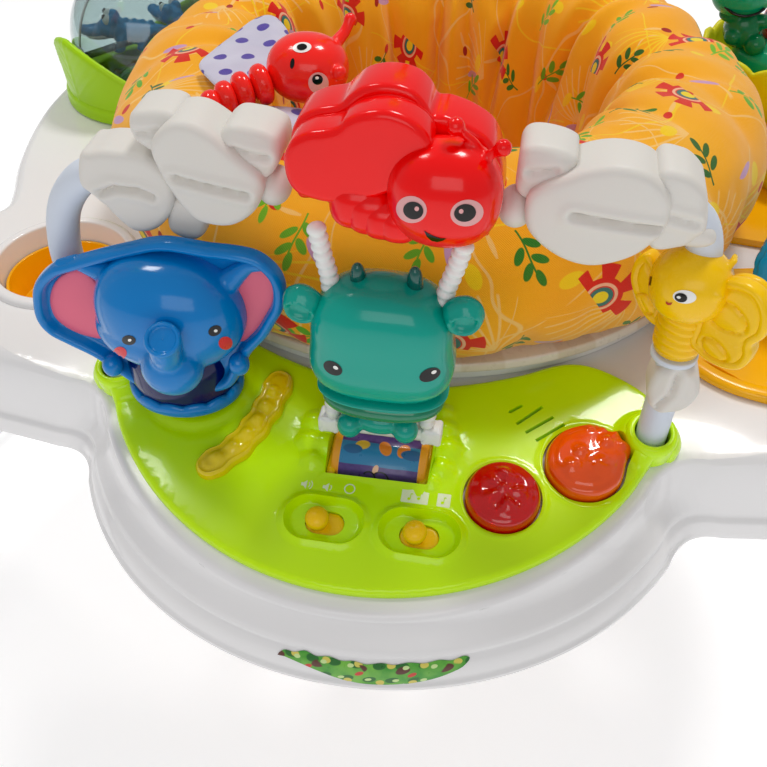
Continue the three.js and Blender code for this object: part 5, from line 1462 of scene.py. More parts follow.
for nm, pts in (("left", [[-119.6, 70.4], [-114.6, 69.4], [-110.5, 62.6], [-108.5, 53.1], [-107.1, 45.2], [-108.0, 36.2], [-116.9, 34.2], [-127.3, 36.2], [-134.2, 41.9], [-135.4, 49.7], [-132.9, 57.8], [-127.4, 65.4]]), ("right", [[-52.1, 80.3], [-45.4, 84.8], [-40.4, 83.4], [-37.0, 78.6], [-36.2, 71.4], [-37.6, 63.4], [-41.4, 55.8], [-47.2, 47.6], [-54.0, 42.6], [-59.4, 52.5], [-58.9, 68.7], [-55.0, 77.6]])):
    v, f = plate(ccw(smooth_closed(pts, 110)), [], 1.2, lambda P, d: 14.2 + 0.9 * (1 - np.exp(-d / 3)) - fillet(d, 0.6), lambda P, d: np.full(len(P), 11.5), rings=(0.2, 0.6))
    put(make(f"elephant_pink_{nm}", (upright_map(PANEL_Y)(v), f), M_PINK), "elephant", "elephant_blue")
ec = A(-79.5, -195, TRAY_Z + 59.5)
eh = fuse("elephant_head", [superball(ec, (30.6, 21.5, 25.2), 2.25, 72), ellipsoid(ec + A(-2, -2, -8), (30.2, 19.5, 17.5), 56), ellipsoid(ec + A(4.0, -17.8, -15.6), (12.6, 11.0, 12.2), 48), tube([ec + A(4.6, -20.5, -9), ec + A(5.8, -24.0, -2), ec + A(6.8, -25.6, 4.6)], [6.8, 6.2, 6.4], 28),
                           tube([ec + A(-24, 2, 12), ec + A(-31, 2.6, 13.5), ec + A(-38, 2.6, 15.6), ec + A(-46, 1.6, 13.6)], [5.6, 4.2, 3.2, 2.4], 20), tube([ec + A(24, 2, 14), ec + A(29, 2.6, 19), ec + A(34, 2.4, 23.4), ec + A(40, 1.6, 24.6)], [5.4, 4.0, 3.0, 2.4], 20)], M_BLUE, 0.8, 7)
put(eh, "elephant", "elephant_blue")
tip = ec + A(7.2, -26.6, 6.4)
v, f = lathe(round_profile([[0.4, -3.2], [6.0, -3.2], [7.1, 0.2], [6.9, 1.6], [6.2, 2.3], [5.4, 2.0], [4.9, 1.0], [0.02, 0.7]], 0.5), 40, tip, (0.10, -0.62, 0.78))
put(make("elephant_trunk_end", (v, f), M_BLUE), "elephant", "elephant_blue")
spot("elephant_eye_left", eh, 129.0, 340.0, oval(2.55, 1.85, -18), M_BLACK, "elephant", "elephant_blue", 0.2)
spot("elephant_glint_left", eh, 130.2, 339.6, oval(0.7, 0.55, 0, 14), M_EYEW, "elephant", "elephant_blue", 0.38, 0.35)
spot("elephant_eye_right", eh, 214.8, 330.6, oval(2.6, 1.9, 18), M_BLACK, "elephant", "elephant_blue", 0.2)
spot("elephant_glint_right", eh, 215.4, 330.4, oval(0.7, 0.55, 0, 14), M_EYEW, "elephant", "elephant_blue", 0.38, 0.35)
spot("elephant_cheek_left", eh, 120.0, 353.0, oval(2.6, 2.5, 0), M_CHEEK, "elephant", "elephant_blue", 0.16)
spot("elephant_cheek_right", eh, 225.4, 343.0, oval(2.65, 2.55, 0), M_CHEEK, "elephant", "elephant_blue", 0.16)
def squeezed(vf, c, k):
    v, f = vf
    return np.c_[c[0] + (v[:, 0] - c[0]), c[1] + (v[:, 1] - c[1]) * k, v[:, 2]], f
bc = A(-85.2, -183.5)
put(make("elephant_collar", squeezed(lathe(round_profile([[1, TRAY_Z + 7.5], [23.6, TRAY_Z + 9.5], [24.4, TRAY_Z + 15], [24.0, TRAY_Z + 25], [20.5, TRAY_Z + 36], [1, TRAY_Z + 40]], 2.4), 90, (*bc, 0)), bc, 0.84), M_NAVY), "elephant", "elephant_blue")
n = 180
th = np.linspace(0, 2 * math.pi, n, endpoint=False)
wv = 1.5 * np.abs(np.sin(th * 7)) ** 0.8
rows = []
for rr, zz in ((22.0, 3.8), (24.2, 4.0), (25.6, 5.4), (26.0, 7.4), (25.4, 9.4), (23.2, 10.4)):
    rows.append(np.c_[bc[0] + rr * np.cos(th), bc[1] + 0.84 * rr * np.sin(th), TRAY_Z + zz + (wv if zz > 8 else 0 * wv)])
put(make("elephant_hem", (np.vstack(rows), grid_faces(n, 6, True, True)), M_BLUE), "elephant", "elephant_blue")
put(make("elephant_base", squeezed(lathe(round_profile([[1, TRAY_Z + 3.4], [16.6, TRAY_Z + 3.4], [18.8, TRAY_Z + 7], [1, TRAY_Z + 9]], 1.0), 72, (*bc, 0)), bc, 0.84), plastic("elephant_base_teal", (0.02, 0.48, 0.50), 0.14, coat=0.4, var=0.06)), "elephant", "elephant_blue")
for k, c in enumerate(((-110.6, -198.0, 25.5), (-53.6, -197.6, 35.0))):
    put(make(f"elephant_hand_{k}", ellipsoid((c[0], c[1], TRAY_Z + c[2]), (4.4, 4.6, 5.4), 32), M_BLUE), "elephant", "elephant_blue")

# ---------------------------------------------------------------- butterfly on the right post
BF = A(119.4, -178)
WA = -35 * D2R
def wing_plane(v):
    """(along the wing, up, out of its face) to the row frame."""
    v = np.asarray(v, float)
    return np.c_[BF[0] + v[:, 0] * math.cos(WA) + v[:, 2] * math.sin(WA), BF[1] + v[:, 0] * math.sin(WA) - v[:, 2] * math.cos(WA), TRAY_Z + v[:, 1]]
bh = fuse("butterfly_head", [superball((117.0, -182.0, TRAY_Z + 88.0), (14.8, 14.2, 14.0), 2.2, 56), ellipsoid((124.0, -192.4, TRAY_Z + 92.0), 2.9, 24), tube([(126, -186, TRAY_Z + 97), (129, -183, TRAY_Z + 100), (130, -178, TRAY_Z + 99)], 1.2, 10)], M_BFLY, 0.7, 4)
stand(bh, "yellow_butterfly")
rings = [[7.0, 54], [9.4, 54.2]]
for k in range(6):
    z0 = 56 + 3.6 * k
    rings += [[9.7 + 0.10 * k, z0], [10.5 + 0.12 * k, z0 + 1.0], [10.5 + 0.12 * k, z0 + 2.4], [9.8 + 0.10 * k, z0 + 3.4]]
rings += [[7.0, 78]]
put(make("butterfly_body", lathe([[r * 0.92, TRAY_Z + z] for r, z in rings], 60, (*BF, 0)), M_BFLY), "butterfly", "butterfly_yellow")
RW = [[6.1, 80.7], [8.9, 91.1], [12.6, 96.4], [19.0, 98.6], [24.9, 97.5], [29.2, 93.1], [31.4, 87.4], [31.4, 81.4], [28.6, 76.0], [29.7, 72.1], [29.2, 67.4], [26.7, 63.3], [21.7, 61.0], [15.3, 60.4], [9.0, 62.3], [6.0, 65.4], [6.2, 72.9]]
RI1 = [[12.2, 79.2], [12.6, 86.1], [16.4, 89.0], [21.6, 87.2], [24.8, 83.6], [24.1, 79.4], [19.2, 77.6], [14.4, 77.6]]
RI2 = [[10.9, 69.4], [14.1, 71.4], [18.9, 69.9], [22.3, 66.6], [20.4, 63.6], [15.4, 63.4], [11.9, 65.5]]
LWG = [[-24.1, 84.1], [-21.0, 89.3], [-17.1, 88.6], [-10.6, 80.3], [-6.6, 72.9], [-7.7, 62.1], [-12.7, 61.6], [-18.3, 65.8], [-21.7, 70.7], [-24.4, 76.9]]
LI = [[-20.4, 70.2], [-16.2, 72.9], [-11.8, 69.9], [-11.7, 65.8], [-15.6, 64.8]]
def wing_piece(name, outline, insets, w0, w1):
    o = ccw(smooth_closed(outline, 150))
    ins = [ccw(smooth_closed(q, 60)) for q in insets]
    def fr(P, d):
        w = w1 - fillet(d, 1.6) - 0.6 * np.exp(-((d - 3.2) / 0.55) ** 2)
        for q in ins:
            s = sdf(P, q)
            w = w - 0.9 * np.exp(-((s - 0.2) / 0.55) ** 2) + 0.9 * (1 - np.exp(-np.maximum(s, 0) / 2.2)) * (s > 0)
        return w
    v, f = plate(o, [], 0.85, fr, lambda P, d: w0 + fillet(d, 1.2), rings=(0.1, 0.4, 0.9, 1.5, 2.4, 3.2, 4.0))
    w = make(name, (wing_plane(v), f), M_BFLY)
    return put(autosmooth(w, 60), "butterfly", "butterfly_yellow")
wing_piece("butterfly_wing_right", RW, [RI1, RI2], 0.6, 6.6)
wing_piece("butterfly_wing_right_back", offset(ccw(smooth_closed(RW, 60)), -0.9)[::4], [], -3.6, 0.3)
wing_piece("butterfly_wing_left", LWG, [LI], -3.0, 3.4)
spot("butterfly_eye", bh, 684.6, 296.8, oval(3.9, 2.3, 8), M_EYEW, "butterfly", "butterfly_yellow", 0.14)
spot("butterfly_pupil", bh, 681.0, 297.4, oval(2.1, 1.55, 0), M_BLACK, "butterfly", "butterfly_yellow", 0.3)
spot("butterfly_glint", bh, 679.0, 296.9, oval(0.7, 0.45, 0, 14), M_EYEW, "butterfly", "butterfly_yellow", 0.42, 0.3)
spot("butterfly_lash", bh, 650.6, 280.8, [(-0.5, 1.6), (0.25, 1.6), (0.5, -1.5), (-0.1, -1.8)], M_BLACK, "butterfly", "butterfly_yellow", 0.2, 0.3)
spot("butterfly_mouth", bh, 668.6, 303.0, [(-1.0, 0.5), (0.1, 0.1), (1.3, 0.6), (0.9, -0.4), (0, -0.7), (-0.8, -0.3)], plastic("butterfly_mouth_red", (0.72, 0.12, 0.05), 0.3), "butterfly", "butterfly_yellow", 0.2, 0.3)
put(make("post_collar_white", lathe(round_profile([[5.6, TRAY_Z + 50.0], [9.2, TRAY_Z + 50.0], [9.2, TRAY_Z + 52.6], [5.6, TRAY_Z + 52.6]], 0.8), 48, (*BF, 0)), M_POSTW), "tray", "leaf_white")

# ---------------------------------------------------------------- printed cloth
def L(r, g, b):
    return linear((r, g, b))


def print_cloth(name):
    M = Mat(name, (0.98, 0.60, 0.09), 0.82, sheen=0.25, spec=0.2)
    ux, uy, _ = M.xyz(M.uv)
    ux, uy = ux * 800, uy * 800           # millimetres over the cloth
    wob = M.noise(14, 2, 0.5, M.uv)
    wob2 = M.noise(11, 2, 0.5, M.uv, 0.4)

    def cell(size_x, size_y, seed, turn_by=2 * math.pi):
        fx, fy = (ux / size_x).floor(), (uy / size_y).floor()
        comb = M.t.nodes.new("ShaderNodeCombineXYZ")
        M.t.links.new(fx.s, comb.inputs[0])
        M.t.links.new(fy.s, comb.inputs[1])
        comb.inputs[2].default_value = seed
        w = M.t.nodes.new("ShaderNodeTexWhiteNoise")
        w.noise_dimensions = "3D"
        M.t.links.new(comb.outputs[0], w.inputs["Vector"])
        sep = M.t.nodes.new("ShaderNodeSeparateXYZ")
        M.t.links.new(w.outputs["Color"], sep.inputs[0])
        r1, r2, r3 = [E(o) for o in sep.outputs]
        lx = (ux / size_x - fx - 0.5) * size_x - (r1 - 0.5) * size_x * 0.34
        ly = (uy / size_y - fy - 0.5) * size_y - (r2 - 0.5) * size_y * 0.34
        a = r3 * turn_by
        c, q = a.cos(), a.sin()
        return lx * c + ly * q, ly * c - lx * q, r1, r2, r3

    def oval_at(x, y, cx, cy, rx, ry, tilt=0.0, soft=0.14):
        c, q = math.cos(tilt), math.sin(tilt)
        dx, dy = x - cx, y - cy
        return soft_lt(hyp((dx * c + dy * q) / rx, (dy * c - dx * q) / ry), 1.0, soft)

    base = M.mix(M.ramp(wob, (0.3, 0), (0.7, 1)), L(1.0, 0.68, 0.05), L(1.0, 0.72, 0.11))
    c = base
    cream, yellow = L(1.0, 0.80, 0.45), L(1.0, 0.82, 0.12)
    # curved vines
    for k, (kx, ky, per, amp, w) in enumerate(((1, 0.16, 46.0, 9.0, 0.45), (0.34, 1, 58.0, 11.0, 0.42), (0.8, -0.62, 71.0, 12.0, 0.42))):
        t = ux * kx + uy * ky + (wob - 0.5) * 46 + ((uy * kx - ux * ky) / (9.0 + 2 * k)).sin() * amp * 0.35
        q = ((t / per) - (t / per + 0.5).floor()).abs() * per
        gate = M.ramp(M.noise(26 + 5 * k, 1, 0.5, M.uv), (0.36, 0), (0.42, 1))
        c = M.mix(soft_lt(q, w, 0.3) * gate, c, cream if k != 1 else yellow)
    # fans of fine ribs
    for seed, col in ((3.0, cream), (4.0, yellow)):
        x, y, r1, r2, r3 = cell(50 if seed == 3 else 66.6667, 62 if seed == 3 else 71, seed)
        rr = hyp(x, y + 12)
        ang = E.math("ARCTAN2", x + rr * rr * 0.006 * (r1 - 0.5) * 2, y + 12)
        lines = (ang * 7 / 1.5)
        q = (lines - (lines + 0.5).floor()).abs() * rr * 0.214
        m = soft_lt(q, 0.42, 0.25) * soft_lt(rr, 27, 1.0) * ang.abs().lt(0.85) * r2.gt(0.35)
        c = M.mix(m, c, col)
    # yellow and lilac ovals
    x, y, r1, r2, r3 = cell(32, 34, 11)
    c = M.mix(oval_at(x, y, 0, 0, 4.4, 2.6) * r2.gt(0.35), c, L(1.0, 0.84, 0.05))
    x, y, r1, r2, r3 = cell(40, 37, 12)
    c = M.mix(oval_at(x, y, 0, 0, 5.4, 1.7) * r1.gt(0.3), c, L(0.80, 0.62, 0.78))
    # berries on stalks
    x, y, r1, r2, r3 = cell(25, 27, 13)
    stalk = soft_lt(x.abs() + (y * 0.35).sin() * 0.5, 0.35, 0.25) * y.lt(0) * y.gt(-9)
    c = M.mix(stalk * r2.gt(0.42), c, cream)
    c = M.mix(oval_at(x, y, 0, 1.2, 1.6, 2.5) * r2.gt(0.42), c, M.mix(r1.gt(0.6), L(0.86, 0.12, 0.06), L(0.66, 0.05, 0.03)))
    # sprigs
    for seed, col1, col2, sx, sy in ((21, L(0.09, 0.50, 0.13), L(0.36, 0.70, 0.14), 42.10526, 44), (22, L(0.44, 0.76, 0.10), L(0.06, 0.42, 0.16), 53.3333, 49)):
        x, y, r1, r2, r3 = cell(sx, sy, seed)
        m = soft_lt((x - (y * 0.3).sin() * 0.5).abs(), 0.32, 0.2) * y.abs().lt(8)
        for cx, cy, t in ((2.6, 4.6, 0.8), (-2.6, 2.8, -0.8), (2.8, -0.6, 0.75), (-2.7, -2.6, -0.75), (0, 8.2, 1.57)):
            m = m.max(oval_at(x, y, cx, cy, 3.0, 1.35, t))
        c = M.mix(m * r2.gt(0.2), c, M.mix(r1.gt(0.5), col1, col2))
    # fringed half flowers: red rays, teal ring, yellow heart
    for seed, sx, sy, cut in ((31, 66.6667, 60, 0.24), (32, 80, 83, 0.3)):
        x, y, r1, r2, r3 = cell(sx, sy, seed)
        gate = r2.gt(cut) * y.gt(-2.0)
        rr = hyp(x, y)
        ang = E.math("ARCTAN2", x, y)
        rays = ((ang * 6.5).sin() * 0.5 + 0.5).gt(0.34)
        red = soft_lt(rr, 12.2, 0.3) * (rays.max(rr.lt(7.6)))
        c = M.mix(red * gate, c, L(0.88, 0.10, 0.05))
        c = M.mix(soft_lt((rr - 5.2).abs(), 0.55, 0.2) * gate, c, L(0.98, 0.75, 0.60))
        c = M.mix(soft_lt(rr, 4.2, 0.25) * gate, c, L(0.10, 0.47, 0.45))
        c = M.mix(soft_lt(rr, 2.6, 0.25) * gate, c, L(0.97, 0.86, 0.10))
    # wear and threads
    c = M.mix(M.ramp(M.noise(8, 3, 0.5, M.uv), (0.35, 0.10), (0.7, 0.0)), c, L(0.80, 0.42, 0.04))
    M.color(c)
    k = 2 * math.pi / 0.8
    h = ((ux * k).sin() * (uy * k).sin()) * 0.5 + 0.5
    M.rough(M.ramp(M.noise(420, 3, 0.5, M.uv), (0.3, 0.74), (0.7, 0.94)))
    M.bump(h * 0.5 + M.noise(60, 4, 0.55, M.uv) * 1.4, 0.32, 0.0011)
    return M.m


M_SEAT = print_cloth("seat_print")
NU = 160 if QUICK else 280
PROF = [(147, 13.7), (154, 13.9), (161, 15.0), (166, 21), (169.5, 33), (170, 46), (167, 59), (160.5, 72), (151, 82), (138, 89), (123, 91.6), (108, 89.5), (97, 82), (90, 68), (87, 50), (85.5, 28), (84, 0), (81, -35), (76, -72), (70, -102), (60, -126), (46, -142), (28, -152), (10, -156.5), (1.2, -157)]
pf = resample(smooth_open(PROF, 400), 52 if QUICK else 96, False)
ss = np.r_[0, np.cumsum(np.linalg.norm(np.diff(pf, axis=0), axis=1))]
tn = np.gradient(pf, axis=0)
tn /= np.linalg.norm(tn, axis=1)[:, None]
nr = np.c_[tn[:, 1], -tn[:, 0]]              # outward in (r, z)
TH, SS = np.meshgrid(np.linspace(0, 2 * math.pi, NU, endpoint=False), ss)
# creases across the roll, from where the cloth is gathered over the foam: angle, width, depth, slant, where along the cut, spread
CREASE = [(96, 5.5, 9, 0.10, 185, 60), (84, 6.5, 7.5, -0.16, 190, 55), (71, 5.0, 9, 0.12, 175, 60), (58, 7, 7, -0.1, 180, 50), (44, 5.5, 8, 0.2, 170, 60), (30, 7, 6, -0.14, 178, 55),
          (12, 6.5, 7, 0.10, 172, 50), (-8, 7, 5, -0.1, 150, 60), (-24, 6, 6, 0.24, 168, 50), (-47, 7, 4, 0.1, 172, 40), (-66, 8, 4, -0.2, 176, 40), (-100, 7, 4.5, 0.14, 176, 40), (-126, 7, 5, -0.1, 172, 46),
          (-150, 6.5, 6, 0.2, 170, 50), (-171, 6, 7, -0.12, 176, 55), (165, 6, 6.5, 0.12, 176, 55), (148, 6.5, 7.5, -0.14, 178, 55), (131, 5.5, 8, 0.16, 182, 55), (113, 6, 7.5, -0.1, 186, 55),
          (63, 9, 6, 0.5, 110, 40), (88, 9, 5, -0.5, 105, 36), (120, 10, 4.5, 0.5, 108, 36), (20, 9, 5, -0.5, 100, 36), (-15, 9, 4.5, 0.4, 96, 36), (-35, 10, 3.6, -0.3, 84, 36), (-140, 10, 4.0, 0.4, 90, 36), (170, 10, 4.5, -0.4, 100, 36)]
disp = np.zeros_like(TH)
for ang, w, dep, slant, s0, spread in CREASE:
    a = (TH - ang * D2R + math.pi) % (2 * math.pi) - math.pi
    q = a * 130 - slant * (SS - s0)
    disp -= dep * np.exp(-np.abs(q / w) ** 1.35) * np.exp(-((SS - s0) / spread) ** 2)
    disp += 0.34 * dep * (np.exp(-((q - 1.9 * w) / (1.2 * w)) ** 2) + np.exp(-((q + 1.9 * w) / (1.2 * w)) ** 2)) * np.exp(-((SS - s0) / (spread * 1.1)) ** 2)
disp += 1.5 * np.sin(3 * TH + 0.7) * np.sin(SS / 46 + 1) + 1.2 * np.sin(7 * TH + SS / 37) + 0.7 * np.sin(13 * TH - SS / 23 + 2) + 0.35 * np.sin(29 * TH + SS / 15)
# gathers along the lower edge
gat = np.exp(-(SS / 16) ** 2)
disp += gat * 0.8 * np.sin(54 * TH + 2.0 * np.sin(5 * TH))
held = ramp01(SS, 0, 20) * (1 - ramp01(SS, 250, 330))
bulge = 5.0 * np.exp(-((SS - 70) / 40) ** 2) * (0.25 + 0.75 * np.exp(-(((TH - (-38) * D2R + math.pi) % (2 * math.pi) - math.pi) / 0.8) ** 2)) - 2.5
R = pf[:, 0][:, None] + nr[:, 0][:, None] * (disp * (0.12 + 0.88 * held) + bulge * held)
Z = pf[:, 1][:, None] + nr[:, 1][:, None] * (disp * (0.12 + 0.88 * held) + bulge * held)
Z = np.maximum(Z, np.where(R > 141, 13.7, -999))
sv = np.c_[(R * np.cos(TH)).ravel(), (R * np.sin(TH)).ravel(), (TRAY_Z + Z).ravel()]
sf = [t for t in grid_faces(NU, len(pf), True, False)]
# leg holes through the lower bucket
LEG = [A(42, -6, TRAY_Z - 158), A(-42, -6, TRAY_Z - 158)]
LR = A(26, 36, 40)
def in_leg(P):
    return np.minimum(*[(((P - c) / LR) ** 2).sum(1) for c in LEG])
cen = np.array([sv[list(t)].mean(0) for t in sf])
sf = [t for t, g in zip(sf, in_leg(cen)) if g > 1.0]
seat = make("seat_cover", (sv, sf), M_SEAT)
uvl = seat.data.uv_layers.new(name="cloth")
cols = np.array([v % NU for p in seat.data.polygons for v in p.vertices]).reshape(-1, 4)
rows_ = np.array([v // NU for p in seat.data.polygons for v in p.vertices]).reshape(-1, 4)
cc = np.where((cols.max(1) - cols.min(1))[:, None] > 2, np.where(cols == 0, NU, cols), cols)
uvs = np.c_[(cc / NU).ravel(), (ss[rows_] / 1000).ravel()]
uvl.data.foreach_set("uv", uvs.ravel().astype(np.float32))
def simulate(ob, pin, frames=18, pressure=4.0, shrink=-0.05, cap=12.0, quality=3, mass=0.25, thick=0.4, seed_push=None):
    """Cloth under slight inner pressure, held where pin is 1; the result is applied and no point moves more than cap."""
    before = np.array([v.co for v in ob.data.vertices])
    g = ob.vertex_groups.new(name="held")
    for i, w in enumerate(pin):
        if w > 0.01:
            g.add([i], float(w), "REPLACE")
    m = ob.modifiers.new("cloth", "CLOTH")
    c = m.settings
    c.quality = quality
    c.mass = mass
    c.tension_stiffness = c.compression_stiffness = 12
    c.shear_stiffness = 6
    c.bending_stiffness = 0.35
    c.vertex_group_mass = "held"
    c.use_pressure = True
    c.uniform_pressure_force = pressure
    c.shrink_min = shrink
    c.effector_weights.gravity = 0
    m.collision_settings.use_collision = False
    m.point_cache.frame_start, m.point_cache.frame_end = 1, frames
    for f_ in range(1, frames + 1):
        scene.frame_set(f_)
    dg = bpy.context.evaluated_depsgraph_get()
    ev = ob.evaluated_get(dg)
    after = np.array([v.co for v in ev.data.vertices])
    ob.modifiers.remove(m)
    ob.vertex_groups.clear()
    scene.frame_set(1)
    d = after - before
    if not np.isfinite(d).all():
        return
    k = np.linalg.norm(d, axis=1)
    d *= np.minimum(1, cap * MM / np.maximum(k, 1e-9))[:, None]
    ob.data.vertices.foreach_set("co", (before + d).ravel())
    ob.data.update()
    print("cloth moved", ob.name, round(float(k.max() * 1000), 1), "mm at most", round(float(k.mean() * 1000), 2), "mm on average")


if not QUICK:
    # the roll stays slim behind the swinging hippo
    P_ = np.array([v.co for v in seat.data.vertices]) / MM
    slim = np.exp(-(np.abs(P_[:, 0] - 7) / 50) ** 4) * (1 - ramp01(P_[:, 1], -125, -85))
    simulate(seat, np.maximum(1 - ramp01(SS.ravel(), 6, 26), ramp01(SS.ravel(), 215, 300)), pressure=3.2, shrink=-0.035, cap=9.0 - 8.6 * slim)
th_ = seat.modifiers.new("cloth_thickness", "SOLIDIFY")
th_.thickness, th_.offset = 0.0022, -1.0
sd = seat.modifiers.new("finer", "SUBSURF")
sd.levels = sd.render_levels = 1
bake(seat)
stand(seat, "seat_pad")
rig.padded(seat, fill=0.8)
# bound edges of the leg holes
M_BIND = weave("seat_binding", (0.93, 0.50, 0.06), 0.0011, 0.06)
edges = {}
for t in sf:
    for i in range(4):
        e = (t[i], t[(i + 1) % 4])
        edges[e] = 1
bound = [e for e in edges if (e[1], e[0]) not in edges and sv[e[0]][2] < TRAY_Z - 60]
nxt = {}
for a_, b_ in bound:
    nxt.setdefault(a_, []).append(b_)
seen_, k = set(), 0
for a_ in list(nxt):
    if a_ in seen_:
        continue
    loop_, cur = [], a_
    while cur in nxt and cur not in seen_:
        seen_.add(cur)
        loop_.append(cur)
        cur = nxt[cur][0]
    if len(loop_) > 20:
        lp_ = sv[loop_]
        for _ in range(6):
            lp_ = 0.25 * np.roll(lp_, 1, 0) + 0.5 * lp_ + 0.25 * np.roll(lp_, -1, 0)
        lp_ = np.vstack([lp_, lp_[:1]])
        put(make(f"leg_hole_binding_{k}", tube(lp_, 3.6, 10, caps=True), M_BIND), "seat", "seat_fabric")
        k += 1

# seat ring: pale plastic with alternating darker bands, painted shade and reflection as seen under the cloth's edge
MR = Mat("seat_ring_patches", (0.90, 0.86, 0.80), 0.3, coat=0.2)
x, y, z = MR.xyz()
ang = E.math("ARCTAN2", y, x) * (22 / (2 * math.pi))
saw = ang - ang.floor()
# 22 alternating darker bands round the ring: painted shade and reflection, not the plastic's own colour
MR.color(MR.mix(soft_lt((saw - 0.5).abs(), 0.22, 0.03), MR.mix(MR.ramp(MR.noise(30, 3), (0.3, 0), (0.7, 1)), L(0.90, 0.87, 0.83), L(0.93, 0.91, 0.88)), L(0.87, 0.83, 0.77)))
MR.rough(MR.ramp(MR.noise(240, 4), (0.3, 0.22), (0.7, 0.42)))
MR.bump(MR.noise(300, 2), 0.05, 0.0005)
stand(make("seat_ring_smooth", lathe(round_profile([[143, TRAY_Z - 18], [149.6, TRAY_Z - 18], [149.9, TRAY_Z + 6.9], [161.6, TRAY_Z + 7.2], [160.6, TRAY_Z + 11.8], [144, TRAY_Z + 12.2]], 1.2), 160), MR.m), "seat_ring")

# ---------------------------------------------------------------- bug with cloth wings
bg = [superball((-48.8, -78.0, TRAY_Z + 108.5), (18.6, 16.4, 14.8), 2.2, 56), tube([(-39, -68, TRAY_Z + 115), (-35, -62, TRAY_Z + 119), (-33, -59, TRAY_Z + 123)], [3.2, 2.6, 2.4], 16), ellipsoid((-33, -58.5, TRAY_Z + 123.6), 3.0, 20), ellipsoid((-32.0, -88, TRAY_Z + 112), 3.4, 20)]
bh_ = fuse("bug_head", bg, M_BUG, 0.7, 4)
stand(bh_, "bug_toy")
beads = []
for k, (x, y, z, r) in enumerate(((-67.6, -90.0, 104.5, 9.4), (-75.0, -94.6, 103.0, 8.8), (-81.4, -99.6, 101.4, 8.0), (-86.6, -104.4, 100.0, 7.0))):
    v, f = lathe([[0.01, -4.6], [r * 0.62, -4.2], [r * 0.92, -2.4], [r, 0.4], [r * 0.95, 2.6], [r * 0.72, 4.2], [0.01, 4.8]], 40, (x, y, TRAY_Z + z), (0.82, 0.56, 0.12), closed=False)
    beads.append((v, f))
bb = make("bug_beads", join(*beads), M_BUG)
sb_ = bb.modifiers.new("round", "SUBSURF")
sb_.levels = sb_.render_levels = 1
bake(bb)
put(bb, "tray" if BODY["bug_toy"] == "tray" else BODY["bug_toy"], "bug_red")
BB = BODY["bug_toy"]
spot("bug_eye_near", bh_, 318.4, 83.0, oval(4.4, 4.4, 0), M_EYEP, BB, "bug_red", 0.18)
spot("bug_pupil_near", bh_, 317.4, 79.4, oval(2.3, 2.1, 0), M_BLACK, BB, "bug_red", 0.34)
spot("bug_glint_near", bh_, 317.0, 77.6, oval(0.8, 0.6, 0, 14), M_EYEW, BB, "bug_red", 0.46, 0.3)
spot("bug_eye_far", bh_, 302.2, 47.6, oval(4.0, 2.1, 4), M_EYEW, BB, "bug_red", 0.18)
spot("bug_pupil_far", bh_, 302.0, 47.4, oval(2.2, 1.3, 4), M_BLACK, BB, "bug_red", 0.34)
spot("bug_mouth", bh_, 292.4, 63.6, oval(0.9, 2.2, -14, 20), M_BLACK, BB, "bug_red", 0.2, 0.4)
MW = Mat("wing_cloth_dots", (0.80, 0.79, 0.86), 0.85, sheen=0.4, spec=0.2)
x, y, z = MW.xyz()
px_, py_ = x * 1000 / 14.0, y * 1000 / 14.0
sh = (py_ + 0.5).floor()
qx = px_ + sh * 0.5
fx, fy = qx - (qx + 0.5).floor(), py_ - (py_ + 0.5).floor()
MW.color(MW.mix(soft_lt(hyp(fx, fy), 0.23, 0.03), MW.mix(MW.ramp(MW.noise(40, 3), (0.3, 0), (0.7, 1)), L(0.78, 0.77, 0.85), L(0.84, 0.83, 0.90)), L(0.27, 0.18, 0.62)))
k_ = 2 * math.pi / 0.9
MW.rough(MW.ramp(MW.noise(400, 3), (0.3, 0.75), (0.7, 0.95)))
MW.bump((x * 1000 * k_).sin() * (y * 1000 * k_).sin() * 0.5 + MW.noise(90, 3) * 1.2, 0.3, 0.0009)
def cloth_wing(name, outline, z, lift, tip):
    o = ccw(smooth_closed(outline, 110))
    c = o.mean(0)
    t = A(*tip)
    def top(P, d):
        return z + lift * ramp01(((P - c) @ t), -20, 40) + 2.6 * np.sqrt(np.clip(d / 9, 0, 1)) + 0.6 * np.sin(P[:, 0] / 4.0 + P[:, 1] / 6.5) * (1 - np.exp(-d / 4)) + 0.35 * np.sin(P[:, 1] / 2.6)* (1 - np.exp(-d / 4))
    def bot(P, d):
        return z + lift * ramp01(((P - c) @ t), -20, 40) - 0.7 * np.sqrt(np.clip(d / 9, 0, 1)) - 0.3
    v, f = plate(o, [], 2.0, lambda P, d: top(P, d), bot, rings=(0.4, 1.4, 3.0))
    w = make(name, (v + A(0, 0, TRAY_Z), f), MW.m)
    if not QUICK:
        simulate(w, np.zeros(len(w.data.vertices)) + np.array([0.0] * len(w.data.vertices)), frames=8, pressure=1.0, shrink=-0.02, cap=1.6, mass=0.2)
    w.data.shade_smooth()
    return w
WA_ = [[-106.8, -60.6], [-103.8, -46.0], [-98.1, -32.2], [-93.2, -18.2], [-86.7, -12.0], [-79.8, -14.9], [-70.2, -30.5], [-64.4, -50.9], [-62.3, -66.6], [-72.3, -80.0], [-88.3, -82.0], [-98.2, -73.5]]
wA = cloth_wing("bug_wing_upper", WA_, 97.6, 5.0, (0.2, 0.98))
stand(wA, "bug_wings")
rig.padded(wA, fill=0.35)
wB = cloth_wing("bug_wing_lower", [[-72.1, -96.8], [-62.7, -93.2], [-48.7, -92.6], [-41.9, -100.4], [-49.3, -113.3], [-61.7, -117.2], [-72, -110]], 95.6, 0.0, (0, -1))
put(wB, BODY["bug_wings"], SLOT["bug_wings"])
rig.padded(wB, fill=0.35)

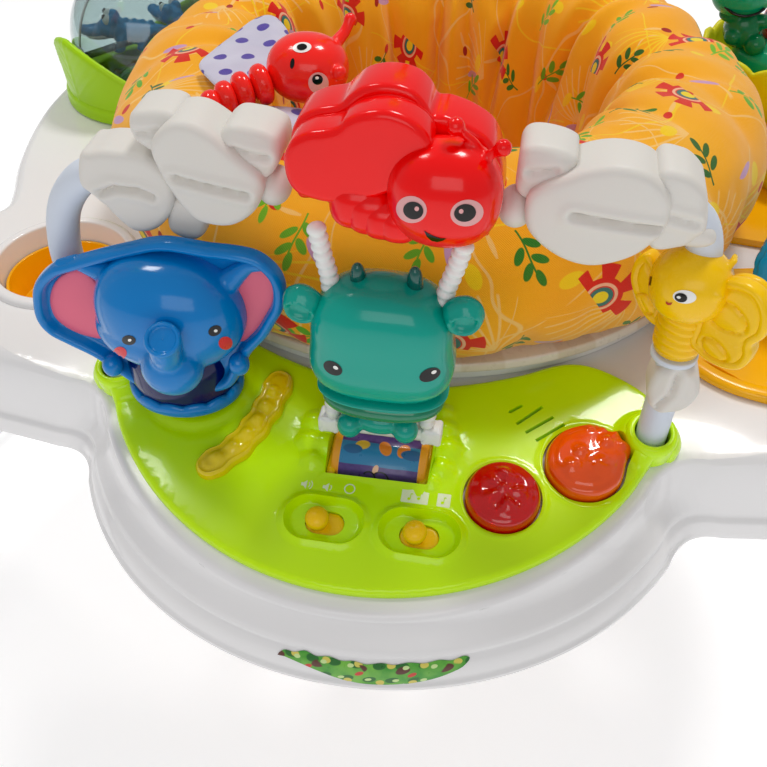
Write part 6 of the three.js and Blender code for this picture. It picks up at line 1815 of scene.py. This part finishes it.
# ---------------------------------------------------------------- ball, crocodiles, cradle
BC = A(-207, 104, 436)
AX = A(0.6, 0.8, 0)
PX = A(0.8, -0.6, 0)
def sphere_shell(c, r, n=96):
    return ellipsoid(c, r, n)
vo, fo = sphere_shell(BC, 50)
vi, fi = sphere_shell(BC, 48.4)
shell = make("ball_shell", join((vo, fo), (vi, [t[::-1] for t in fi])), M_SHELL)
stand(shell, "clear_ball")
put(make("ball_seam_band", lathe(round_profile([[48.6, -0.9], [50.4, -0.9], [50.4, 0.9], [48.6, 0.9]], 0.4), 128, BC, PX), clear("ball_seam_clear", (0.85, 0.9, 0.9), 0.08, trans=0.7)), "ball", "clear_shell")
put(make("ball_axle_rod", rod(BC - AX * 57.5, BC + AX * 57.5, 2.3, 24), clear("ball_axle_clear", (0.80, 0.86, 0.86), 0.08, trans=0.8)), "ball", "clear_shell")
for s in (-1, 1):
    put(make("ball_hub_a" if s < 0 else "ball_hub_b", lathe(round_profile([[2.4, 0], [7, 0], [6.4, 3], [2.4, 3]], 0.8), 40, BC + AX * s * 49.4, AX * s), clear(f"ball_hub_clear_{s + 1}", (0.80, 0.86, 0.86), 0.1, trans=0.6)), "ball", "clear_shell")
def croc(name, c, fwd_, scale=1.0, first=False):
    fwd_ = np.array(fwd_, float)
    fwd_ /= np.linalg.norm(fwd_)
    side = np.cross((0, 0, 1), fwd_)
    side /= np.linalg.norm(side)
    up_ = np.cross(fwd_, side)
    B = np.stack([fwd_, side, up_])
    def P(x, y, z):
        return A(x, y, z) * scale @ B + c
    def el(x, y, z, r):
        v, f = ellipsoid((0, 0, 0), A(*r) * scale, 28)
        return (v @ B + P(x, y, z), f)
    parts = [el(10, 0, 4, (9.5, 8.6, 6.6)), el(20, 0, 2.4, (9.5, 6.0, 3.8)), el(27, 0, 3.0, (3.4, 4.4, 3.2)), el(-4, 0, 0, (13, 8.8, 7.2)), el(9, 4.6, 9, (4.2, 3.6, 4.2)), el(9, -4.6, 9, (4.2, 3.6, 4.2)),
             tube([P(-12, 0, 0), P(-20, 2, 1), P(-27, 5, 3)], A(5.2, 3.6, 1.2) * scale, 18)]
    for x, y in ((5, 8), (5, -8), (-10, 8), (-10, -8)):
        parts += [tube([P(x, y * 0.6, -1), P(x + 1, y, -6)], [3.4 * scale, 2.9 * scale], 14), el(x + 2.4, y, -7, (4.2, 2.8, 2.4))]
    for x in (1, -4, -9, -14):
        parts.append(el(x, 0, 7.4 + x * 0.15, (2.1, 1.4, 2.2)))
    ob = fuse(name, parts, M_CROC, 0.8 * scale, 3)
    for s_ in (1, -1):
        put(make(f"{name}_eye_{s_ + 1}", el(11.8, 4.8 * s_, 10.2, (3.0, 3.0, 3.2)), M_EYEW), "ball", "croc_blue")
        put(make(f"{name}_pupil_{s_ + 1}", el(13.4, 5.0 * s_, 11.8, (1.6, 1.5, 1.9)), M_BLACK), "ball", "croc_blue")
        put(make(f"{name}_belly_{s_ + 1}", el(18, 0.6 * s_, -0.6, (8.8, 4.8, 2.4)), M_EYEW), "ball", "croc_blue") if s_ > 0 else None
    return ob
c1 = croc("crocodile_near", BC + A(-10, -6, 4), (-0.93, -0.34, 0.02), 1.05)
stand(c1, "crocodiles")
c2 = croc("crocodile_far", BC + A(20, 12, 4), (-0.85, 0.35, 0.10), 0.95)
put(c2, "ball", "croc_blue")
put(make("ball_inner_leaf", ellipsoid(BC + A(4, -2, -30), (30, 24, 9), 40), clear("ball_inner_leaf_clear", (0.35, 0.70, 0.25), 0.2, trans=0.4)), "ball", "croc_blue")
cr = [lathe(round_profile([[40.8, 0.4], [60.6, 0.4], [60.2, 8], [58, 10.8], [43, 10.8]], 2.0), 120, (BC[0], BC[1], TRAY_Z))]
cradle = make("cradle_base", cr[0], M_CRADLE)
stand(cradle, "ball_cradle" if "ball_cradle" in SLOT else [n for n in SLOT if "cradle" in n][0])
CB = BODY[[n for n in SLOT if "cradle" in n][0]]
CS = SLOT[[n for n in SLOT if "cradle" in n][0]]
a0 = math.atan2(AX[1], AX[0])
for s, nm in ((1, "rear"), (-1, "front")):
    nphi, nz = 90, 34
    ph = np.linspace(-1.02, 1.02, nphi)
    tip_ = 50.5 - 31 * (np.abs(ph) / 1.02) ** 1.5
    V_, wall = [], []
    for layer in (0, 1):
        for j in range(nz):
            t = j / (nz - 1)
            z_ = 4 + (tip_ - 4) * t
            edge = np.minimum((tip_ - z_) / 3.2, 1)
            ed2 = np.minimum((1.02 - np.abs(ph)) * 50 / 3.2, 1)
            k = np.sqrt(np.clip(np.minimum(edge, ed2), 0, 1))
            vein = 0.7 * np.exp(-(ph * 50 / 0.9) ** 2)
            for b_ in range(-5, 6):
                if b_:
                    vein = vein + 0.5 * np.exp(-(((np.abs(ph) * 50 - (z_ - 4 - abs(b_) * 7.5) * 0.9)) / 0.8) ** 2) * (np.abs(ph) > 0.02) * (np.sign(b_) > 0)
            rr = (58.2 + 2.6 * t if layer == 0 else 53.6 + 2.0 * t) + (k - 1) * (2.2 if layer == 0 else -2.2) + (vein if layer == 0 else -vein * 0.7)
            a = a0 + (0 if s > 0 else math.pi) + ph
            V_.append(np.c_[BC[0] + rr * np.cos(a), BC[1] + rr * np.sin(a), TRAY_Z + z_])
    V_ = np.vstack(V_)
    F_ = []
    N1 = nphi * nz
    for j in range(nz - 1):
        for i in range(nphi - 1):
            a_, b_, c_, d_ = j * nphi + i, j * nphi + i + 1, (j + 1) * nphi + i + 1, (j + 1) * nphi + i
            F_.append((a_, b_, c_, d_))
            F_.append((N1 + d_, N1 + c_, N1 + b_, N1 + a_))
    for i in range(nphi - 1):
        t_ = (nz - 1) * nphi
        F_.append((t_ + i, t_ + i + 1, N1 + t_ + i + 1, N1 + t_ + i))
        F_.append((i + 1, i, N1 + i, N1 + i + 1))
    for j in range(nz - 1):
        F_.append((j * nphi, (j + 1) * nphi, N1 + (j + 1) * nphi, N1 + j * nphi))
        e_ = nphi - 1
        F_.append(((j + 1) * nphi + e_, j * nphi + e_, N1 + j * nphi + e_, N1 + (j + 1) * nphi + e_))
    w = fix_normals(make(f"cradle_leaf_{nm}", (V_, F_), M_CRADLE))
    put(w, CB, CS)

# ---------------------------------------------------------------- pot, frog, flower, wheel, yellow plate
POT, FLW, WHL, WAX = A(203, 148), A(206, 44), A(196, -80, TRAY_Z + 33), A(0.373, 0.928, 0)
def scalloped(name, c, prof_out, prof_in, top_z, n, petals, amp, mat, body, slot, node=None, bumps_=0.0):
    """A cup whose rim rises and falls in petals."""
    th = np.linspace(0, 2 * math.pi, n, endpoint=False)
    rows = []
    wave = amp * (np.abs(np.cos(th * petals / 2)) ** 0.7 - 0.5)
    z_hi = max(z for _, z in prof_out)
    for r, z in prof_out + prof_in[::-1]:
        lift = wave * ramp01(np.full(n, float(z)), z_hi * 0.35, z_hi)
        rr = r + bumps_ * np.sin(th * 17 + z * 0.9) * np.sin(th * 9 - z * 0.5) * (1 if z > 8 else 0)
        rows.append(np.c_[c[0] + rr * np.cos(th), c[1] + rr * np.sin(th), TRAY_Z + z + lift])
    ob = make(name, (np.vstack(rows), grid_faces(n, len(rows), True, True)), mat)
    if node:
        stand(ob, node)
    else:
        put(ob, body, slot)
    return ob
po = [(float(r), float(z)) for r, z in resample(A([26, 0.5], [30.5, 1.2], [33.5, 8], [37.5, 16], [41.5, 25], [44.6, 33], [46.2, 39], [46.0, 41.4], [44.6, 42.0]), 26, False)]
pi_ = [(float(r), float(z)) for r, z in resample(A([1.0, 3.0], [28.5, 3.4], [31.0, 10], [36, 20], [40, 31], [42.6, 40.6]), 22, False)]
scalloped("leaf_pot_wall", POT, po, pi_, 42, 240, 11, 5.0, M_POT, None, None, "leaf_pot", 0.35)
M_STR = Mat("tiger_stripes", (0.88, 0.14, 0.04), 0.16, coat=0.4)
x, y, z = M_STR.xyz()
u_ = (x * 1000 * 0.8 + y * 1000 * 0.6) + (M_STR.noise(60, 2) - 0.5) * 9 + (z * 1000 * 0.22).sin() * 2
q_ = u_ / 7.5
M_STR.color(M_STR.mix(soft_lt((q_ - (q_ + 0.5).floor()).abs(), 0.2, 0.04), M_STR.mix(M_STR.ramp(M_STR.noise(30, 2), (0.3, 0), (0.7, 1)), L(0.86, 0.10, 0.03), L(0.93, 0.25, 0.04)), L(0.04, 0.02, 0.02)))
M_STR.rough(M_STR.ramp(M_STR.noise(240, 4), (0.3, 0.14), (0.7, 0.28)))
M_STR.bump(M_STR.noise(500, 2), 0.06, 0.0005)
M_STR = M_STR.m
M_FROGD = plastic("frog_dark_green", (0.0, 0.46, 0.27), 0.16, coat=0.4, var=0.08)
def at(c, x, y, z):
    return A(c[0] + x, c[1] + y, TRAY_Z + z)
drum_ = make("pot_turning_drum", lathe(round_profile([[1, 8], [22, 9], [26, 14], [26.4, 26], [26, 38], [22, 44], [1, 45]], 2.5), 72, (POT[0], POT[1], TRAY_Z), closed=True), M_FROG)
stand(drum_, "pot_spinner")
fb = fuse("frog_body", [superball(at(POT, -25, -4, 53), (11.5, 11.5, 12.5), 2.2, 40), ellipsoid(at(POT, -17, -15, 47), 6.6, 28), ellipsoid(at(POT, -31, -12, 50), 5.4, 28), ellipsoid(at(POT, -34, -7, 62), (8, 6, 5), 28), ellipsoid(at(POT, -15, -8, 59), (7, 5, 4.5), 28)], M_FROGD, 0.8, 4)
put(fb, "frog_spinner", "frog_green")
fh = fuse("frog_head", [superball(at(POT, -31, -5, 75), (18.2, 16.4, 14.2), 2.2, 56), ellipsoid(at(POT, -42, -8, 88), 5.8, 28), ellipsoid(at(POT, -21, -9, 88.5), 5.8, 28)], M_FROG, 0.8, 4)
put(fh, "frog_spinner", "frog_green")
for k, x in enumerate((-42.4, -20.6)):
    put(make(f"frog_eye_{k}", ellipsoid(at(POT, x, -12.4, 89), 3.9, 28), M_EYEW), "frog_spinner", "frog_green")
    put(make(f"frog_pupil_{k}", ellipsoid(at(POT, x, -14.8, 89.6), 2.2, 20), M_BLACK), "frog_spinner", "frog_green")
sm = smooth_open([at(POT, -42, -16.6, 70.5), at(POT, -36, -20.6, 67.6), at(POT, -29, -21.6, 66.8), at(POT, -22, -20.0, 68.2), at(POT, -18, -17.4, 70.5)], 30)
put(make("frog_mouth", tube(sm, 0.9, 10), M_BLACK), "frog_spinner", "frog_green")
put(fuse("striped_bump", [superball(at(POT, 3, 9, 53), (14.4, 14.0, 14.6), 2.2, 48), ellipsoid(at(POT, 4, 9, 40), (11, 11, 12), 32)], M_STR, 0.8, 4), "frog_spinner", "frog_green")
fo_ = [(float(r), float(z)) for r, z in resample(A([16, 0.5], [18, 4.8], [21.6, 10], [23.6, 18], [24.6, 26]), 16, False)]
fi_ = [(float(r), float(z)) for r, z in resample(A([1, 3.4], [14.8, 4.2], [18.4, 11], [20.6, 18], [22.0, 25.6]), 14, False)]
scalloped("flower_cup_wall", FLW, fo_, fi_, 26, 160, 8, 3.0, M_POT, None, None, "flower_cup", 0.25)
fl_ = [lathe(round_profile([[1, 8.5], [9, 9], [12, 16], [15.5, 21], [15.5, 25], [1, 28]], 1.6), 60, (FLW[0], FLW[1], TRAY_Z))]
fs = make("flower_hub", fl_[0], M_FLOWER)
stand(fs, "flower_spinner")
FB = BODY["flower_spinner"]
for k in range(8):
    a = 2 * math.pi * k / 8
    rot = Matrix.Rotation(a, 3, "Z") @ Matrix.Rotation(-0.35, 3, "Y")
    v, f = ellipsoid((0, 0, 0), (6.6, 4.6, 2.2), 28, rot)
    put(make(f"flower_petal_{k}", (v + A(FLW[0] + 12.6 * math.cos(a), FLW[1] + 12.6 * math.sin(a), TRAY_Z + 24.5), f), M_FLOWER if k % 2 else M_KNOB), FB, "flower_orange")
put(make("flower_heart", ellipsoid((FLW[0], FLW[1], TRAY_Z + 30.5), (8.4, 8.4, 6.2), 36), M_BUG), FB, "flower_orange")

# wheel: a drum with ribs round it and shallow flats across it
pr = [[2.9, -17.0], [22.0, -17.0], [24.6, -16.2]]
for k in range(5):
    z0 = -14.8 + 6.2 * k
    pr += [[25.0, z0 - 0.6], [27.0, z0 + 0.4], [27.2, z0 + 2.2], [27.0, z0 + 4.0], [25.0, z0 + 5.0]]
pr += [[24.6, 16.4], [22.0, 17.0], [2.9, 17.0]]
v, f = lathe(round_profile(pr, 0.7, 3), 144, (0, 0, 0), (0, 0, 1))
a = np.arctan2(v[:, 1], v[:, 0])
r_ = np.hypot(v[:, 0], v[:, 1])
k = 1 - 0.018 * (np.abs(np.sin(a * 9)) ** 8) * (r_ > 20)
v = np.c_[v[:, 0] * k, v[:, 1] * k, v[:, 2]]
wheel = make("ribbed_wheel", (turn(v, WAX, WHL), f), M_WHEEL)
stand(wheel, "blue_wheel")
WB = BODY["blue_wheel"]
put(make("wheel_axle", rod(WHL - WAX * 26.4, WHL + WAX * 26.4, 2.8, 24), M_WHEEL), WB, "wheel_blue")
# yellow plate: its own solid with softened edges, a turned dish, and two cheeks
yp = frame["nodes"]["yellow_plate"]
yp.data.materials.clear()
yp.data.materials.append(M_YEL)
b = yp.modifiers.new("edge", "BEVEL")
b.width, b.segments, b.limit_method, b.angle_limit = 0.0011, 3, "ANGLE", 40 * D2R
DC = A(176, -98)
dv, df = lathe(round_profile([[44.4, 0.5], [48.6, 0.6], [48.9, 3.6], [47.4, 5.2], [44.6, 5.6], [41.8, 5.0], [40.6, 4.0], [41, 0.5]], 1.2), 144, (DC[0], DC[1], TRAY_Z))
put(make("dish_rim", (dv, df), M_YEL), "tray", "plate_yellow")
for s in (-1, 1):
    t = A(-WAX[1], WAX[0], 0)
    c = WHL + WAX * 21.6 * s
    o = smooth_closed([(-12, 0.6), (-12.6, 14), (-10.5, 26), (-5, 36), (0, 38.6), (5, 36), (10.5, 26), (12.6, 14), (12, 0.6), (0, -0.2)], 72)
    v, f = plate(ccw(o), [], 2.2, lambda P, d: 2.7 - fillet(d, 1.4), lambda P, d: -2.7 + fillet(d, 1.4), rings=(0.1, 0.4, 0.9))
    w = A(c[0], c[1], TRAY_Z) + np.outer(v[:, 0], t) + np.outer(v[:, 1], (0, 0, 1)) + np.outer(v[:, 2], WAX)
    put(make("wheel_cheek_front" if s < 0 else "wheel_cheek_rear", (w, f), M_YEL), "tray", "plate_yellow")
for k in range(3):
    a = (2 + 16 * k) * D2R
    put(make(f"plate_stud_{k}", lathe(round_profile([[0.5, 4.2], [5.2, 4.2], [4.4, 7.0], [0.5, 7.6]], 1.0), 36, (236 * math.cos(a), 236 * math.sin(a), TRAY_Z)), M_YEL), "tray", "plate_yellow")

# ---------------------------------------------------------------- printed patch on the front wall: leaves and round shapes
M_STK = Mat("leaf_patch_print", (0.25, 0.62, 0.16), 0.3, coat=0.3)
x, y, z = M_STK.xyz()
x, y, z = x * 1000, y * 1000, z * 1000
c = M_STK.mix(M_STK.ramp(M_STK.noise(120, 3), (0.35, 0), (0.65, 1)), L(0.22, 0.60, 0.14), L(0.46, 0.74, 0.24))
for k, (sx, sz, col, rx, rz, ph) in enumerate(((9.0, 6.5, L(0.08, 0.42, 0.10), 2.6, 1.5, 0.0), (13.0, 8.0, L(0.85, 0.80, 0.35), 1.7, 1.2, 3.3), (17.0, 9.0, L(0.36, 0.17, 0.10), 2.7, 1.7, 6.1), (21.0, 7.5, L(0.82, 0.22, 0.14), 1.5, 1.1, 9.0), (11.0, 6.0, L(0.80, 0.90, 0.60), 1.3, 0.8, 4.4))):
    qx, qz = (x + ph + (z * 0.4).sin() * 2) / sx, (z + ph * 0.7) / sz
    fx, fz = (qx - (qx + 0.5).floor()) * sx, (qz - (qz + 0.5).floor()) * sz
    c = M_STK.mix(soft_lt(hyp(fx / rx, fz / rz), 1.0, 0.15) * M_STK.ramp(M_STK.noise(70 + 15 * k, 1), (0.42, 0), (0.46, 1)), c, col)
M_STK.color(c)
M_STK.rough(M_STK.ramp(M_STK.noise(300, 4), (0.3, 0.26), (0.7, 0.42)))
M_STK.bump(M_STK.noise(600, 2), 0.04, 0.0003)
M_STK = M_STK.m
so = [(-39, 4.2), (-36.0, 6.0), (-32, 5.0), (-27.5, 5.4), (-23, 3.2), (-18, 3.0), (-13, 1.2), (-8, 1.0), (-3, -0.4), (3, 0.0), (8, -0.8), (14, 0.0), (20, -0.4), (26, 0.8), (31, 0.6), (36, 2.2), (38.4, 1.4), (36.4, -1.2), (33, -3.2), (25, -6.0), (15, -7.8), (5, -8.4), (-6, -7.6), (-15, -5.2), (-23, -2.2), (-30, 0.8), (-36, 3.4)]
spot("leaf_patch", bpy.data.objects["tray_shell"], 374, 663, smooth_closed(so, 150), M_STK, "tray", "tray_white", 0.3, 1.6)

# ---------------------------------------------------------------- frame
M_WIRE = Mat("spring_wire", (0.66, 0.67, 0.69), 0.28, metallic=1.0)
M_WIRE.color(M_WIRE.mix(M_WIRE.ramp(M_WIRE.noise(90, 4), (0.3, 0), (0.7, 1)), L(0.60, 0.61, 0.63), L(0.74, 0.75, 0.76)))
M_WIRE.rough(M_WIRE.ramp(M_WIRE.noise(400, 4), (0.3, 0.22), (0.7, 0.42)))
M_WIRE.bump(M_WIRE.noise(900, 2), 0.08, 0.0003)
M_WIRE = M_WIRE.m

def ring_pt(deg, z=30):
    return A(455 * math.cos(deg * D2R), 392 * math.sin(deg * D2R), z)


HUBS = {"left": (174, 222), "rear": (66, 114), "right": (318, 366)}
LEGS = {"left": ([[-455, -3, 30], [-430, -22, 350], [-402, -44, 640], [-384, -60, 745], [-366, -82, 800], [-350, -118, 822]], [[-366, -233, 30], [-362, -217, 350], [-357, -196, 640], [-354, -178, 745], [-351, -155, 800]]),
        "rear": ([[-120, 378, 30], [-108, 372, 350], [-92, 352, 640], [-76, 334, 745], [-50, 322, 800], [0, 318, 822]], [[120, 378, 30], [108, 372, 350], [92, 352, 640], [76, 334, 745], [50, 322, 800]])}
LEGS["right"] = tuple([[-x, y, z] for x, y, z in l] for l in LEGS["left"])
HOUSE = {"left": (-343, -118, 50, 104), "right": (343, -118, 50, 104), "rear": (0, 311, 104, 50)}
SPR = {"left": (-336, -118), "right": (336, -118), "rear": (0, 304)}
nodes_ = frame["nodes"]
rails = [n for n in nodes_ if n.startswith("base_rail")]
for nm, (h0, h1) in HUBS.items():
    n = 56
    aa = np.linspace(h0, h1, n)
    e = np.minimum(np.arange(n), np.arange(n)[::-1]) / (n - 1) * (h1 - h0) * D2R * 420
    rr = 21 - 8.0 * (1 - np.sqrt(np.clip(e / 9, 0, 1)))
    parts = [tube([ring_pt(a) for a in aa], rr, 36)]
    for leg in LEGS[nm]:
        p, q = A(*leg[0]), A(*leg[1])
        d = (q - p) / np.linalg.norm(q - p)
        parts.append(tube([p, p + d * 40, p + d * 56, p + d * 61, p + d * 62.5], [19.5, 18.6, 18.4, 17.2, 15.0], 36))
    hub = fuse(f"hub_{nm}", parts, M_FRAMEP, 2.2, 7)
    stand(hub, f"base_hub_{nm}")
    fn = f"foot_{nm}"
    mid = (h0 + h1) / 2
    ob = nodes_[fn]
    ob.data.materials.clear()
    ob.data.materials.append(M_RUBBER)
    for k, leg in enumerate(LEGS[nm]):
        path = smooth_open(leg, 120)
        s_ = np.r_[0, np.cumsum(np.linalg.norm(np.diff(path, axis=0), axis=1))]
        path = path[s_ > 24]
        t_ob = make(f"upright_{nm}_{'ab'[k]}", tube(path, 12.5 if k == 0 else 12.3, 40), M_TUBE)
        if k == 0:
            stand(t_ob, f"upright_{nm}")
        else:
            put(t_ob, "frame", SLOT[f"upright_{nm}"])
        p, q = A(*leg[0]), A(*leg[1])
        d = (q - p) / np.linalg.norm(q - p)
        # spring button and a screw cap where each leg enters its hub
        out = A(p[0], p[1], 0) / np.linalg.norm(p[:2])
        bt = p + d * 72 + out * 11.4
        put(make(f"leg_button_{nm}_{k}", lathe(round_profile([[0.3, -1], [4.0, -1], [4.0, 1.6], [2.6, 2.8], [0.3, 3.0]], 0.7), 28, bt, out), M_WIRE), "frame", SLOT[f"upright_{nm}"])
        sc = p + d * 34 + out * 18.4
        put(make(f"screw_cap_{nm}_{k}", lathe(round_profile([[0.3, -1], [5.2, -1], [5.2, 0.9], [4.0, 1.5], [2.4, 1.5], [2.2, 0.4], [0.3, 0.4]], 0.4), 28, sc, out), M_UNDER), "frame", SLOT[f"base_hub_{nm}"])
    cx, cy, w, h = HOUSE[nm]
    def zc(d, r):
        return fillet(d, r)
    v, f = plate(roundrect(cx, cy, w + 10, h + 10, 20, 10), [], 4.5, lambda P, d: 851.5 - fillet(d, 20) * 0.95 + 1.2 * (1 - np.exp(-d / 8)), lambda P, d: 776.5 + fillet(d, 9), rings=(0.5, 2, 4.5, 8, 12, 16, 20))
    ho = make(f"housing_{nm}", (v, f), M_LIME)
    stand(ho, f"top_housing_{nm}")
    for zz in (806, 812):
        o = ccw(roundrect(cx, cy, w + 10.9, h + 10.9, 20.4, 10))
        loop_ = np.c_[o, np.full(len(o), zz)]
        put(make(f"housing_groove_{nm}_{zz}", tube(np.vstack([loop_, loop_[:1]]), 0.9, 8), M_LIME), "frame", SLOT[f"top_housing_{nm}"])
aa = np.linspace(264, 276, 40)
e = np.minimum(np.arange(40), np.arange(40)[::-1]) / 39 * 12 * D2R * 392
front_hub = make("hub_front", tube([ring_pt(a) for a in aa], 21 - 8.0 * (1 - np.sqrt(np.clip(e / 9, 0, 1))), 44), M_FRAMEP)
stand(front_hub, "base_hub_front")
# rails: round tubes between the hubs, in place of the faceted ones
def rail(name, node, a0_, a1_):
    p = [ring_pt(a) for a in np.linspace(a0_, a1_, 90)]
    stand(make(name, tube(p, 12.5, 40), M_TUBE), node)
centre = {}
for n in rails:
    lo, hi = [A(*q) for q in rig.box(n)]
    m = (lo + hi) / 2
    centre[n] = math.degrees(math.atan2(m[1] / 0.392, m[0] / 0.455)) % 360
spans = [(h["r"][0], h["r"][1]) for h in ({"r": (222, 318)}, {"r": (6, 66)}, {"r": (114, 174)})]
for n, ang_ in centre.items():
    best = min(spans, key=lambda s_: abs((sum(s_) / 2 - ang_ + 180) % 360 - 180))
    rail(n + "_tube", n, best[0] - 0.5, best[1] + 0.5)
# springs, covers, straps
for nm, (x0, y0) in SPR.items():
    t = np.linspace(0, 1, 13 * 22)
    a = t * 13 * 2 * math.pi
    hx = np.c_[x0 + 12.6 * np.cos(a), y0 + 12.6 * np.sin(a), 618 + 148 * t]
    sp = make(f"coil_{nm}", tube(hx, 1.7, 10), M_WIRE)
    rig.replaces(sp, f"spring_{nm}")
    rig.slot(sp, SLOT[f"spring_{nm}"])
    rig.blend(sp, "frame", "tray", start=(x0 / 1000, y0 / 1000, 0.768), end=(x0 / 1000, y0 / 1000, 0.62))
    nr_, nt_ = 150, 64
    zz = np.linspace(604.5, 764.5, nr_)
    tt = np.linspace(0, 2 * math.pi, nt_, endpoint=False)
    rows = []
    for z_ in zz:
        e_ = min(z_ - 604.5, 764.5 - z_)
        r0 = 20.8 + 1.2 * (1 - math.exp(-e_ / 6)) - 1.4 * math.exp(-e_ / 4)
        ph_ = 0.5 * np.sin(2 * tt + z_ / 31) + 0.35 * np.sin(5 * tt - z_ / 19 + x0)
        rows.append(np.c_[x0 + (r0 + 1.35 * np.sin(z_ / 2.55 + ph_ * 2.4) * (1 - math.exp(-e_ / 5)) + 0.35 * np.sin(9 * tt + z_ / 7)) * np.cos(tt), y0 + (r0 + 1.35 * np.sin(z_ / 2.55 + ph_ * 2.4) * (1 - math.exp(-e_ / 5)) + 0.35 * np.sin(9 * tt + z_ / 7)) * np.sin(tt), np.full(nt_, z_)])
    cv = make(f"spring_cover_cloth_{nm}", (np.vstack(rows), grid_faces(nt_, nr_, True, False)), M_COVER)
    area_ = sum(p.area for p in cv.data.polygons)
    wdt = 2 * math.pi * 0.0222
    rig.replaces(cv, f"spring_cover_{nm}")
    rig.slot(cv, SLOT[f"spring_cover_{nm}"])
    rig.blend(cv, "frame", "tray", start=(x0 / 1000, y0 / 1000, 0.765), end=(x0 / 1000, y0 / 1000, 0.605))
    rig.sheet(cv, flat=(wdt, area_ / wdt * 1.004), held="gathered", rests_on=[f"coil_{nm}"])
    # strap: woven tape with two stitched hems, an end fitting at the tray and one under the spring, and a steel hook
    ax = A(0, 1, 0) if nm != "rear" else A(1, 0, 0)
    no = A(1, 0, 0) if nm != "rear" else A(0, 1, 0)
    c0 = A(x0, y0, 0)
    zs = np.linspace(391, 598, 84)
    sec = ccw(roundrect(0, 0, 30, 2.6, 1.2, 4))
    rows = []
    for z_ in zs:
        sway = 0.7 * math.sin((z_ - 391) / 208 * math.pi) + 0.25 * math.sin(z_ / 17)
        rows.append(c0 + np.outer(sec[:, 0], ax) + np.outer(sec[:, 1] + sway, no) + A(0, 0, z_))
    ns = len(sec)
    V_ = np.vstack(rows)
    stp = make(f"strap_tape_{nm}", (V_, grid_faces(ns, len(zs), True, False)), M_STRAP)
    stand(fix_normals(stp), f"strap_{nm}")
    SB, SSL = BODY[f"strap_{nm}"], SLOT[f"strap_{nm}"]
    for tag, z0, z1, ww, dd in (("foot", 388.2, 396.2, 34, 9), ("top", 593.6, 605.2, 28, 9)):
        v, f = plate(roundrect(0, 0, ww, dd, 3.2, 5), [], 2.4, lambda P, d, q=z1: q - fillet(d, 1.4), lambda P, d, q=z0: q + fillet(d, 1.4), rings=(0.1, 0.4, 0.9))
        w_ = c0 + np.outer(v[:, 0], ax) + np.outer(v[:, 1], no) + np.outer(v[:, 2], (0, 0, 1))
        put(fix_normals(make(f"strap_{tag}_{nm}", (w_, f), M_FRAMEP)), SB, SSL)
    hk = smooth_open([c0 + A(0, 0, 603) + ax * -5, c0 + A(0, 0, 610) + ax * -5.5, c0 + A(0, 0, 613.4), c0 + A(0, 0, 610) + ax * 5.5, c0 + A(0, 0, 603) + ax * 5], 40)
    put(make(f"strap_hook_{nm}", tube(hk, 2.1, 16), M_WIRE), SB, SSL)
    for r_, z_ in ((0, 402), (1, 406), (2, 584), (3, 588)):
        st = [c0 + ax * q + no * 1.75 + A(0, 0, z_) for q in (-12, -6, 0, 6, 12)]
        put(make(f"strap_stitch_{nm}_{r_}", tube(smooth_open(st, 30), 0.5, 8), M_COVER), SB, SSL)

# ---------------------------------------------------------------- solids still shown, and the extents of the CAD and the visual model
shown = [n for n, o in frame["nodes"].items() if not o.hide_render]
print("solids still shown:", shown)
import json as _json
box2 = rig.bounds()
with open("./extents.json", "w") as fh_:
    _json.dump({"cad": [[float(q) for q in p] for p in CAD_BOX], "visual": [[float(q) for q in p] for p in box2]}, fh_)
